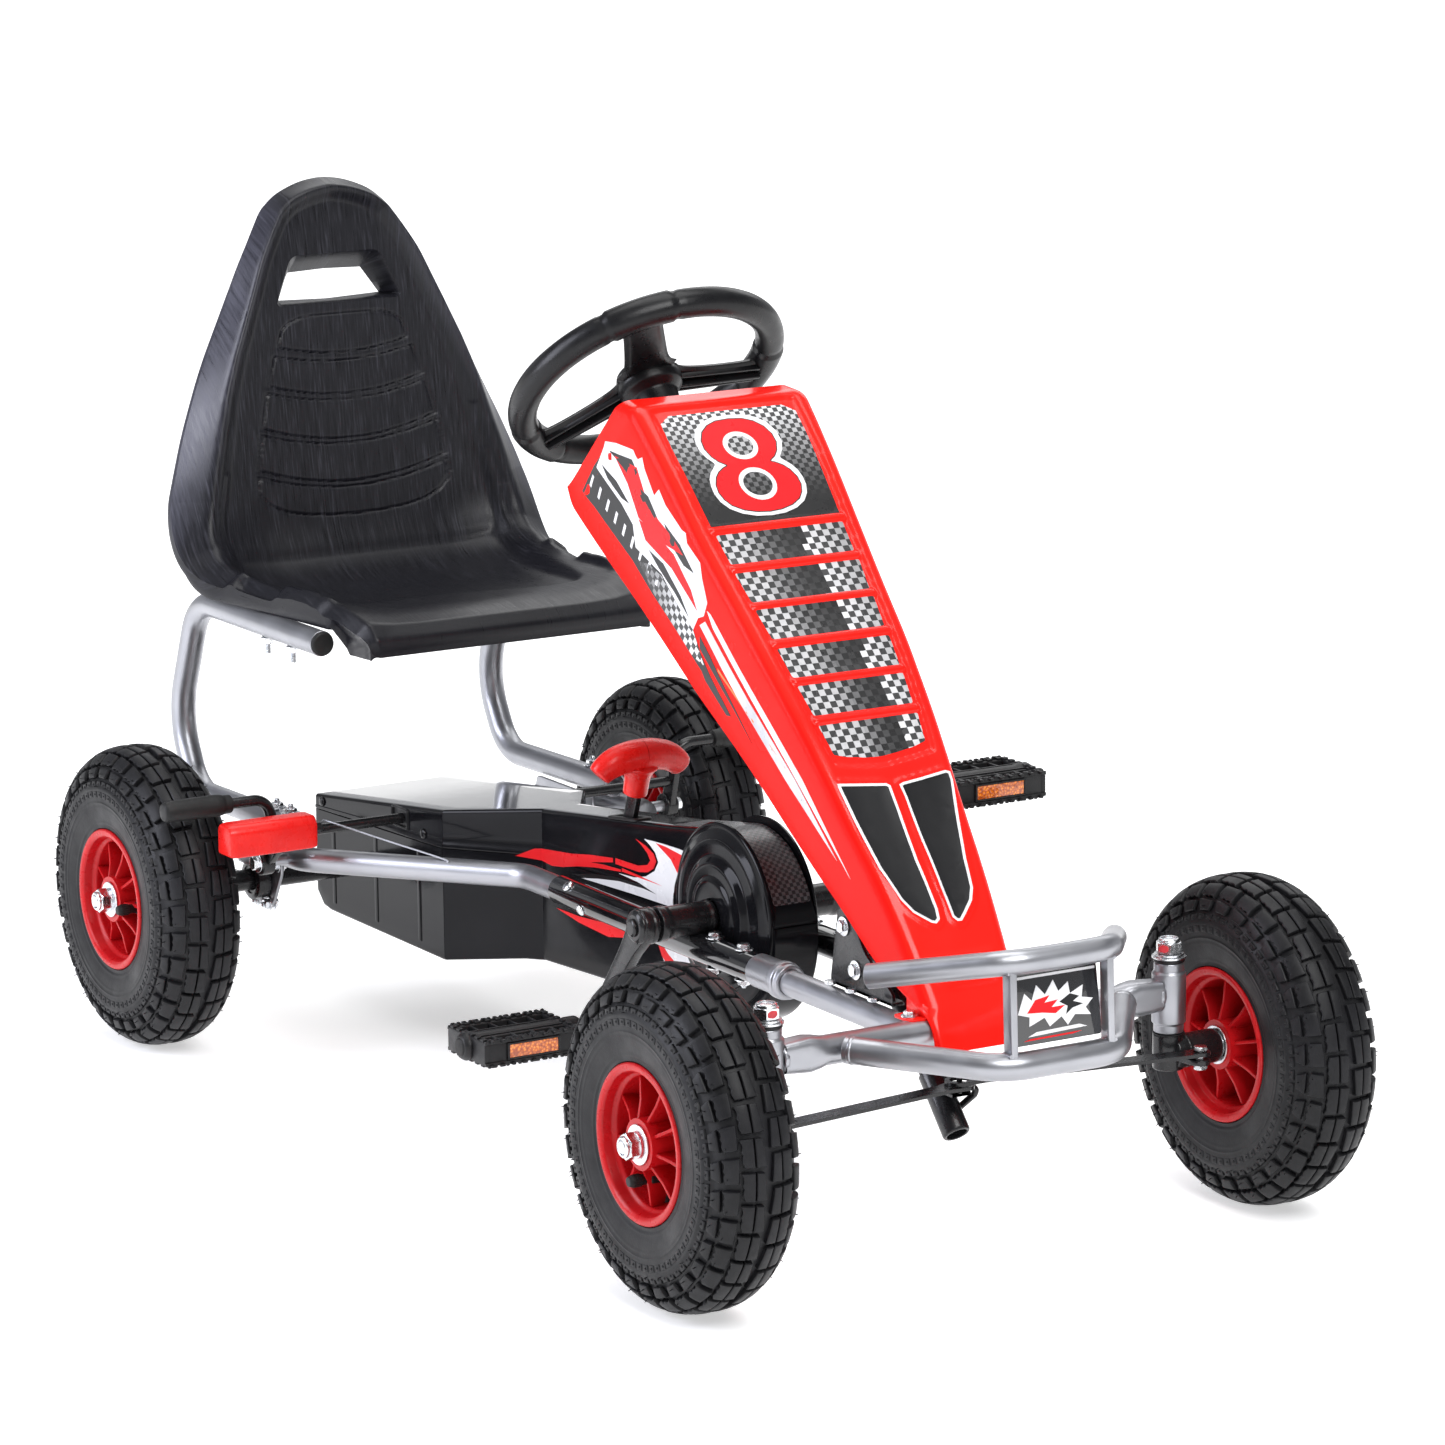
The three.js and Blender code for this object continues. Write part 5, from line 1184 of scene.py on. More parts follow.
def shell(outer, inner, skip=None):
    """A closed skin from an outer and an inner grid of points, with rolled rims."""
    nu, nv = outer.shape[:2]
    verts = [tuple(p) for p in outer.reshape(-1, 3)] + [tuple(p) for p in inner.reshape(-1, 3)]
    faces = grid_faces(nu, nv, 0, skip) + grid_faces(nu, nv, nu * nv, skip, True)
    count = {}
    for f in grid_faces(nu, nv, 0, skip):
        for a, b in zip(f, f[1:] + f[:1]):
            count[(a, b)] = 1
    edges = [e for e in count if (e[1], e[0]) not in count]
    nxt = {}
    mid = {}
    for a, b in edges:
        nxt[a] = b
    prev = {b: a for a, b in nxt.items()}
    P = np.array(verts)
    for a, b in edges:
        for k in (a, b):
            if k not in mid:
                t = P[nxt.get(k, k)] - P[prev.get(k, k)]
                th = P[k + nu * nv] - P[k]
                out = np.cross(t, th)
                n = np.linalg.norm(out)
                out = out / n if n > 1e-9 else out * 0
                mid[k] = len(verts)
                verts.append(tuple((P[k] + P[k + nu * nv]) / 2 + out * np.linalg.norm(th) * 0.42))
    for a, b in edges:
        faces.append((b, a, mid[a], mid[b]))
        faces.append((mid[b], mid[a], a + nu * nv, b + nu * nv))
    return verts, faces


def film(outline, fmap, lift=0.3, holes=(), cut_s=(), cut_y=(), shade=None, skirt=0.5):
    """A printed film cut to an outline in (s, y) and laid on a surface by fmap(s, y, lift)."""
    bm = bmesh.new()
    edges = []
    for lp in [outline, *holes]:
        vs = [bm.verts.new((x, y, 0)) for x, y in lp]
        edges += [bm.edges.new((vs[i], vs[(i + 1) % len(vs)])) for i in range(len(vs))]
    bmesh.ops.triangle_fill(bm, use_beauty=True, edges=edges)
    for vals, nrm in ((cut_s, (1, 0, 0)), (cut_y, (0, 1, 0))):
        for c in vals:
            co = (c, 0, 0) if nrm[0] else (0, c, 0)
            bmesh.ops.bisect_plane(bm, geom=bm.verts[:] + bm.edges[:] + bm.faces[:], plane_co=co, plane_no=nrm, dist=1e-4)
    bmesh.ops.dissolve_degenerate(bm, dist=1e-3, edges=bm.edges[:])
    bm.verts.index_update()
    flat = [tuple(v.co)[:2] for v in bm.verts]
    tris = [tuple(v.index for v in f.verts) for f in bm.faces]
    rim = [tuple(v.index for v in e.verts) for e in bm.edges if len(e.link_faces) == 1]
    sh = None
    if shade:
        sh = []
        for f in bm.faces:
            c = f.calc_center_median()
            sh.append(shade(c.x, c.y))
    bm.free()
    a = np.array(flat, float).reshape(-1, 2)
    top = fmap(a[:, 0], a[:, 1], lift)
    low = fmap(a[:, 0], a[:, 1], lift - skirt)
    n = len(flat)
    verts = [tuple(p) for p in top] + [tuple(p) for p in low]
    faces = tris + [tuple(i + n for i in f[::-1]) for f in tris] + [(i, j, j + n, i + n) for i, j in rim]
    if sh is not None:
        sh = sh + sh + [(0.02, 0.02, 0.02)] * len(rim)
    return verts, faces, sh


def lay(geo, m, *args, **kw):
    v, f, sh = film(*args, **kw)
    geo.put((v, f), m, sh)


def band(lo, hi, step):
    return [float(v) for v in np.arange(math.ceil(lo / step) * step, hi, step)]


def spline(pts, per=6, closed=False):
    """A smooth curve through the points."""
    P = [np.array(p, float) for p in pts]
    n = len(P)
    out = []
    for i in range(n if closed else n - 1):
        g = lambda k: P[k % n] if closed else P[min(max(k, 0), n - 1)]
        p0, p1, p2, p3 = g(i - 1), g(i), g(i + 1), g(i + 2)
        for t in np.arange(per) / per:
            out.append(tuple(0.5 * (2 * p1 + (p2 - p0) * t + (2 * p0 - 5 * p1 + 4 * p2 - p3) * t * t + (3 * p1 - p0 - 3 * p2 + p3) * t ** 3)))
    if not closed:
        out.append(tuple(P[-1]))
    return out


# -------------------------------------------------------------------- fairing
FS = np.array([
    (513, 610, 80, 430, 530), (533, 608, 81, 437, 520), (540, 604, 82, 444, 514), (585, 560, 79, 489, 482), (630, 512, 76, 532, 453), (668, 475, 72, 572, 422), (707, 437, 69, 610, 393),
    (754, 388, 63, 664, 354), (783, 354, 59, 700, 326), (812, 318, 55, 727, 302), (838, 290, 51, 768, 270), (860, 262, 48, 797, 249), (878, 236, 46, 838, 217), (900, 202, 43.5, 880, 199),
    (908, 190, 42.7, 901, 192.5), (914.5, 179, 42.2, 910.8, 181), (920.5, 166, 42, 914, 163)], float)
fcum = np.concatenate([[0], np.cumsum(np.hypot(np.diff(FS[:, 0]), np.diff(FS[:, 1])))])
fs = np.arange(0, fcum[-1] + 1.5, 1.5)
fs[-1] = fcum[-1]
raw = np.stack([np.interp(fs, fcum, FS[:, k]) for k in range(5)], 1)
soft_a, soft_b, soft_c = blur(raw, 1.6), blur(raw, 8.0), blur(raw, 2.5)
wa = np.clip((fs - 24) / 26, 0, 1)[:, None]
wb = np.clip((fs - 545) / 25, 0, 1)[:, None]
FT = (soft_a * (1 - wa) + soft_b * wa) * (1 - wb) + soft_c * wb
FD = FT[:, [0, 1]] - FT[:, [3, 4]]
FL = np.hypot(FD[:, 0], FD[:, 1])
FD = FD / FL[:, None]
FR = np.minimum(11.0, FL * 0.75)

panel_lo = [(366.5, -45.5), (370, -30), (372.5, -8), (372.5, 0), (370, 20), (366, 45.5)]
panel = [(27, -66.5), (26, -60), (26, 60), (27, 66.5), (60, 67), (141, 63.6), (215, 58.5), (290, 53.5), (345, 48.5)] + panel_lo[::-1] + [(345, -48.5), (290, -53.5), (215, -58.5), (141, -63.6), (60, -67)]
nost_l = [(386.6, -54.5), (383.2, -50.3), (388.3, -8.9), (390.5, -5.9), (415.2, -6.4), (456.2, -8.8), (497.9, -7.7), (506.4, -8.9), (509.6, -13.0), (508.3, -17.2), (498.2, -29.5), (486.6, -36.2), (458.5, -43.8), (418.3, -49.2)]
nost_r = [(390.7, 2.0), (389.4, 5.9), (387.3, 24.0), (384.2, 46.3), (385.9, 50.4), (392.8, 50.9), (420.2, 43.1), (460.5, 33.0), (485.3, 29.1), (495.4, 24.2), (504.7, 15.4), (510.4, 9.5), (510.2, 5.7), (506.3, 2.5), (481.3, 1.8), (440.7, 1.7), (401.8, 2.8)]
# keep the nostrils on the flat part of the nose
squeeze = lambda P: [(s, float(np.sign(y) * min(abs(y), np.interp(s, fs, FT[:, 2]) - 7.5))) for s, y in P]
nost_l, nost_r = squeeze(nost_l), squeeze(nost_r)
FREL = Relief(0, 612, -86, 86, 1.0)
FREL.level(panel, -2.2, 1.1)
for s in (145, 181.9, 218.4, 255, 291, 327.5):
    hw = float(np.interp(s, [141, 345], [62, 46.5]))
    FREL.level([(s - 3.0, -hw), (s + 3.0, -hw), (s + 3.0, hw), (s - 3.0, hw)], 2.6, 0.9)
for P in (nost_l, nost_r):
    FREL.level(soften(inset(P, -4.0), 4, 3), 1.3, 1.4)
    FREL.level(inset(P, 3.0), -1.2, 1.0)
FREL.level([(536, -30), (536, 30), (556, 28), (562, 20), (562, -20), (556, -28)], 1.0, 2.0)


def fair(s, y, lift):
    """A point on the nose: s down the front, y across it."""
    s, y = np.atleast_1d(np.asarray(s, float)), np.atleast_1d(np.asarray(y, float))
    c = np.stack([np.interp(s, fs, FT[:, k]) for k in range(5)], 1)
    d = c[:, [0, 1]] - c[:, [3, 4]]
    L = np.hypot(d[:, 0], d[:, 1])
    d = d / L[:, None]
    R = np.interp(s, fs, FR)
    over = np.clip(np.abs(y) - (c[:, 2] - R), 0, R * 0.999)
    k = L - R + np.sqrt(R * R - over * over) + FREL.at(s, y) + lift
    return np.stack([c[:, 3] + d[:, 0] * k, y, c[:, 4] + d[:, 1] * k], 1)


def fair_side(sign):
    """Maps (X, Z) on to one side of the body."""
    def f(x, z, lift):
        x, z = np.atleast_1d(np.asarray(x, float)), np.atleast_1d(np.asarray(z, float))
        out = []
        for a, b in zip(x, z):
            cr = (a - FT[:, 3]) * FD[:, 1] - (b - FT[:, 4]) * FD[:, 0]
            k = (a - FT[:, 3]) * FD[:, 0] + (b - FT[:, 4]) * FD[:, 1]
            i = int(np.argmin(np.abs(cr) + (k < -30) * 1e3))
            w, L, R = FT[i, 2], FL[i], FR[i]
            over = min(max(k[i] - (L - R), 0), R * 0.999)
            out.append((a, sign * (w - R + math.sqrt(R * R - over * over) + lift), b))
        return np.array(out)
    return f


ys_f = np.concatenate([np.arange(0, 64, 1.6), np.arange(64, 69.1, 1.25)]) / 69.0


def fair_grid(offset):
    rows = []
    for i in range(len(fs)):
        w, L, R = FT[i, 2] + offset, FL[i] + offset, max(FR[i] + offset * 0.6, 0.8)
        flat = w - R
        half = []
        for k in np.linspace(0, 1, 15):
            kk = k * (L - R)
            flare = 2.0 * math.exp(-kk / 4.0) if offset == 0 else 2.0 * math.exp(-kk / 4.0)
            half.append((w + flare * 0.7, kk))
        for t in np.linspace(0, pi / 2, 9)[1:-1]:
            half.append((flat + R * math.cos(t), L - R + R * math.sin(t)))
        fr = [(flat * q, L) for q in ys_f[::-1]]
        seq = half + fr
        row = []
        for y, k in seq:
            row.append((y, k, 1))
        full = row + [(-y, k, 1) for y, k, _ in row[::-1][1:]]
        pts = []
        for y, k, _ in full:
            r = float(FREL.at(fs[i], y)) if (k >= L - 1e-6) else 0.0
            kk = k + r
            pts.append((FT[i, 3] + FD[i, 0] * kk, y, FT[i, 4] + FD[i, 1] * kk))
        rows.append(pts)
    return np.array(rows)


fo, fi = fair_grid(0.0), fair_grid(-2.6)
# the inner skin lies 2.6 mm inside the outer one; shell() joins the two with a rolled rim
g = Geo()
g.put(shell(fo, fi))
ob = add("nose_fairing", g, "red_gloss", "chassis", "fairing", angle=50)
# faces turned sideways take the darker, duller red copy: painted shade
ob.data.materials.append(MT["red_side"])
for p in ob.data.polygons:
    p.material_index = 1 if abs(p.normal.y) > 0.72 else 0
g = Geo()
for s in (1, -1):
    g.put(plateY(soften([(872, 186.5), (902, 186.5), (902, 197), (884, 203), (872, 203)], 3, 3), s * 40.2, s * 42.6, 0.5))
    g.put(prism(soften([(874, 41 * s), (901, 41 * s), (900, 57 * s), (876, 57 * s)], 3, 3), 187.0, 189.4, 0.6))
add("fairing_feet", g, "red_gloss", "chassis")
g = Geo()
for s in (1, -1):
    bolt(g, (888, s * 50, 189.4), (0, 0, 1), 8, 3.2)
add("fairing_foot_bolts", g, "zinc", "chassis", angle=30)

# --------------------------------------------------------- films on the nose
CY8 = -1.5
red_half = [(41.6, 0), (42.5, 12), (46, 21), (52, 28), (60, 32), (68, 32.5), (76, 29.5), (81, 25.5), (84.8, 20), (86.2, 19.5), (88, 24), (91.5, 29.5), (96, 33.5), (103, 36.7), (110, 37.2), (117, 35), (123, 30.5), (128, 22), (131, 11), (131.9, 0)]
wht_half = [(37.2, 0), (38.2, 14), (42, 25), (48.5, 33), (58, 37.6), (68, 38), (76, 35), (80.5, 31.5), (82.5, 30), (84, 30.2), (87, 33), (91, 37), (97, 40.5), (104, 42), (111, 42), (119, 39.5), (126, 34), (131.5, 25), (135, 13), (136, 0)]
both = lambda H: [(s, CY8 + y) for s, y in H] + [(s, CY8 - y) for s, y in H[::-1][1:-1]]
oval = lambda s, rs, ry, n=36: [(s + rs * math.cos(t), CY8 + ry * math.sin(t)) for t in np.linspace(0, 2 * pi, n + 1)[:-1]]
red8, wht8 = both(red_half), both(wht_half)


def hashed(i, j, k=0):
    v = math.sin(i * 127.1 + j * 311.7 + k * 74.7) * 43758.5453
    return v - math.floor(v)


def cell_shade(cell, fade):
    def f(s, y):
        i, j = math.floor(s / cell), math.floor((y + 300) / cell)
        base = fade(s, y)
        light = (i + j) % 2 == 0
        v = (base if light else base * 0.06) * (0.93 + 0.14 * hashed(i, j))
        v = 0.016 + 0.80 * max(0.0, min(1.0, v))
        return (v, v, v * 1.02)
    return f


g = Geo()
cell = 4.33
p8 = [(32.5, -52), (32.5, 52), (39.7, 62.0), (63.5, 62.3), (141, 58.7), (141, -58.7), (63.5, -62.3), (39.7, -62.0)]
dark8 = lambda s, y: max(0.0, 1 - (s - 33) / 98) ** 2.1 * 0.86
lay(g, 0, p8, fair, 0.22, holes=[wht8], cut_s=band(32.5, 141, cell), cut_y=band(-300, 300, cell)[0:0] + [v for v in (np.arange(-300, 300, cell)) if -63 < v < 63], shade=cell_shade(cell, dark8))
# louvres: light on the far side of the split, dark on the near one
LV = [(149, 177.5, 58, 56.3, 2.3, -0.7), (186, 214.7, 56.8, 53.7, -0.2, -3.2), (222, 250.5, 54, 51, -2.1, -5.1), (259.5, 287.5, 51, 48.5, -4.4, -7.4), (295, 323, 48, 45, -4.7, -7.7)]
c5 = 5.7
for s0, s1, h0, h1, m0, m1 in LV:
    def fade(s, y, s0=s0, s1=s1, h0=h0, m0=m0, m1=m1):
        mid = m0 + (m1 - m0) * (s - s0) / (s1 - s0)
        if y < mid:
            return 0.015 + 0.60 * min(1.0, (mid - y) / (h0 - 4)) ** 3.0
        return max(0.3, 0.95 - 0.52 * (y - mid) / (h0 - 2)) ** 2.1
    P = [(s0, -h0), (s0, h0), (s1, h1), (s1, -h1)]
    P = soften(P, 2.0, 3)
    off = s0 % c5
    sh = cell_shade(c5, fade)
    mid = (m0 + m1) / 2
    lay(g, 0, P, fair, 0.22, cut_s=[s0 + c5 * k for k in range(1, 6)], cut_y=[v for v in np.arange(-300, 300, c5) if -60 < v < 60] + [mid], shade=lambda s, y, s0=s0, sh=sh, f=fade: sh(s - s0 + 0.01, y) if True else None)
P = [(332, -45), (332, 45), (350, 42.5), (357, 41.8), (360.5, 30), (363.5, 12), (365, -2), (364.5, -14), (361.5, -32), (358.5, -41.8), (350, -42.5)]


def fade6(s, y):
    mid = -5.5 - (s - 332) * 0.1
    if y < mid:
        return 0.015 + 0.6 * min(1.0, (mid - y) / 40) ** 3.0
    return max(0.3, 0.95 - 0.52 * (y - mid) / 43) ** 2.1


sh6 = cell_shade(c5, fade6)
lay(g, 0, soften(P, 1.5, 2), fair, 0.22, cut_s=[332 + c5 * k for k in range(1, 6)], cut_y=[v for v in np.arange(-300, 300, c5) if -60 < v < 60] + [-7.0], shade=lambda s, y: sh6(s - 332 + 0.01, y))
for sc, rs, ry in ((68, 9.5, 11), (105.5, 11.2, 12.6)):
    lay(g, 0, oval(sc, rs, ry), fair, 0.55, cut_s=band(sc - rs, sc + rs, cell), cut_y=[v for v in np.arange(-300, 300, cell) if -15 < v < 13], shade=cell_shade(cell, lambda s, y: max(0.12, 1 - (s - 33) / 110) ** 2.0))
add("nose_checks", g, "film_checks", "chassis", angle=30, shades=True)
g = Geo()
lay(g, 0, wht8, fair, 0.36, cut_s=band(36, 138, 6), cut_y=band(-46, 46, 12))
lay(g, 1, red8, fair, 0.50, holes=[oval(68, 13.8, 15.2), oval(105.5, 15.6, 16.4)], cut_s=band(36, 138, 6), cut_y=band(-46, 46, 12))
# thin dark keyline between the white and the red
lay(g, 2, inset(red8, -0.9), fair, 0.42, holes=[red8], cut_s=band(36, 138, 6))
for P in (nost_l, nost_r):
    lay(g, 0, P, fair, 0.30, holes=[inset(P, 2.2)], cut_s=band(380, 512, 6), cut_y=band(-60, 60, 10))
    lay(g, 3, inset(P, 2.2), fair, 0.26, cut_s=band(380, 512, 6), cut_y=band(-60, 60, 10))
add("nose_number", g, ["film_white", "film_red", "film_black", "film_charcoal"], "chassis", angle=30)

# ----------------------------------------------------------- films on the sides
w_top = [(491.7, 575.2), (510.7, 576.4), (536.1, 574.5), (539.9, 569.7), (542.6, 567.8), (549.3, 570.2), (552, 561.4), (564.6, 541.9), (572.1, 547.8), (581, 536.6), (603.5, 520.2), (609, 518.7), (610.3, 510.6), (627.8, 498), (629, 486), (634.2, 467.1), (627.8, 455.4), (619.2, 452.5)]
w_low = [(490.3, 571.2), (478.6, 552.8), (515.1, 528.7), (531, 514.1), (533.4, 496), (570.4, 480.1), (599.6, 449.4), (609.5, 440.2)]
b_low = [(473.3, 552.8), (455, 530.1), (474, 519.7), (528, 484.4), (554.2, 462.2), (586.8, 436.6), (607.1, 419.9), (625.1, 406.1)]
white = w_top + w_low[::-1]
black = [(492.2, 569.2)] + b_low + [(623.3, 415), (609.5, 440.2), (599.6, 449.4), (570.4, 480.1), (533.4, 496), (531, 514.1), (515.1, 528.7), (478.6, 552.8)]
cx_ = lambda P, st=14: [v for v in np.arange(440, 830, st) if min(p[0] for p in P) < v < max(p[0] for p in P)]
cz_ = lambda P, st=14: [v for v in np.arange(260, 620, st) if min(p[1] for p in P) < v < max(p[1] for p in P)]
for tag, sg in (("right", -1), ("left", 1)):
    F = fair_side(sg)
    g = Geo()
    put = lambda m, P, lift, holes=(): lay(g, m, P, F, lift, holes=list(holes), cut_s=cx_(P), cut_y=cz_(P))
    put(0, white, 0.26)
    band_w = [(633.1, 460.5), (637.9, 458.4), (700, 397.5), (751.9, 346.6), (806.6, 278.9), (743, 345), (690, 398), (640, 448)]
    put(0, band_w, 0.26)
    silver = [(621.2, 447.2), (629.4, 451.4), (685, 397), (742, 344.5), (790, 290), (727.6, 342.1), (672, 394)]
    put(4, silver, 0.34)
    put(2, [(491.2, 569.0)] + black[1:], 0.26)
    put(2, [(620.2, 438.5), (634.1, 423.7), (683.5, 363.7), (664, 384.5), (619.1, 428.3)], 0.30)
    put(2, [(618.7, 425.4), (632.4, 407.7), (657, 380.4), (650.6, 380), (624.1, 403.4), (617.4, 413.8)], 0.30)
    put(3, [(643.6, 416.6), (688.7, 383.0), (729.1, 352.6), (729.1, 351.4), (688.7, 380.4), (643.6, 414.0)], 0.30)
    # arrow heads inside the white field
    put(1, [(508, 566), (541, 561), (556, 531), (590, 512), (604, 500), (572, 506), (540, 521), (526, 546)], 0.42)
    put(1, [(549, 504), (586, 487), (619, 458), (612, 474), (590, 499), (566, 511), (540, 520)], 0.42)
    put(2, [(500, 569), (534, 566.5), (545, 553), (530, 552), (517, 560)], 0.42)
    put(2, [(540, 547), (556, 540), (571, 521), (560, 519), (545, 531)], 0.42)
    put(2, [(578, 522), (600, 508), (618, 488), (604, 492), (586, 507)], 0.42)
    put(2, [(488, 556), (509, 546), (527, 530), (516, 533), (496, 546)], 0.42)
    put(2, [(553, 497), (574, 489), (596, 467), (606, 451), (588, 468), (566, 485)], 0.42)
    # slanted ticks along the dark band
    for k in range(9):
        t = k / 8.0
        x, z = 470 + 92 * t, 541.5 - 66 * t
        d = np.array([0.81, -0.585])
        n = np.array([0.47, 0.88])
        a = np.array([x, z]) - n * 5.2
        b = np.array([x, z]) + n * 5.2
        wd = 3.1
        put(0, [tuple(a), tuple(a + d * wd), tuple(b + d * wd), tuple(b)], 0.40)
    add(f"side_film_{tag}", g, ["film_white", "film_red", "film_black", "film_orange", "film_silver"], "chassis", angle=30)
    # checks fading out of the band
    g = Geo()
    pc = [(536, 486), (552.6, 485.4), (571, 478.4), (592, 457.6), (611, 441.8), (624.3, 415), (607.1, 420.9), (586.8, 437.6), (560, 459.2)]
    pc = [(x, z) for x, z in pc]
    cc = 5.2

    def shc(x, z):
        u, v = (x * 0.78 - z * 0.62), (x * 0.62 + z * 0.78)
        i, j = math.floor(u / cc), math.floor(v / cc)
        k = max(0.0, min(1.0, (x - 540) / 75))
        q = (0.9 * k if (i + j) % 2 == 0 else 0.03)
        q = 0.016 + 0.78 * q
        return (q, q, q)
    # cells lie along the band, so the outline is turned first
    ca, sa = 0.78, 0.62
    nn = math.hypot(ca, sa)
    ca, sa = ca / nn, sa / nn
    turn = [(x * ca - z * sa, x * sa + z * ca) for x, z in pc]
    Fr = lambda u, v, lift, F=F: F(np.asarray(u) * ca + np.asarray(v) * sa, -np.asarray(u) * sa + np.asarray(v) * ca, lift)
    lay(g, 0, turn, Fr, 0.40, cut_s=[q for q in np.arange(-400, 900, cc) if min(p[0] for p in turn) < q < max(p[0] for p in turn)],
        cut_y=[q for q in np.arange(-400, 1200, cc) if min(p[1] for p in turn) < q < max(p[1] for p in turn)],
        shade=lambda u, v: (lambda i, j, x: (lambda q: (q, q, q))(0.016 + (0.74 * max(0, min(1, (x - 538) / 70)) if (i + j) % 2 == 0 else 0.02)))(math.floor(u / cc), math.floor(v / cc), u * ca + v * sa))
    add(f"side_checks_{tag}", g, "film_checks", "chassis", angle=30, shades=True)

# ----------------------------------------------------------------------- seat
SS = np.array([
    (188, 354, 137, 0, 0), (192, 368, 139, 0, 1), (180, 380, 142, 0, 3), (146, 386, 146, 0, 6), (90, 383, 152, 0, 9), (30, 379, 158, 0, 12), (-26, 378, 166, 2, 15),
    (-64, 384, 175, 8, 18), (-86, 402, 181, 14, 14), (-95, 428, 179, 15, 8), (-99, 460, 171, 14, 3), (-105, 500, 158, 12, 0), (-112, 551, 136, 8, 0), (-119, 610, 107, 5, 0), (-126, 655, 86, 3, 0),
    (-134, 690, 65, 0, 0), (-136.3, 700, 56, 0, 0), (-138.2, 708, 45, 0, 0), (-139.6, 713.5, 32, 0, 0), (-140.4, 717, 20, 0, 0), (-140.8, 719, 9, 0, 0), (-141, 719.8, 2, 0, 0)], float)
scum = np.concatenate([[0], np.cumsum(np.hypot(np.diff(SS[:, 0]), np.diff(SS[:, 1])))])
# fine steps over the back, where the grooves are
sst = np.concatenate([np.arange(0, 45, 1.5), np.arange(45, 318, 2.6), np.arange(318, 600, 1.25), np.arange(600, scum[-1] - 0.8, 0.9), [scum[-1] - 0.5, scum[-1] - 0.22, scum[-1] - 0.07, scum[-1]]])
fine = np.arange(0, scum[-1] + 1, 1.0)
rw = np.stack([np.interp(fine, scum, SS[:, k]) for k in range(5)], 1)
sm = blur(rw, 11.0)
sl = blur(rw, 3.0)
sk = np.clip((fine - 30) / 30, 0, 1)[:, None]
cv = sl * (1 - sk) + sm * sk
tipw = np.clip((fine - 585) / 12, 0, 1)[:, None]
cv = cv * (1 - tipw) + blur(rw, 1.2) * tipw
# the shell's outline: round front corners and a round top
half_w = cv[:, 2].copy()
fc = 13.0
lead = fine < fc
half_w[lead] = half_w[lead] - (fc - np.sqrt(np.maximum(0, fc ** 2 - (fc - fine[lead]) ** 2))) * 0.7
top_s = scum[-1]
# a smooth outline for the round top
k0 = 12
tip = np.array([tuple(p)[:2] for p in spline([(float(a), float(b)) for a, b in zip(scum[k0:], SS[k0:, 2])], 8)], float)
tip_s, tip_w = np.maximum.accumulate(tip[:, 0]), tip[:, 1]


def SW(s):
    k = np.clip((np.asarray(s, float) - 525) / 30, 0, 1)
    return np.interp(s, fine, half_w) * (1 - k) + np.interp(s, tip_s, tip_w) * k


tang = np.stack([np.gradient(cv[:, 0]), np.gradient(cv[:, 1])], 1)
tang = blur(tang, 3.0)
tang /= np.linalg.norm(tang, axis=1)[:, None]
s_par = fine
SR = Relief(0, 640, -190, 190, 1.0)
half_panels = []


def mirror(H):
    return [(s, y) for s, y in H] + [(s, -y) for s, y in H[::-1] if abs(y) > 1e-6]


arcp = lambda s0, rise, w, n=7: [(s0 + rise * (y / w) ** 2, y) for y in np.linspace(0, w, n)]
P1 = mirror([(505.5, 0), (505.3, 24), (504.4, 40), (501, 52), (495, 59), (486, 62.5), (479.5, 63.8)] + arcp(471, 8.5, 63.8)[::-1])
P2 = mirror(arcp(464, 8.2, 68) + arcp(434.5, 12.2, 76.5)[::-1])
P3 = mirror(arcp(429.5, 11.2, 78) + arcp(395, 15.2, 86)[::-1])
P4 = mirror(arcp(391.0, 13.4, 87) + arcp(357, 16.8, 93)[::-1])
P5 = mirror(arcp(352.5, 15.6, 93.6) + [(358, 95), (350, 92), (342, 84), (335, 68), (331, 46), (329, 24), (328.4, 0)])
for P in (P1, P2, P3, P4, P5):
    SR.line(P, 1.15, -2.1)
    SR.level(inset(P, 1.2 if P is not P5 else 1.4), 0.35, 1.1)
# pan sunk behind a crescent-shaped edge
SR.level([(106, 106), (110, 80), (121, 40), (131, 8), (135, -10), (133, -45), (121, -92), (128, -112), (150, -122), (250, -134), (300, -128), (300, 128), (250, 134), (150, 122), (116, 116)], -4.6, 3.2)
SR.level([(112, 96), (124, 44), (137, 0), (137, -30), (128, -84), (140, -100), (240, -104), (262, -70), (262, 70), (240, 104), (140, 104)], -2.4, 9.0)
for sg in (1, -1):
    # ear with a pocket and a facet at its front end
    SR.level([(84, sg * 133), (98, sg * 139), (150, sg * 141), (238, sg * 150), (238, sg * 171), (150, sg * 160), (96, sg * 151)], 6.5, 3.0)
    SR.level([(162, sg * 144), (168, sg * 143), (228, sg * 152), (226, sg * 163), (166, sg * 156.5)], -9.0, 3.0)
    SR.level([(104, sg * 140), (132, sg * 143.5), (150, sg * 156), (112, sg * 151)], 2.6, 3.0)
    # moulded rib that runs down from the back into the pan
    SR.line(spline([(372, sg * 128), (345, sg * 133), (318, sg * 136), (292, sg * 138)], 5), 5.0, 2.2, closed=False)
    SR.line(spline([(415, sg * 121), (372, sg * 131), (340, sg * 141)], 5), 4.0, -1.2, closed=False)
# small stamped mark low on the back
for k in range(3):
    SR.line([(300 + 2.2 * k, -118), (300 + 2.2 * k, -112)], 0.8, 0.5, closed=False)


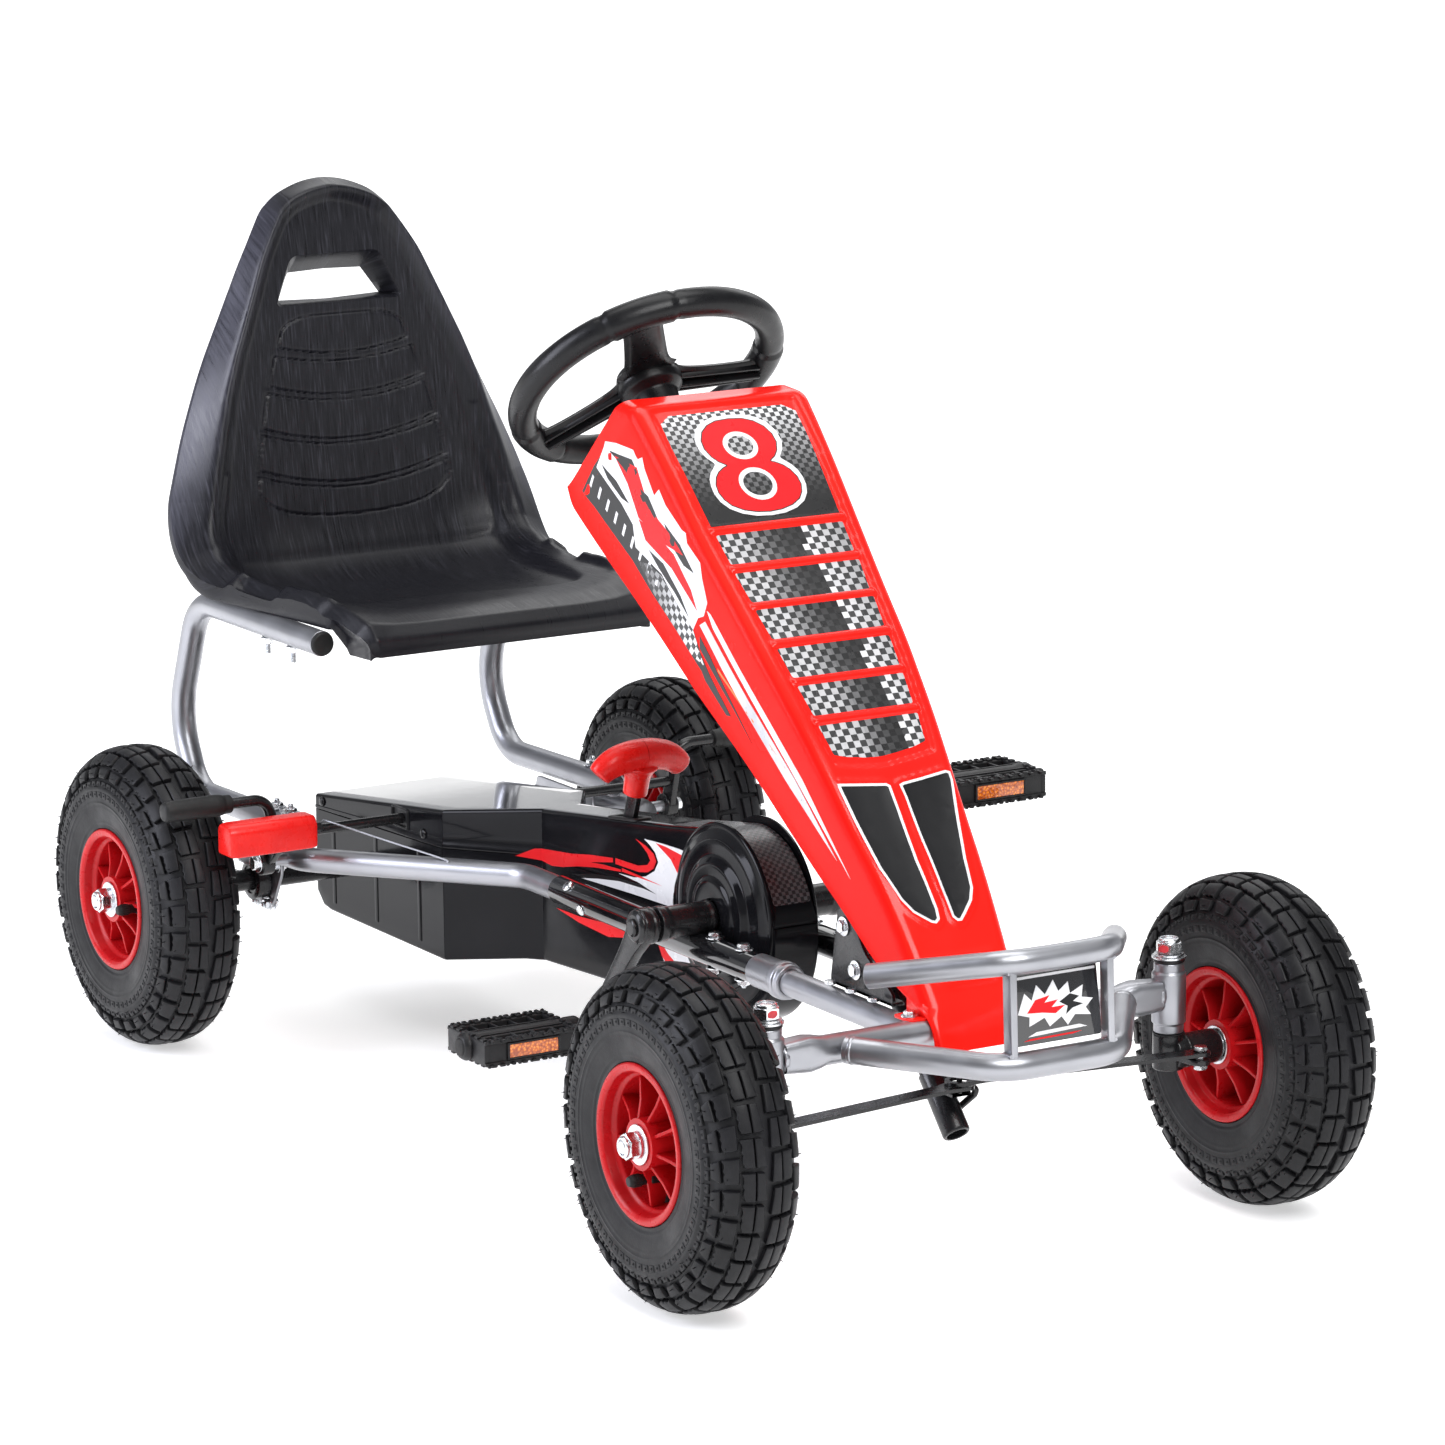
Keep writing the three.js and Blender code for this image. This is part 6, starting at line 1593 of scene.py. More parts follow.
def seat_rd(s):
    return np.interp(s, [0, 60, 110, 200, 262, 300, 350, 401, 439, 479, 513, 560, 600, 636], [9, 9, 11, 13, 20, 31, 31, 26, 19, 14, 12, 10.5, 11, 12])


def seat_lift(s, D):
    """Height of the face against the centre line, D mm in from the outline."""
    R = seat_rd(s)
    drop = np.interp(s, [0, 40, 110, 240, 300, 350, 420, 480, 560, 636], [9, 12, 12, 14, 24, 32, 32, 29, 20, 14])
    ridge = np.interp(s, [0, 90, 180, 290, 350, 480, 626], [0.0, 0.4, 1.5, 4.0, 5.0, 5.2, 5.0])
    u = np.clip(D / R, 0, 1)
    roll = -drop + (drop + ridge) * np.where(u < 0.7, 1.176 * u, 1 - 1.967 * (1 - u) ** 2)
    fall = np.interp(s, [0, 180, 290, 400, 626], [30, 30, 20, 17, 13])
    v = np.clip((D - R) / fall, 0, 1)
    v = v * v * (3 - 2 * v)
    deep = np.interp(s, [0, 60, 200, 300, 450, 626], [-0.6, -1.5, -3.0, -3.5, -3.6, -3.2])
    return np.where(D < R, roll, ridge + (deep - ridge) * v)


# distance from the outline for every grid point
out_s = np.concatenate([fine, [top_s + 0.5]])
rs = np.concatenate([fine[fine < 555], tip_s[(tip_s >= 555) & (tip_s < top_s)], [top_s]])
ring = np.concatenate([np.stack([rs, SW(rs)], 1), [[top_s, 0]], np.stack([rs, -SW(rs)], 1)[::-1]])
hole_hw = lambda s: np.interp(s, [515.5, 559.5], [63.5, 43.5])
H0, H1, HR = 515.5, 559.5, 7.0


def hole_half(s):
    w = hole_hw(np.clip(s, H0, H1))
    d = np.minimum(np.abs(s - H0), np.abs(H1 - s))
    return w - np.where(d < HR, HR - np.sqrt(np.maximum(0, HR ** 2 - (HR - d) ** 2)), 0.0)


C0 = 0.53
sst = np.unique(np.concatenate([sst[(sst < H0 - 0.5) | (sst > H1 + 0.5)], np.linspace(H0, H1, 37), H0 + HR * (1 - np.cos(np.linspace(0.1, 1.4, 5))), H1 - HR * (1 - np.cos(np.linspace(0.1, 1.4, 5)))]))
ic = np.concatenate([np.linspace(0, C0, 45), C0 + (1 - C0) * (1 - (1 - np.linspace(0, 1, 34)[1:]) ** 1.35)])
ic = np.concatenate([-ic[::-1][:-1], ic])
jL, jR = int(np.argmin(np.abs(ic + C0))), int(np.argmin(np.abs(ic - C0)))
Sg = np.repeat(sst[:, None], len(ic), 1)
wS = SW(sst)[:, None]
tgt = C0 * wS
bl = np.clip(1 - np.maximum(np.maximum(H0 - sst, sst - H1), 0) / 26.0, 0, 1)[:, None]
bl = bl * bl * (3 - 2 * bl)
hh = np.where((sst >= H0) & (sst <= H1), hole_half(sst), np.where(sst < H0, hole_half(np.full_like(sst, H0)), hole_half(np.full_like(sst, H1))))[:, None]
tgt = tgt * (1 - bl) + hh * bl
ac = np.abs(ic)[None, :]
Yg = np.where(ac <= C0, ac / C0 * tgt, tgt + (ac - C0) / (1 - C0) * (wS - tgt)) * np.sign(ic)[None, :]
flat = np.stack([Sg.ravel(), Yg.ravel()], 1)
Dg = np.full(len(flat), 1e9)
for a, b in zip(ring, np.roll(ring, -1, 0)):
    ab = b - a
    L = max(float(ab @ ab), 1e-9)
    if math.sqrt(L) > 60:
        continue
    t = np.clip(((flat - a) @ ab) / L, 0, 1)
    Dg = np.minimum(Dg, np.hypot(*(flat - a - t[:, None] * ab).T))
# the front edge counts as outline too
Dg = np.minimum(Dg, np.where(np.abs(flat[:, 1]) < 140, flat[:, 0] + 0.0, 1e9))
Dg = Dg.reshape(Sg.shape)


def seat_points(S, Y, D, lift, relief=True):
    c = np.stack([np.interp(S.ravel(), fine, cv[:, k]) for k in range(5)], 1)
    tn = np.stack([np.interp(S.ravel(), fine, tang[:, k]) for k in range(2)], 1)
    w = SW(S.ravel())
    e = np.clip((np.abs(Y.ravel()) / np.maximum(w, 1) - 0.45) / 0.5, 0, 1.1) ** 2
    n = np.stack([tn[:, 1], -tn[:, 0]], 1)
    front = S.ravel() < 22
    h = seat_lift(S.ravel(), D.ravel()) + lift
    # the front lip is already turned down, so the rolled edge is milder there
    h = np.where(S.ravel() < 30, h * np.clip(S.ravel() / 30, 0.0, 1) + lift * (1 - np.clip(S.ravel() / 30, 0, 1)), h)
    if relief:
        h = h + SR.at(S.ravel(), Y.ravel())
    x = c[:, 0] + n[:, 0] * h + c[:, 3] * e
    z = c[:, 1] + n[:, 1] * h + c[:, 4] * e
    # n points to the driver: forwards on the back, upwards on the pan
    return np.stack([x, Y.ravel(), z], 1).reshape(*S.shape, 3)


outer = seat_points(Sg, Yg, Dg, 0.0)
# flange turned back and down all round the outline
def flange(edge, depth_fn):
    return [(p, depth_fn(p)) for p in edge]


# normals for the reverse side
du = np.gradient(outer, axis=0)
dv = np.gradient(outer, axis=1)
nn = np.cross(du, dv)
ln = np.linalg.norm(nn, axis=2, keepdims=True)
nn = nn / np.where(ln > 1e-9, ln, 1)
ref = outer[len(sst) // 2, len(ic) // 2]
if nn[len(sst) // 2, len(ic) // 2][0] < 0:
    nn = -nn
nn = blur(blur(nn, 2.0, 0), 2.0, 1)
nn /= np.maximum(np.linalg.norm(nn, axis=2, keepdims=True), 1e-9)
innr = outer - nn * 3.6
cells = np.zeros((len(sst) - 1, len(ic) - 1), bool)
i0, i1 = int(np.argmin(np.abs(sst - H0))), int(np.argmin(np.abs(sst - H1)))
cells[i0:i1, jL:jR] = True
part = shell(outer, innr, cells)
uvs = np.zeros((len(part[0]), 2), np.float32)
gs = np.stack([Yg.ravel() / 1000, Sg.ravel() / 1000], 1)
uvs[:len(gs)] = gs
uvs[len(gs):2 * len(gs)] = gs
g = Geo()
g.put(part)
# walls of the hand hole, which slope to a smaller opening at the back
loop_ij = [(i0, j) for j in range(jL, jR)] + [(i, jR) for i in range(i0, i1)] + [(i1, j) for j in range(jR, jL, -1)] + [(i, jL) for i in range(i1, i0, -1)]
B = np.array([outer[i, j] for i, j in loop_ij])
NB = np.array([nn[i, j] for i, j in loop_ij])
cen = B.mean(0)
rad = B - cen
SB = np.array([[Sg[i, j], Yg[i, j]] for i, j in loop_ij])
axis = NB.mean(0)
axis /= np.linalg.norm(axis)
rad -= np.outer(rad @ axis, axis)
tb = np.roll(B, -1, 0) - np.roll(B, 1, 0)
inw = np.cross(axis, tb)
inw /= np.linalg.norm(inw, axis=1)[:, None]
if ((cen - B) * inw).sum() < 0:
    inw = -inw
upk = np.clip((SB[:, 0] - H0) / (H1 - H0), 0, 1)
lean = 2.0 + 9.0 * upk + 2.0 * np.abs(SB[:, 1]) / 60
rowsW = [(0.0, 0.0, -0.2), (0.25, 0.35, 0), (0.9, 1.3, 0), (2.2, 3.2, 0)]
W = []
for a, d, _ in rowsW:
    W.append(B + inw * a - axis * d)
for t in (0.35, 0.7, 1.0):
    W.append(B + inw * (2.2 + lean * t)[:, None] - axis * (3.2 + 22 * t))
W.append(B + inw * (1.0 + lean)[:, None] - axis * 27.0)
W.append(B + inw * (-1.5 + lean * 0.6)[:, None] - axis * 27.0)
W.append(B - inw * 2.5 - axis * 12)
W.append(B - inw * 2.5 - axis * 3.0)
n = len(B)
verts, faces = [], []
for r in W:
    verts += [tuple(p) for p in r]
for a in range(len(W)):
    b = (a + 1) % len(W)
    for j in range(n):
        k = (j + 1) % n
        faces.append((a * n + j, a * n + k, b * n + k, b * n + j))
g.put((verts, faces))
base_uv = np.stack([SB[:, 1] / 1000, SB[:, 0] / 1000], 1)
uvs = np.concatenate([uvs] + [base_uv + [0, 0.004 * k] for k in range(len(W))])
# flange under the outline: follows the edge, hanging back or down by its depth
edge_ij = [(i, len(ic) - 1) for i in range(0, len(sst))] + [(i, 0) for i in range(len(sst) - 1, -1, -1)]
E = np.array([outer[i, j] for i, j in edge_ij])
sE = np.array([sst[i] for i, j in edge_ij])
run = np.concatenate([[0], np.cumsum(np.linalg.norm(np.diff(E, axis=0), axis=1))])
keep = np.concatenate([[True], np.diff(run) > 1e-4])
at_ = np.linspace(0, run[-1], int(run[-1] / 3.5))
E = np.stack([np.interp(at_, run[keep], E[keep][:, k]) for k in range(3)], 1)
sE = np.interp(at_, run[keep], sE[keep])
tn = np.stack([np.interp(sE, fine, tang[:, k]) for k in range(2)], 1)
back = np.stack([-tn[:, 1], np.zeros(len(sE)), tn[:, 0]], 1)
back = blur(back, 2.0)
back /= np.linalg.norm(back, axis=1)[:, None]
dep = np.interp(sE, [0, 20, 60, 120, 250, 300, 360, 420, 520, 600, 640], [2, 5, 8, 9, 10, 9, 6, 5, 5, 5, 5])
pan = np.clip((sE + 2) / 6, 0, 1) * np.clip((290 - sE) / 30, 0, 1)
dep = np.interp(sE, [0, 530, 596, 640], [1, 1, 0.06, 0.06]) * dep
lowz = np.interp(sE, [0, 10, 30, 68, 78, 100], [351.0, 351.5, 351.0, 349.5, 371.2, 371.2])
dep = dep * (1 - pan) + np.clip(E[:, 2] - lowz, 3, 40) * pan
ow = np.interp(sE, [0, 520, 575, 640], [1, 1, 0, 0])[:, None]
down = np.array([0, 0, -1.0])
back = back * (1 - pan[:, None]) + down * pan[:, None]
back /= np.linalg.norm(back, axis=1)[:, None]
tan3 = blur(np.gradient(E, axis=0), 1.5)
outw = np.cross(tan3, back)
outw /= np.maximum(np.linalg.norm(outw, axis=1)[:, None], 1e-9)
outw = blur(outw, 1.5)
outw /= np.maximum(np.linalg.norm(outw, axis=1)[:, None], 1e-9)
if (outw[:, 1] * E[:, 1]).sum() < 0:
    outw = -outw
ins = np.interp(sE, [0, 6, 20, 60, 70, 80], [1.0, 3.0, 7, 12.5, 12.5, 0])[:, None]
EI = E - outw * ins
rows = [E + back * 0.0 + outw * -0.05, EI + back * (dep * 0.5)[:, None] + outw * (0.5 * ow - 0.25), EI + back * (dep * 0.86)[:, None] + outw * (0.9 * ow - 0.5), EI + back * dep[:, None] + outw * (0.2 * ow - 0.6), EI + back * dep[:, None] - outw * 2.4, EI + back * (dep * 0.8)[:, None] - outw * 3.0, EI + back * (dep * 0.5)[:, None] - outw * 3.0, E - outw * 2.6 + back * 0.6]
# one strip up each side: it dies out below the crest
low = np.where(sE <= 597.0)[0]
brk = int(np.argmax(np.diff(low)))
for idx in (low[:brk + 1], low[brk + 1:]):
    n = len(idx)
    verts, faces = [], []
    for r in rows:
        verts += [tuple(p) for p in r[idx]]
    for a in range(len(rows)):
        b = (a + 1) % len(rows)
        for j in range(n - 1):
            faces.append((a * n + j, a * n + j + 1, b * n + j + 1, b * n + j))
    faces.append(tuple(a * n for a in range(len(rows))))
    faces.append(tuple(a * n + n - 1 for a in range(len(rows)))[::-1])
    g.put((verts, faces))
    eu = np.stack([E[idx, 1] / 1000, sE[idx] / 1000], 1)
    uvs = np.concatenate([uvs] + [eu + [0.003 * k, 0] for k in range(len(rows))])
add("seat_moulding", g, "seat", "seat", "seat_shell", angle=52, uv=uvs)

# ----------------------------------------------------------------- chain case
CRX, CRZ = 568.0, 198.0
seam_z = lambda x: 172 + 26 * (x + 62) / 630.0
DCX, DCZ, DR = 566.0, 187.0, 79.0


def case_top(x):
    if x < 558.1:
        return float(np.interp(x, [-62, -54, 480, 558.1], [172, 185.1, 253.44, 265.6]))
    return DCZ + math.sqrt(max(0, DR ** 2 - (x - DCX) ** 2))


def case_low(x):
    if x < 562:
        return float(np.interp(x, [-62, -40, 180, 250, 380, 562], [104, 83.5, 83.5, 94, 101, 108.1]))
    return DCZ - math.sqrt(max(0, DR ** 2 - (x - DCX) ** 2))


case_half = lambda x: float(np.interp(x, [-62, -54, 184, 268, 700], [58, 70, 70, 20, 20]))
cxs = [-62, -61.6, -61, -59, -56, -54.4, -53.4, -51] + list(np.arange(-42, 180, 13)) + [180, 182.6, 183.4, 184, 184.6, 185.6, 188] + list(np.arange(196, 262, 11)) + [264, 266.6, 267.4, 268, 268.6, 269.6, 272]
cxs += list(np.arange(284, 548, 12)) + [552, 556] + [DCX + DR * math.sin(t) for t in np.linspace(-0.06, pi / 2 - 0.012, 44)]


def case_skin(up):
    rows, xs = [], []
    for x in cxs:
        W, zt, zb, sm_ = case_half(x), case_top(x), case_low(x), seam_z(x)
        end = min(1.0, max(0.0, (x + 62) / 1.4))
        W -= 1.2 * (1 - math.sqrt(max(0, 1 - (1 - end) ** 2)))
        zt -= 1.2 * (1 - math.sqrt(max(0, 1 - (1 - end) ** 2)))
        if up:
            lo_, hi_ = sm_ + 0.35, zt
        else:
            lo_, hi_ = zb, min(sm_ - 0.35, zt)
        H = hi_ - lo_
        if H < 0.6:
            continue
        r = min(3.2, H * 0.35, W * 0.3)
        lipz = min(4.5, H * 0.22)
        half = []
        arcs = [(W - r + r * math.cos(t), r * math.sin(t)) for t in np.linspace(0, pi / 2, 6)]
        if up:
            half = [(W - 3.0, lo_), (W + 0.35, lo_), (W + 0.55, lo_ + 0.3), (W + 0.55, lo_ + lipz * 0.8), (W, lo_ + lipz)]
            half += [(W, lo_ + lipz + (H - r - lipz) * t) for t in (0.33, 0.66)]
            half += [(y, hi_ - r + dz) for y, dz in arcs]
            half += [((W - r) * t, hi_ + 0.0) for t in (0.8, 0.5, 0.2)]
        else:
            half = [(W - 3.0, hi_), (W - 0.6, hi_), (W, hi_ - 0.6), (W, hi_ - lipz)]
            half += [(W, hi_ - lipz - (H - r - lipz) * t) for t in (0.3, 0.6, 0.85)]
            half += [(y, lo_ + r - dz) for y, dz in arcs]
            half += [((W - r) * t, lo_) for t in (0.8, 0.5, 0.2)]
        rows.append([(x, y, z) for y, z in half] + [(x, -y, z) for y, z in half[::-1]])
        xs.append(x)
    n = len(rows[0])
    verts = [p for r in rows for p in r]
    faces = []
    for i in range(len(rows) - 1):
        for j in range(n):
            u = (j + 1) % n
            faces.append((i * n + j, i * n + u, (i + 1) * n + u, (i + 1) * n + j))
    faces.append(tuple(range(n)))
    faces.append(tuple((len(rows) - 1) * n + j for j in range(n))[::-1])
    return verts, faces


for name, up in (("cover", True), ("lower", False)):
    g = Geo()
    g.put(case_skin(up))
    if up:
        # outlines of the brake rod slots; this loop adds nothing, the frames are built further down
        for s in (1, -1):
            fr = [(95, 187.5), (121, 187.5), (121, 202.5), (95, 202.5)]
            o, i = soften([(92, 184.8), (124, 184.8), (124, 204.6), (92, 204.6)], 3, 4), soften(fr, 2, 4)
            for k in range(len(o)):
                pass
        top = lambda x: case_top(x)
    else:
        for s in (1, -1):
            # upright ribs pressed into the wide part
            for x in (-20, 60, 140):
                g.put(plateY(soften([(x - 3, 92), (x + 3, 92), (x + 3, 164 + (x + 62) * 0.04), (x - 3, 164 + (x + 62) * 0.04)], 1.4, 3), s * 69.0, s * 70.6, 0.5))
        # pads underneath
        for x in (10, 110):
            g.put(prism(soften([(x - 14, -30), (x + 14, -30), (x + 14, 30), (x - 14, 30)], 4, 4), 82.4, 84.0, 0.6))
    ob = add(f"case_{name}_moulding", g, "black_gloss", "chassis", f"chain_case_{name}", angle=32)
    # faces that do not face up take the darker, duller side copy of the gloss black: painted shade
    ob.data.materials.append(MT["case_side"])
    for p in ob.data.polygons:
        p.material_index = 0 if p.normal.z > 0.8 else 1

# dark surrounds of the two slots, and the plate that closes round the lever
g = Geo()
for s in (1, -1):
    o = soften([(93, 185.6), (123, 185.6), (123, 204.2), (93, 204.2)], 3.0, 4)
    i = soften([(95.5, 188), (120.5, 188), (120.5, 202), (95.5, 202)], 2.0, 4)
    n = len(o)
    rows = [[(x, s * 69.6, z) for x, z in o], [(x, s * 71.4, z) for x, z in inset(o, 0.4)], [(x, s * 71.8, z) for x, z in inset(o, 1.0)], [(x, s * 71.6, z) for x, z in inset(i, -0.4)], [(x, s * 70.9, z) for x, z in i], [(x, s * 69.6, z) for x, z in i]]
    verts = [p for r in rows for p in r]
    faces = []
    for a in range(len(rows)):
        b = (a + 1) % len(rows)
        for j in range(n):
            k = (j + 1) % n
            faces.append((a * n + j, a * n + k, b * n + k, b * n + j))
    g.put((verts, faces))
    g.put(plateY(i, s * 69.4, s * 70.15, 0.1))
sl = math.atan(0.128)
mt = Matrix.Translation((403, -12, case_top(403))) @ Matrix.Rotation(-sl, 4, "Y")
ro = soften([(-24, -9), (24, -9), (24, 9), (-24, 9)], 5, 5)
ri = soften([(-18.5, -4.2), (18.5, -4.2), (18.5, 4.2), (-18.5, 4.2)], 3, 5)
n = len(ro)
rows = [[(x, y, -0.6) for x, y in ro], [(x, y, 1.0) for x, y in ro], [(x, y, 1.6) for x, y in inset(ro, 0.8)], [(x, y, 1.6) for x, y in inset(ri, -0.6)], [(x, y, 1.0) for x, y in ri], [(x, y, -0.6) for x, y in ri]]
verts = [p for r in rows for p in r]
faces = []
for a in range(len(rows)):
    b = (a + 1) % len(rows)
    for j in range(n):
        k = (j + 1) % n
        faces.append((a * n + j, a * n + k, b * n + k, b * n + j))
g.put(moved((verts, faces), mt))
g.put(moved(prism(ri, -0.5, 0.35, 0.1, 1), mt))
add("case_slot_frames", g, "black_plastic", "chassis", angle=35)

# screws that hold the two halves
g = Geo()
for s in (1, -1):
    for x, z in ((-40, 180.5), (150, 188.5)):
        y = case_half(x) + 0.2
        if x > 400 or x < 200 or True:
            p = (x, s * y, z)
            g.put(turned(rounded([(0, 0), (4.4, 0), (4.0, 1.4), (2.4, 2.2), (0, 2.3)], 0.5), p, (x, s * (y + 5), z), 24))
            g.put(turned([(0, 2.15), (1.3, 2.15), (1.3, 2.5), (0, 2.5)], p, (x, s * (y + 5), z), 6))
add("case_screws", g, "black_paint", "chassis", angle=35)

for tag, s in (("left", 1), ("right", -1)):
    g = Geo()
    pr = [(74.6, 19.4), (74.2, 21.6), (72.6, 22.6), (70.6, 22.9), (67.6, 23.6), (62.4, 25.6), (61.4, 26.2), (60.4, 26.0), (57, 25.9), (49.4, 26.6), (47.4, 27.2), (43, 30.6), (41.6, 31.4), (39.8, 31.2), (33.2, 31.2), (31.2, 31.8), (29.0, 33.0), (26.5, 33.6), (14.4, 33.6), (13.2, 32.8), (13.2, 31.0), (11.7, 31.0), (11.7, 19.4)]
    g.put(turned(rounded([(r, h) for r, h in pr], 1.0) , (CRX, 0, CRZ), (CRX, s * 10, CRZ), 96, closed=True))
    # the domes take the darker, duller side copy of the gloss black: painted shade
    add(f"case_dome_{tag}", g, "case_side", "chassis", f"crank_dome_{tag}", angle=40)

# printed films on the case
def case_map(s):
    def f(x, z, lift):
        x, z = np.atleast_1d(np.asarray(x, float)), np.atleast_1d(np.asarray(z, float))
        y = np.interp(x, [-62, -54, 184, 268, 700], [58, 70, 70, 20, 20]) + 0.55 + lift
        return np.stack([x, s * y, z], 1)
    return f


for tag, s in (("right", -1), ("left", 1)):
    F = case_map(s)
    g = Geo()
    L_ = lambda m, P, lift, holes=(): lay(g, m, P, F, lift, holes=list(holes), cut_s=[268.0] if min(p[0] for p in P) < 268 < max(p[0] for p in P) else ())
    L_(0, [(441, 234.6), (470, 236.4), (494, 237.2), (511.5, 236.9), (503, 229.0), (496, 219), (489.5, 206), (486.5, 193), (486.6, 188), (430, 196.2), (398, 197.2), (425, 199.0), (443, 203.6), (457.5, 211.0), (463.5, 219.4), (459, 226.6), (450, 231.4)], 0.08)
    L_(2, [(486.6, 187.5), (420, 185.8), (322, 181.0), (352, 187.6), (392, 193.0), (440, 195.0)], 0.07)
    L_(0, [(484.0, 186.4), (420, 184.4), (336, 180.6), (366, 186.0), (400, 190.8), (440, 192.6), (486.2, 191.0)], 0.10)
    L_(1, [(427, 232), (443, 229.4), (456, 225.0), (460.2, 219.6), (455.6, 212.6), (446, 207.6), (432, 205.0), (393.3, 204.1), (393.4, 209.0), (430, 210.0), (446, 213.8), (450.6, 218.4), (446, 223.6), (437, 228.4)], 0.12)
    L_(1, [(459.7, 235.0), (476, 235.0), (506.1, 232.6), (499, 225.4), (494.4, 216.6), (484, 226.0)], 0.16)
    L_(1, [(246, 183.4), (262, 191.6), (292, 195.0), (320, 198.2), (352, 203.6), (389, 208.2), (389, 204.6), (350, 197.0), (372, 199.4), (402, 201.0), (402, 199.2), (360, 194.4), (330, 189.4), (304, 183.6), (286, 181.0)], 0.12)
    L_(1, [(404, 202.8), (470, 201.0), (404, 199.8)], 0.20)
    # lower half
    L_(1, [(292, 146.0), (330, 146.6), (372, 149.8), (424, 156.8), (420, 146.8), (380, 139.4), (330, 141.4)], 0.08)
    L_(0, [(406, 160.4), (423, 160.4), (427, 156.6), (409, 158.8)], 0.10)
    L_(0, [(452, 166.0), (490, 172.6), (512, 173.0), (560, 158), (600, 149), (592, 136), (560, 124.5), (520, 119.6), (486, 124.0), (470, 140)], 0.08)
    L_(1, [(456, 160), (478, 146), (506, 134), (540, 124.6), (520, 123.0), (490, 127.6), (468, 142)], 0.16)
    L_(1, [(600, 148), (611, 143.6), (603, 133), (584, 124.4), (571, 121.4), (583, 131)], 0.14)
    add(f"case_films_{tag}", g, ["film_white", "film_red", "film_black"], "chassis", angle=30)


def drum_map(t, y, lift):
    """t is the arc length along the rim from the start of the curve, measured forwards."""
    t, y = np.atleast_1d(np.asarray(t, float)), np.atleast_1d(np.asarray(y, float))
    x = np.where(t < 0, 558.1 + t * 0.988, 0)
    z = np.interp(x, [480, 558.1], [253.44, 265.6])
    a = pi / 2 + 0.10 - np.maximum(t, 0) / DR
    r = DR + lift
    X = np.where(t < 0, x - 0.154 * lift, DCX + r * np.cos(a))
    Z = np.where(t < 0, z + 0.988 * lift, DCZ + r * np.sin(a))
    return np.stack([X, y, Z], 1)


g = Geo()
cell = 3.1


def weave(u, v):
    i, j = math.floor(u / cell), math.floor((v + 60) / cell)
    q = 0.115 if (i + j) % 2 == 0 else 0.022
    q *= 0.85 + 0.3 * hashed(i, j, 3)
    return (q, q, q * 1.04)


g_out = soften([(-78, -17.3), (100, -17.3), (100, 17.3), (-78, 17.3)], 3.0, 3)
lay(g, 0, g_out, drum_map, 0.22, cut_s=[float(v) for v in np.arange(-78 + cell, 100, cell)] + [0.0], cut_y=[float(v) for v in np.arange(-60, 60, cell) if -17.2 < v < 17.2], shade=weave, skirt=0.45)
add("drum_weave_film", g, "film_checks", "chassis", angle=30, shades=True)
# two bolts on top of each lower seat leg
for tag, s in (("left", 1), ("right", -1)):
    g = Geo()
    for x in (44, 70):
        bolt(g, (x, s * 156, 201.6), (0, 0, 1), 9.5, 3.6, shank=4.0, r=2.6)
    add(f"seat_leg_bolts_{tag}", g, "zinc", "chassis", angle=30)

# -------------------------------------------------------------- steering wheel
def wheel_frame():
    cT, sT = math.cos(TT), math.sin(TT)
    m = Matrix(((cT, 0, -sT), (0, 1, 0), (sT, 0, cT))).to_4x4()
    m.translation = Vector((418, 0, 610.5))
    return m


# the wheel sits on its column a little turned
WM = wheel_frame() @ Matrix.Rotation(math.radians(-26), 4, "Z")
g = Geo()
NR = 240
secn = 28
verts, faces = [], []
for i in range(NR):
    a = 2 * pi * i / NR
    d = (a + pi) % (2 * pi) - pi
    # thicker sleeves where the spokes join, with a groove at each end
    r = 12.1
    for c0, hw in ((0.0, 0.26), (0.633 * pi, 0.26), (-0.633 * pi, 0.26)):
        q = abs((a - c0 + pi) % (2 * pi) - pi)
        if q < hw:
            r = 13.0
        elif q < hw + 0.028:
            r = 11.5
    for j in range(secn):
        t = 2 * pi * j / secn
        rr = r * (1 - 0.035 * max(0, math.cos(2 * t)))
        verts.append(((106 + rr * math.cos(t)) * math.cos(a), (106 + rr * math.cos(t)) * math.sin(a), rr * math.sin(t)))
for i in range(NR):
    for j in range(secn):
        faces.append((i * secn + j, ((i + 1) % NR) * secn + j, ((i + 1) % NR) * secn + (j + 1) % secn, i * secn + (j + 1) % secn))
g.put(moved((verts, faces), WM))


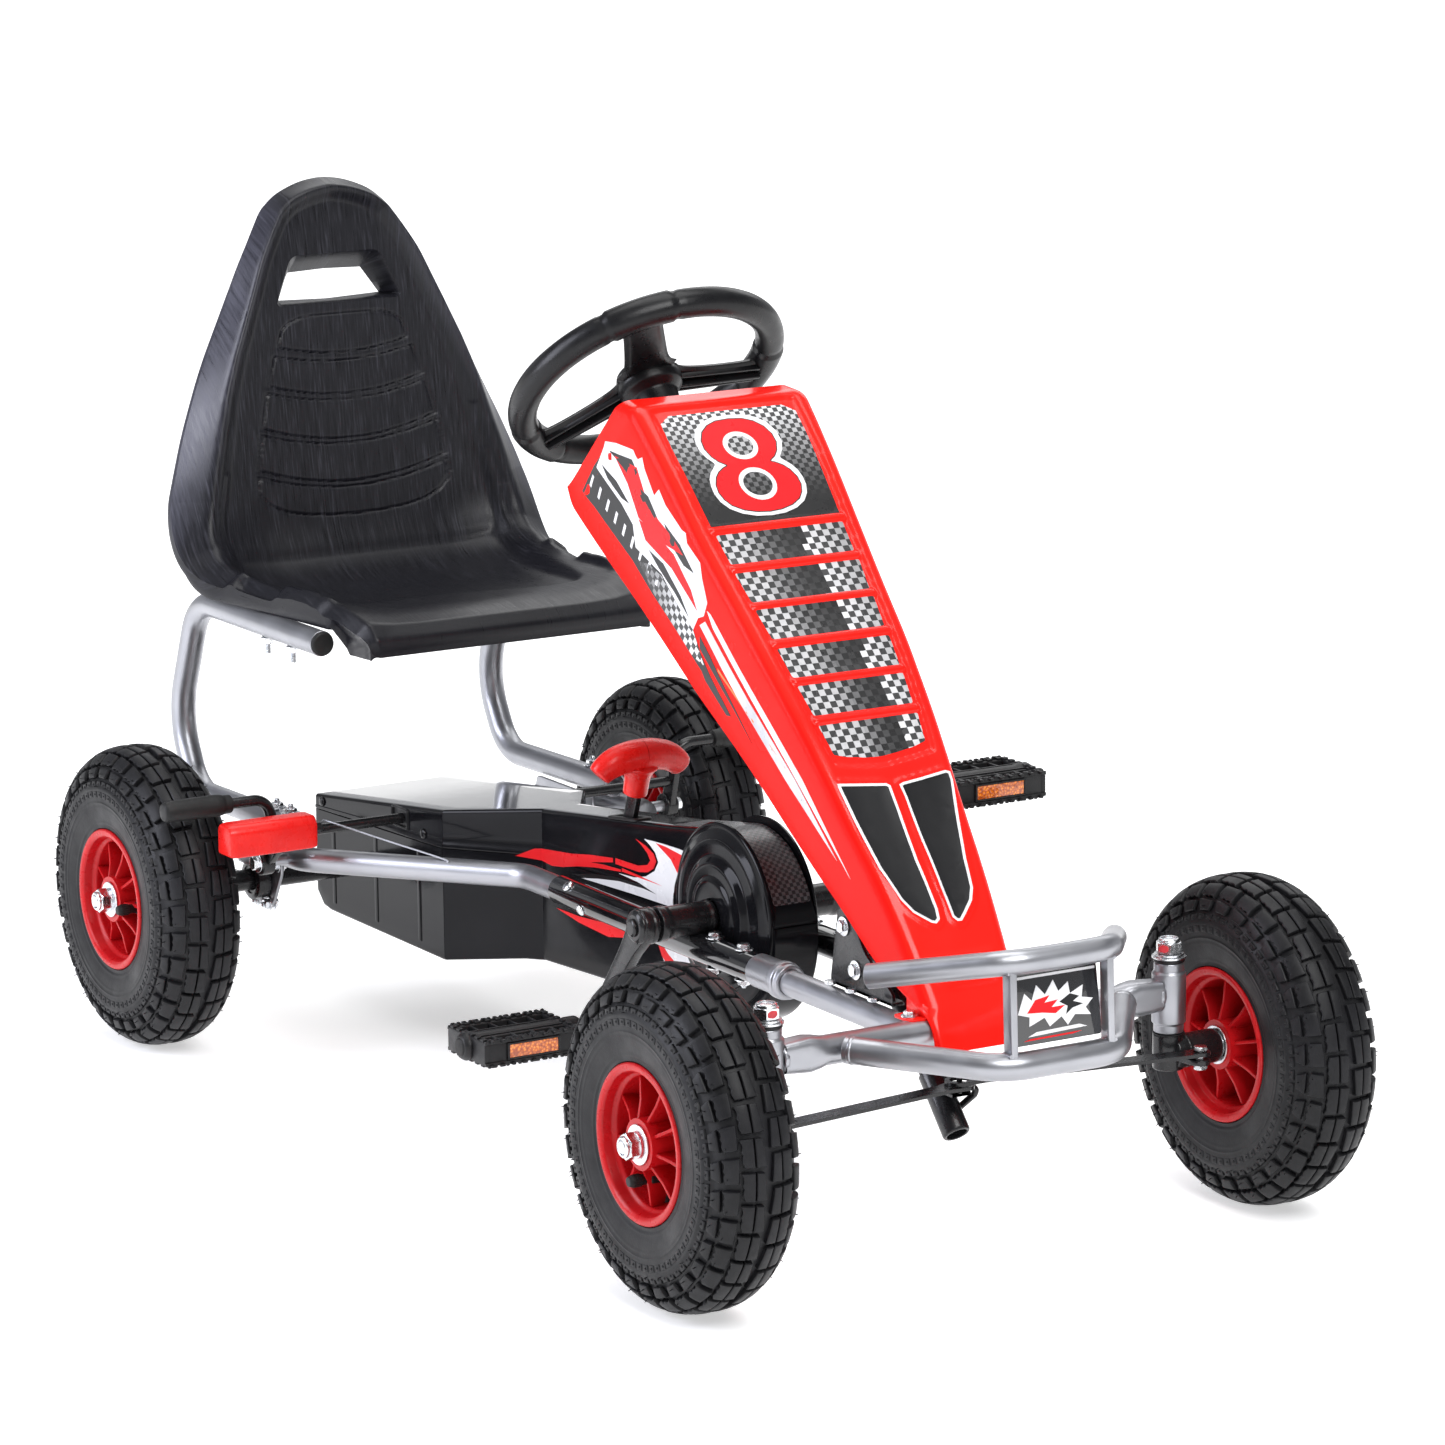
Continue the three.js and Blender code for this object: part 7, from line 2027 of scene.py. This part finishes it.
def spoke(a, w0, w1, rib):
    # a dished plate that swells into the rim and into the boss
    verts, faces = [], []
    ks = np.linspace(18, 103, 26)
    us = np.linspace(-1, 1, 15)
    for side in (1, -1):
        for k in ks:
            t = (k - 18) / 85
            w = w0 * (1 - t) + w1 * t + 9.0 * math.exp(-(103 - k) / 5.0) + 7.0 * math.exp(-(k - 18) / 6.0)
            mid = -3.0 - 1.5 * math.sin(pi * t)
            for u in us:
                edge = (1 - abs(u) ** 8) ** 0.5 if side > 0 else (1 - abs(u) ** 6) ** 0.5
                th = 3.6 * edge
                dish = -1.6 * (1 - u * u) if side > 0 else 0.0
                verts.append((k, u * w, mid + side * th + dish))
    n, m = len(ks), len(us)
    for sd in (0, 1):
        for i in range(n - 1):
            for j in range(m - 1):
                q = (sd * n * m + i * m + j, sd * n * m + (i + 1) * m + j, sd * n * m + (i + 1) * m + j + 1, sd * n * m + i * m + j + 1)
                faces.append(q if sd == 0 else q[::-1])
    for i in range(n - 1):
        for j in (0, m - 1):
            a0, b0 = i * m + j, (i + 1) * m + j
            faces.append((a0, b0, b0 + n * m, a0 + n * m))
    for i in (0, n - 1):
        for j in range(m - 1):
            a0, b0 = i * m + j, i * m + j + 1
            faces.append((a0, b0, b0 + n * m, a0 + n * m))
    parts = [(verts, faces)]
    if rib:
        parts.append(moved(prism(soften([(20, -1.6), (100, -1.6), (100, 1.6), (20, 1.6)], 0.6, 2), -14, -5, 0.8), Matrix.Identity(4)))
        for sgn in (1, -1):
            parts.append(moved(prism(soften([(24, sgn * (w0 - 4) - 1.2), (98, sgn * (w1 - 3) - 1.2), (98, sgn * (w1 - 3) + 1.2), (24, sgn * (w0 - 4) + 1.2)], 0.5, 2), -11, -5, 0.6), Matrix.Identity(4)))
    return [moved(p, WM @ Matrix.Rotation(a, 4, "Z")) for p in parts]


for a, p, q, rb in ((0, 19, 16, False), (pi * 0.633, 14, 11, True), (-pi * 0.633, 14, 11, True)):
    for pp in spoke(a, p, q, rb):
        g.put(pp)
prof = rounded([(0, 2.0), (12, 2.0), (13.5, 7.5), (17.5, 8.2), (23.5, 6.0), (26, 0), (27.5, -8), (26, -14.5), (19.5, -20), (19, -26), (17.6, -50), (16.4, -53), (10.2, -53), (10.2, -50), (0, -50)], 1.6)
g.put(moved(lathe(prof, 64), WM))
add("steering_wheel_moulding", g, "wheel_plastic", "steering", "steering_wheel", angle=42)
g = Geo()
g.put(moved(lathe(rounded([(0, 2), (7.8, 2), (7.8, 3.4), (0, 3.4)], 0.4), 36), WM))
g.put(moved(hexagon(11, 4.4), WM @ Matrix.Translation((0, 0, 3.2))))
for k in range(2):
    p = WM @ Vector((0, (17.6 if k else -17.6), -38))
    q = WM @ Vector((0, (23 if k else -23), -38))
    bolt(g, tuple(p), tuple((q - p).normalized()), 8, 3.0)
add("steering_wheel_bolts", g, "zinc", "steering", angle=30)

# ------------------------------------------------------------ crank and pedals
CRX, CRZ = 568.0, 198.0
g = Geo()
g.put(turned([(0, 0), (10, 0), (10, 176), (0, 176)], (CRX, -88, CRZ), (CRX, 88, CRZ), 36, r=0.8))
for s in (1, -1):
    # black sleeve between the dome and the arm
    g.put(turned(rounded([(9.9, 0), (13.6, 0), (14.2, 3), (13.2, 6), (13.2, 40), (14.4, 44), (14.4, 50), (9.9, 51)], 0.8), (CRX, s * 34.2, CRZ), (CRX, s * 90, CRZ), 40, closed=True))
add("crank_spindle", g, "black_paint", "crank", "crank_axle")
for tag, s in (("left", 1), ("right", -1)):
    px, pz = CRX + s * 79, CRZ + s * 99
    d = Vector((px - CRX, 0, pz - CRZ)).normalized()
    nrm = Vector((-d.z, 0, d.x))
    a = math.atan2(d.z, d.x)
    # arm: waisted bar with rounded eyes
    out = []
    L = math.hypot(79, 99)
    for t in np.linspace(pi / 2, 3 * pi / 2, 14):
        out.append((15 * math.cos(t), 15 * math.sin(t)))
    out += [(22, -11.0), (40, -9.4), (L - 26, -8.4), (L - 12, -9.6)]
    for t in np.linspace(-pi / 2, pi / 2, 12):
        out.append((L + 11 * math.cos(t), 11 * math.sin(t)))
    out += [(L - 12, 9.6), (L - 26, 8.4), (40, 9.4), (22, 11.0)]
    w = [(CRX + u * math.cos(a) - v * math.sin(a), CRZ + u * math.sin(a) + v * math.cos(a)) for u, v in out]
    g = Geo()
    g.put(plateY(w, s * 92, s * 101, 1.8))
    g.put(turned(rounded([(0, 0), (15, 0), (15, 3), (14, 5), (14, 14), (11, 16.5), (0, 17)], 1.0), (CRX, s * 88.3, CRZ), (CRX, s * 110, CRZ), 40))
    g.put(turned([(0, 0), (6, 0), (6, 118), (0, 118)], (px, s * 100, pz), (px, s * 218, pz), 24, r=0.6))
    g.put(turned(rounded([(0, 0), (9.0, 0), (9.0, 4.0), (6, 5), (0, 5)], 0.5), (px, s * 101, pz), (px, s * 118, pz), 30))
    add(f"crank_arm_bar_{tag}", g, "black_paint", "crank", f"crank_arm_{tag}")
    g = Geo()
    g.put(moved(hexagon(13, 5.0), frame_at((px, s * 91.5, pz), (px, s * 80, pz))))
    g.put(turned(rounded([(0, 0), (7.4, 0), (7.4, 2.0), (5.6, 3.0), (0, 3.2)], 0.5), (CRX, s * 105, CRZ), (CRX, s * 112, CRZ), 30))
    add(f"crank_nut_{tag}", g, "black_paint", "crank", angle=30)

    # pedal: toothed cage round the spindle barrel
    body = f"pedal_{'l' if s > 0 else 'r'}"
    g = Geo()
    y0, y1 = 126.0, 214.0
    X = lambda u: px + u
    Yy = lambda v: s * v
    Zz = lambda h: pz + h
    # two toothed side rails, front and back, running along Y
    for q in (1, -1):
        for hz in (1, -1):
            # serrated lip: teeth along the outer edge of the rail
            pts = []
            n = 16
            for k in range(n):
                a0 = y0 + (y1 - y0) * k / n
                st = (y1 - y0) / n
                pts += [(a0 + st * 0.08, 11.8), (a0 + st * 0.42, 11.8), (a0 + st * 0.58, 10.2), (a0 + st * 0.92, 10.2)]
            lip = [(y0, 7.4)] + pts + [(y1, 7.4)]
            lo_, hi_ = sorted((q * 29.4, q * 32.0))
            m = Matrix(((0, 0, 1, px), (s, 0, 0, 0), (0, hz, 0, pz), (0, 0, 0, 1)))
            g.put(moved(prism(lip if True else lip, lo_, hi_, 0.35, 1), m))
            # teeth along the top edge, leaning outwards
            for k in range(9):
                yk = y0 + 6 + (y1 - y0 - 12) * k / 8
                g.put(prism(soften([(X(q * 26), Yy(yk) - 2.4), (X(q * 34.5), Yy(yk) - 1.6), (X(q * 34.5), Yy(yk) + 1.6), (X(q * 26), Yy(yk) + 2.4)], 0.7, 2), *sorted((Zz(hz * 8.8), Zz(hz * 11.0))), 0.5, 2))
        # solid face of the rail
        lo_, hi_ = sorted((q * 25.5, q * 30.8))
        m = Matrix(((0, 0, 1, px), (s, 0, 0, 0), (0, 1, 0, pz), (0, 0, 0, 1)))
        g.put(moved(prism(soften([(y0 + 1, -9.2), (y1 - 1, -9.2), (y1 - 1, 9.2), (y0 + 1, 9.2)], 2.5, 4), lo_, hi_, 0.8), m))
    # end walls with their edges
    for e, wd in ((y0, 5.0), (y1, -5.0)):
        a0, b0 = sorted((s * e, s * (e + wd)))
        g.put(plateY(soften([(X(-31), Zz(-9.6)), (X(31), Zz(-9.6)), (X(31), Zz(9.6)), (X(-31), Zz(9.6))], 3.5, 4), a0, b0, 0.8))
        for k in range(6):
            u = -25 + 10 * k
            for hz in (1, -1):
                g.put(prism(soften([(X(u - 2.6), a0 + 0.4), (X(u + 2.6), a0 + 0.4), (X(u + 2.6), b0 - 0.4), (X(u - 2.6), b0 - 0.4)], 0.6, 2), *sorted((Zz(hz * 9.0), Zz(hz * 11.4))), 0.5, 2))
    # middle block with ribs, tread bars either side of the barrel
    g.put(turned(rounded([(6.6, 0), (9.5, 0), (11, 2.4), (11, 12), (10.4, 14), (10.4, 92), (11.4, 96), (11.4, 104), (9.0, 107.6), (6.6, 108)], 0.8), (px, s * 112, pz), (px, s * 221, pz), 36, closed=True))
    g.put(prism(soften([(X(-11.5), Yy(y0 + 2)), (X(11.5), Yy(y0 + 2)), (X(11.5), Yy(y1 - 2)), (X(-11.5), Yy(y1 - 2))], 1.5, 3), Zz(-8.4), Zz(8.4), 0.9))
    for k in range(4):
        yk = y0 + 17.6 * (k + 1)
        for hz in (1, -1):
            g.put(prism(soften([(X(-26), Yy(yk) - 1.3), (X(26), Yy(yk) - 1.3), (X(26), Yy(yk) + 1.3), (X(-26), Yy(yk) + 1.3)], 0.5, 2), *sorted((Zz(hz * 4.5), Zz(hz * 8.6))), 0.5, 2))
    # ridge lines on the tread faces
    for hz in (1, -1):
        for u in (-8, -3, 3, 8):
            g.put(prism(soften([(X(u - 0.9), Yy(y0 + 4)), (X(u + 0.9), Yy(y0 + 4)), (X(u + 0.9), Yy(y1 - 4)), (X(u - 0.9), Yy(y1 - 4))], 0.4, 2), *sorted((Zz(hz * 8.0), Zz(hz * 9.6))), 0.4, 2))
    add(f"pedal_cage_{tag}", g, "black_plastic", body, f"pedal_{tag}")
    g = Geo()   # end cap
    g.put(turned(rounded([(0, 0), (7.6, 0), (7.6, 0.8), (6.4, 1.6), (0, 1.8)], 0.5), (px, s * 219.4, pz), (px, s * 224, pz), 32))
    add(f"pedal_end_cap_{tag}", g, "grip", body)
    g = Geo()   # amber reflectors in the faces
    for q in (1, -1):
        lo_, hi_ = sorted((q * 30.6, q * 32.4))
        m = Matrix(((0, 0, 1, px), (s, 0, 0, 0), (0, 1, 0, pz), (0, 0, 0, 1)))
        g.put(moved(prism(soften([(148, -5.4), (192, -5.4), (192, 5.4), (148, 5.4)], 1.0, 3), lo_, hi_, 0.4), m))
    add(f"pedal_reflectors_{tag}", g, "amber", body)
    g = Geo()
    for q in (1, -1):
        lo_, hi_ = sorted((q * 30.6, q * 32.8))
        m = Matrix(((0, 0, 1, px), (s, 0, 0, 0), (0, 1, 0, pz), (0, 0, 0, 1)))
        for a0, b0, c0, e0 in ((146, 194, 5.4, 6.8), (146, 194, -6.8, -5.4), (146, 148, -5.4, 5.4), (192, 194, -5.4, 5.4)):
            g.put(moved(prism([(a0, c0), (b0, c0), (b0, e0), (a0, e0)], lo_, hi_, 0.3, 1), m))
    add(f"pedal_reflector_frames_{tag}", g, "black_plastic", body)

# ----------------------------------------------------------------- hand brake
BX, BZ_, SX, SZ, GX, GZ = 103.0, 171.0, 117.0, 229.0, 145.0, 205.0
g = Geo()
g.put(cyl((112, -199, 195), (112, 199, 195), 4.5, 24, 0.6))
for s in (1, -1):
    arm = soften([(BX - 9, BZ_ - 3), (BX + 9, BZ_ - 4), (SX + 4.6, SZ - 26), (SX + 1.5, SZ - 17), (SX - 6, SZ - 17), (SX - 8.6, SZ - 26)], 3, 4)
    g.put(plateY(arm, s * 195, s * 201, 0.9))
    g.put(turned(rounded([(5.4, 0), (10.4, 0), (11, 0.8), (11, 10.2), (10.4, 11), (5.4, 11)], 0.4), (BX, s * 193, BZ_), (BX, s * 204, BZ_), 36, closed=True))
    g.put(sweep(fillet_path([(SX, s * 298, SZ), (SX, s * 198, SZ), (SX - 3, s * 198, SZ - 32)], [17], 2), ring2d(4.8, 24)))
lev = soften([(BX + 8, BZ_ - 2), (BX + 15, BZ_ + 2), (GX + 5, GZ - 4), (GX + 5, GZ + 4), (GX - 4, GZ + 5), (BX + 5, BZ_ + 15)], 3, 4)
g.put(plateY(lev, -201, -195, 0.9))
g.put(cyl((GX, -166, GZ), (GX, -250, GZ), 5, 20, 0.8))
add("brake_linkage", g, "black_paint", "brake", "brake_bar")
g = Geo()
for s in (1, -1):
    g.put(turned(rounded([(0, 0), (8.4, 0), (8.4, 1.3), (0, 1.3)], 0.3), (BX, s * 204.3, BZ_), (BX, s * 215, BZ_), 32))
    g.put(moved(hexagon(10.5, 5.4, dome=True), frame_at((BX, s * 205.4, BZ_), (BX, s * 215, BZ_))))
add("brake_pivot_nuts", g, "zinc", "chassis", angle=30)
for tag, s in (("left", 1), ("right", -1)):
    g = Geo()
    prof = [(5.0, 0), (6.8, 0), (7.8, 0.8), (8.0, 7.0), (8.8, 9.0), (9.4, 14.0), (9.4, 42.0), (9.0, 56.0), (8.4, 60.6), (7.2, 62.6), (6.0, 63)]
    g.put(turned(rounded(prof, 0.5) + [(0, 63)], (SX, s * 236, SZ), (SX, s * 299, SZ), 36))
    add(f"brake_roller_{tag}", g, "grip", "brake", f"brake_sleeve_{tag}")
g = Geo()
# red hand piece: bevelled block, longer at the bottom
rows = [(-256.6, 0.80), (-256.0, 0.90), (-254.0, 0.96), (-250, 1.0), (-205, 1.0), (-180, 1.0), (-177.2, 0.98), (-175.2, 0.93), (-174.4, 0.84)]
sec = soften([(-13, -14), (13, -14), (13, 8), (8.5, 14), (-9, 14), (-13, 9)], 2.6, 4)
verts, faces = [], []
for y, k in rows:
    verts += [(GX + a * k, y, GZ + b * k) for a, b in sec]
n = len(sec)
for i in range(len(rows) - 1):
    for j in range(n):
        u = (j + 1) % n
        faces.append((i * n + j, i * n + u, (i + 1) * n + u, (i + 1) * n + j))
faces.append(tuple(range(n)))
faces.append(tuple((len(rows) - 1) * n + j for j in range(n))[::-1])
g.put((verts, faces))
add("brake_hand_piece", g, "red_handle", "brake", "brake_handle", angle=40)
g = Geo()
wire = spline([(112, -150, 199.8), (120, -150, 203.6), (131.5, -150, 205.2), (181.8, -121.4, 194.9), (230.0, -94.0, 185.2), (232.9, -92.4, 182.3), (233.4, -92.1, 177.3)], 8)
g.put(sweep([Vector(p) for p in wire], ring2d(0.85, 10)))
add("brake_return_wire", g, "silver", "chassis")

# ---------------------------------------------------------------- gear lever
LX, LY, LZ, TX, TZ = 392.0, -12.0, 212.0, 421.0, 290.0
dn = Vector((TX - LX, 0, TZ - LZ)).normalized()
cc_ = lambda x, z, k: (x + dn.z * k, z - dn.x * k)
g = Geo()
g.put(plateY([cc_(LX, LZ, 7.4), cc_(TX, TZ, 7.4), cc_(TX, TZ, -7.4), cc_(LX, LZ, -7.4)], LY - 2.5, LY + 2.5, 0.7))
g.put(cyl((LX, LY - 3.5, LZ), (LX, LY + 3.5, LZ), 9, 30, 0.6))
add("gear_lever_bar", g, "black_paint", "gear", "gear_lever")
g = Geo()
# T-shaped knob: an arched bar with flat bevelled ends, on a short collar
for s in (1, -1):
    path = spline([(423, LY, 300.2), (422.8, LY + s * 12, 299.8), (422.0, LY + s * 24, 297.0), (421.0, LY + s * 33, 292.0), (420.2, LY + s * 38.5, 286.6)], 8)
    path = [Vector(p) for p in path]
    n = len(path)
    sc = []
    for i in range(n):
        t = i / (n - 1)
        base = 1.22 - 0.34 * t ** 1.6
        sc.append(base * (1 if t < 0.95 else 1 - 0.22 * ((t - 0.95) / 0.05) ** 1.5))
    g.put(sweep(path, ring2d(11.0, 28), scale=sc, up=(0, 0, 1)))
nb, nt = Vector((LX, LY, LZ)) + dn * 58, Vector((422, LY, 300))
L = (nt - nb).length
g.put(turned(rounded([(0, 0), (9.4, 0), (10.2, 1.0), (10.4, 12), (11.2, 18), (14.0, 24.0), (17.0, 27.5), (12.0, 31), (0, 32)], 1.6), tuple(nb), tuple(nt), 36))
add("gear_t_handle", g, "red_handle", "gear", "gear_knob", angle=42)

# ---------------------------------------------------------- plain CAD surfaces
LOOK = {"tyre_rubber": "rubber", "red_plastic": "red_plastic", "zinc": "zinc", "silver_paint": "silver", "black_paint": "black_paint",
        "black_plastic": "black_plastic", "gloss_black": "black_gloss", "rubber_grip": "grip", "seat_plastic": "seat_edge", "red_gloss": "red_gloss"}
PLAIN = {"rear_sprocket": "zinc", "chainring": "zinc", "chain": "black_paint"}
for name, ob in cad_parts.items():
    kind = PLAIN.get(name, "black_plastic")
    ob.data.materials.clear()
    ob.data.materials.append(MT[kind])

# ------------------------------------------------------------------------ stage
cam = bpy.data.cameras.new("camera")
cam_ob = bpy.data.objects.new("camera", cam)
scene.collection.objects.link(cam_ob)
cam.sensor_width = 36.0
cam.lens = 147.87
cam.clip_end = 200.0
cam.dof.use_dof = False
yaw, pitch, roll = 2.6052917, 0.2102005, -0.009124958
fwd = Vector((math.cos(yaw) * math.cos(pitch), math.sin(yaw) * math.cos(pitch), -math.sin(pitch)))
rgt = fwd.cross(Vector((0, 0, 1))).normalized()
upv = rgt.cross(fwd)
cr, sr = math.cos(roll), math.sin(roll)
r2, u2 = rgt * cr + upv * sr, upv * cr - rgt * sr
mc = Matrix((r2, u2, -fwd)).transposed().to_4x4()
mc.translation = Vector((4.0867, -2.3724, 1.3363))
cam_ob.matrix_world = mc
scene.camera = cam_ob

fl = bpy.data.meshes.new("floor")
fl.from_pydata([(-40, -40, -0.0005), (40, -40, -0.0005), (40, 40, -0.0005), (-40, 40, -0.0005)], [], [(0, 1, 2, 3)])
fl.materials.append(MT["floor"])
floor = bpy.data.objects.new("floor", fl)
scene.collection.objects.link(floor)
floor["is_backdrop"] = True


def area(name, loc, target, sx, sy, power, spread=180, color=(1, 1, 1)):
    li = bpy.data.lights.new(name, "AREA")
    li.shape = "RECTANGLE"
    li.size, li.size_y = sx, sy
    li.energy = power
    li.color = color
    li.spread = math.radians(spread)
    ob = bpy.data.objects.new(name, li)
    ob.location = loc
    ob.rotation_euler = (Vector(target) - Vector(loc)).to_track_quat("-Z", "Y").to_euler()
    scene.collection.objects.link(ob)
    return ob


# the camera looks from the front right: key high on its left, a long strip on its right
cx = Vector((fwd.x, fwd.y, 0)).normalized()
rx = Vector((r2.x, r2.y, 0)).normalized()
C = Vector((0, 0, 0.35))
place = lambda back, right, up: tuple(C - cx * back + rx * right + Vector((0, 0, up)))
area("key", place(2.3, 1.1, 2.1), (0, 0, 0.35), 2.0, 1.5, 78)
area("side", place(0.5, -2.3, 0.95), (0, 0, 0.5), 1.1, 1.7, 52, color=(0.86, 0.88, 1.0))
area("top", place(-0.2, 0.1, 3.0), (0, 0, 0.2), 2.8, 1.8, 52)
area("back", place(-2.4, 0.4, 1.7), (0, 0, 0.3), 3.0, 1.2, 24)

w = bpy.data.worlds.new("studio")
scene.world = w
w.use_nodes = True
bg = w.node_tree.nodes["Background"]
tc = w.node_tree.nodes.new("ShaderNodeTexCoord")
sp = w.node_tree.nodes.new("ShaderNodeSeparateXYZ")
rp = w.node_tree.nodes.new("ShaderNodeValToRGB")
w.node_tree.links.new(tc.outputs["Generated"], sp.inputs["Vector"])
w.node_tree.links.new(sp.outputs["Z"], rp.inputs["Fac"])
w.node_tree.links.new(rp.outputs["Color"], bg.inputs["Color"])
el = rp.color_ramp.elements
while len(el) < 5:
    el.new(0.5)
for e_, (p_, c_) in zip(el, ((0.0, (0.80, 0.81, 0.84)), (0.26, (0.80, 0.81, 0.84)), (0.40, (0.22, 0.23, 0.26)), (0.62, (0.45, 0.46, 0.48)), (0.95, (1.0, 1.0, 1.0)))):
    e_.position = p_
    e_.color = (*c_, 1)
bg.inputs["Strength"].default_value = 0.60
scene.view_settings.view_transform = "Standard"
scene.view_settings.exposure = 0.0

lo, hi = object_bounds()
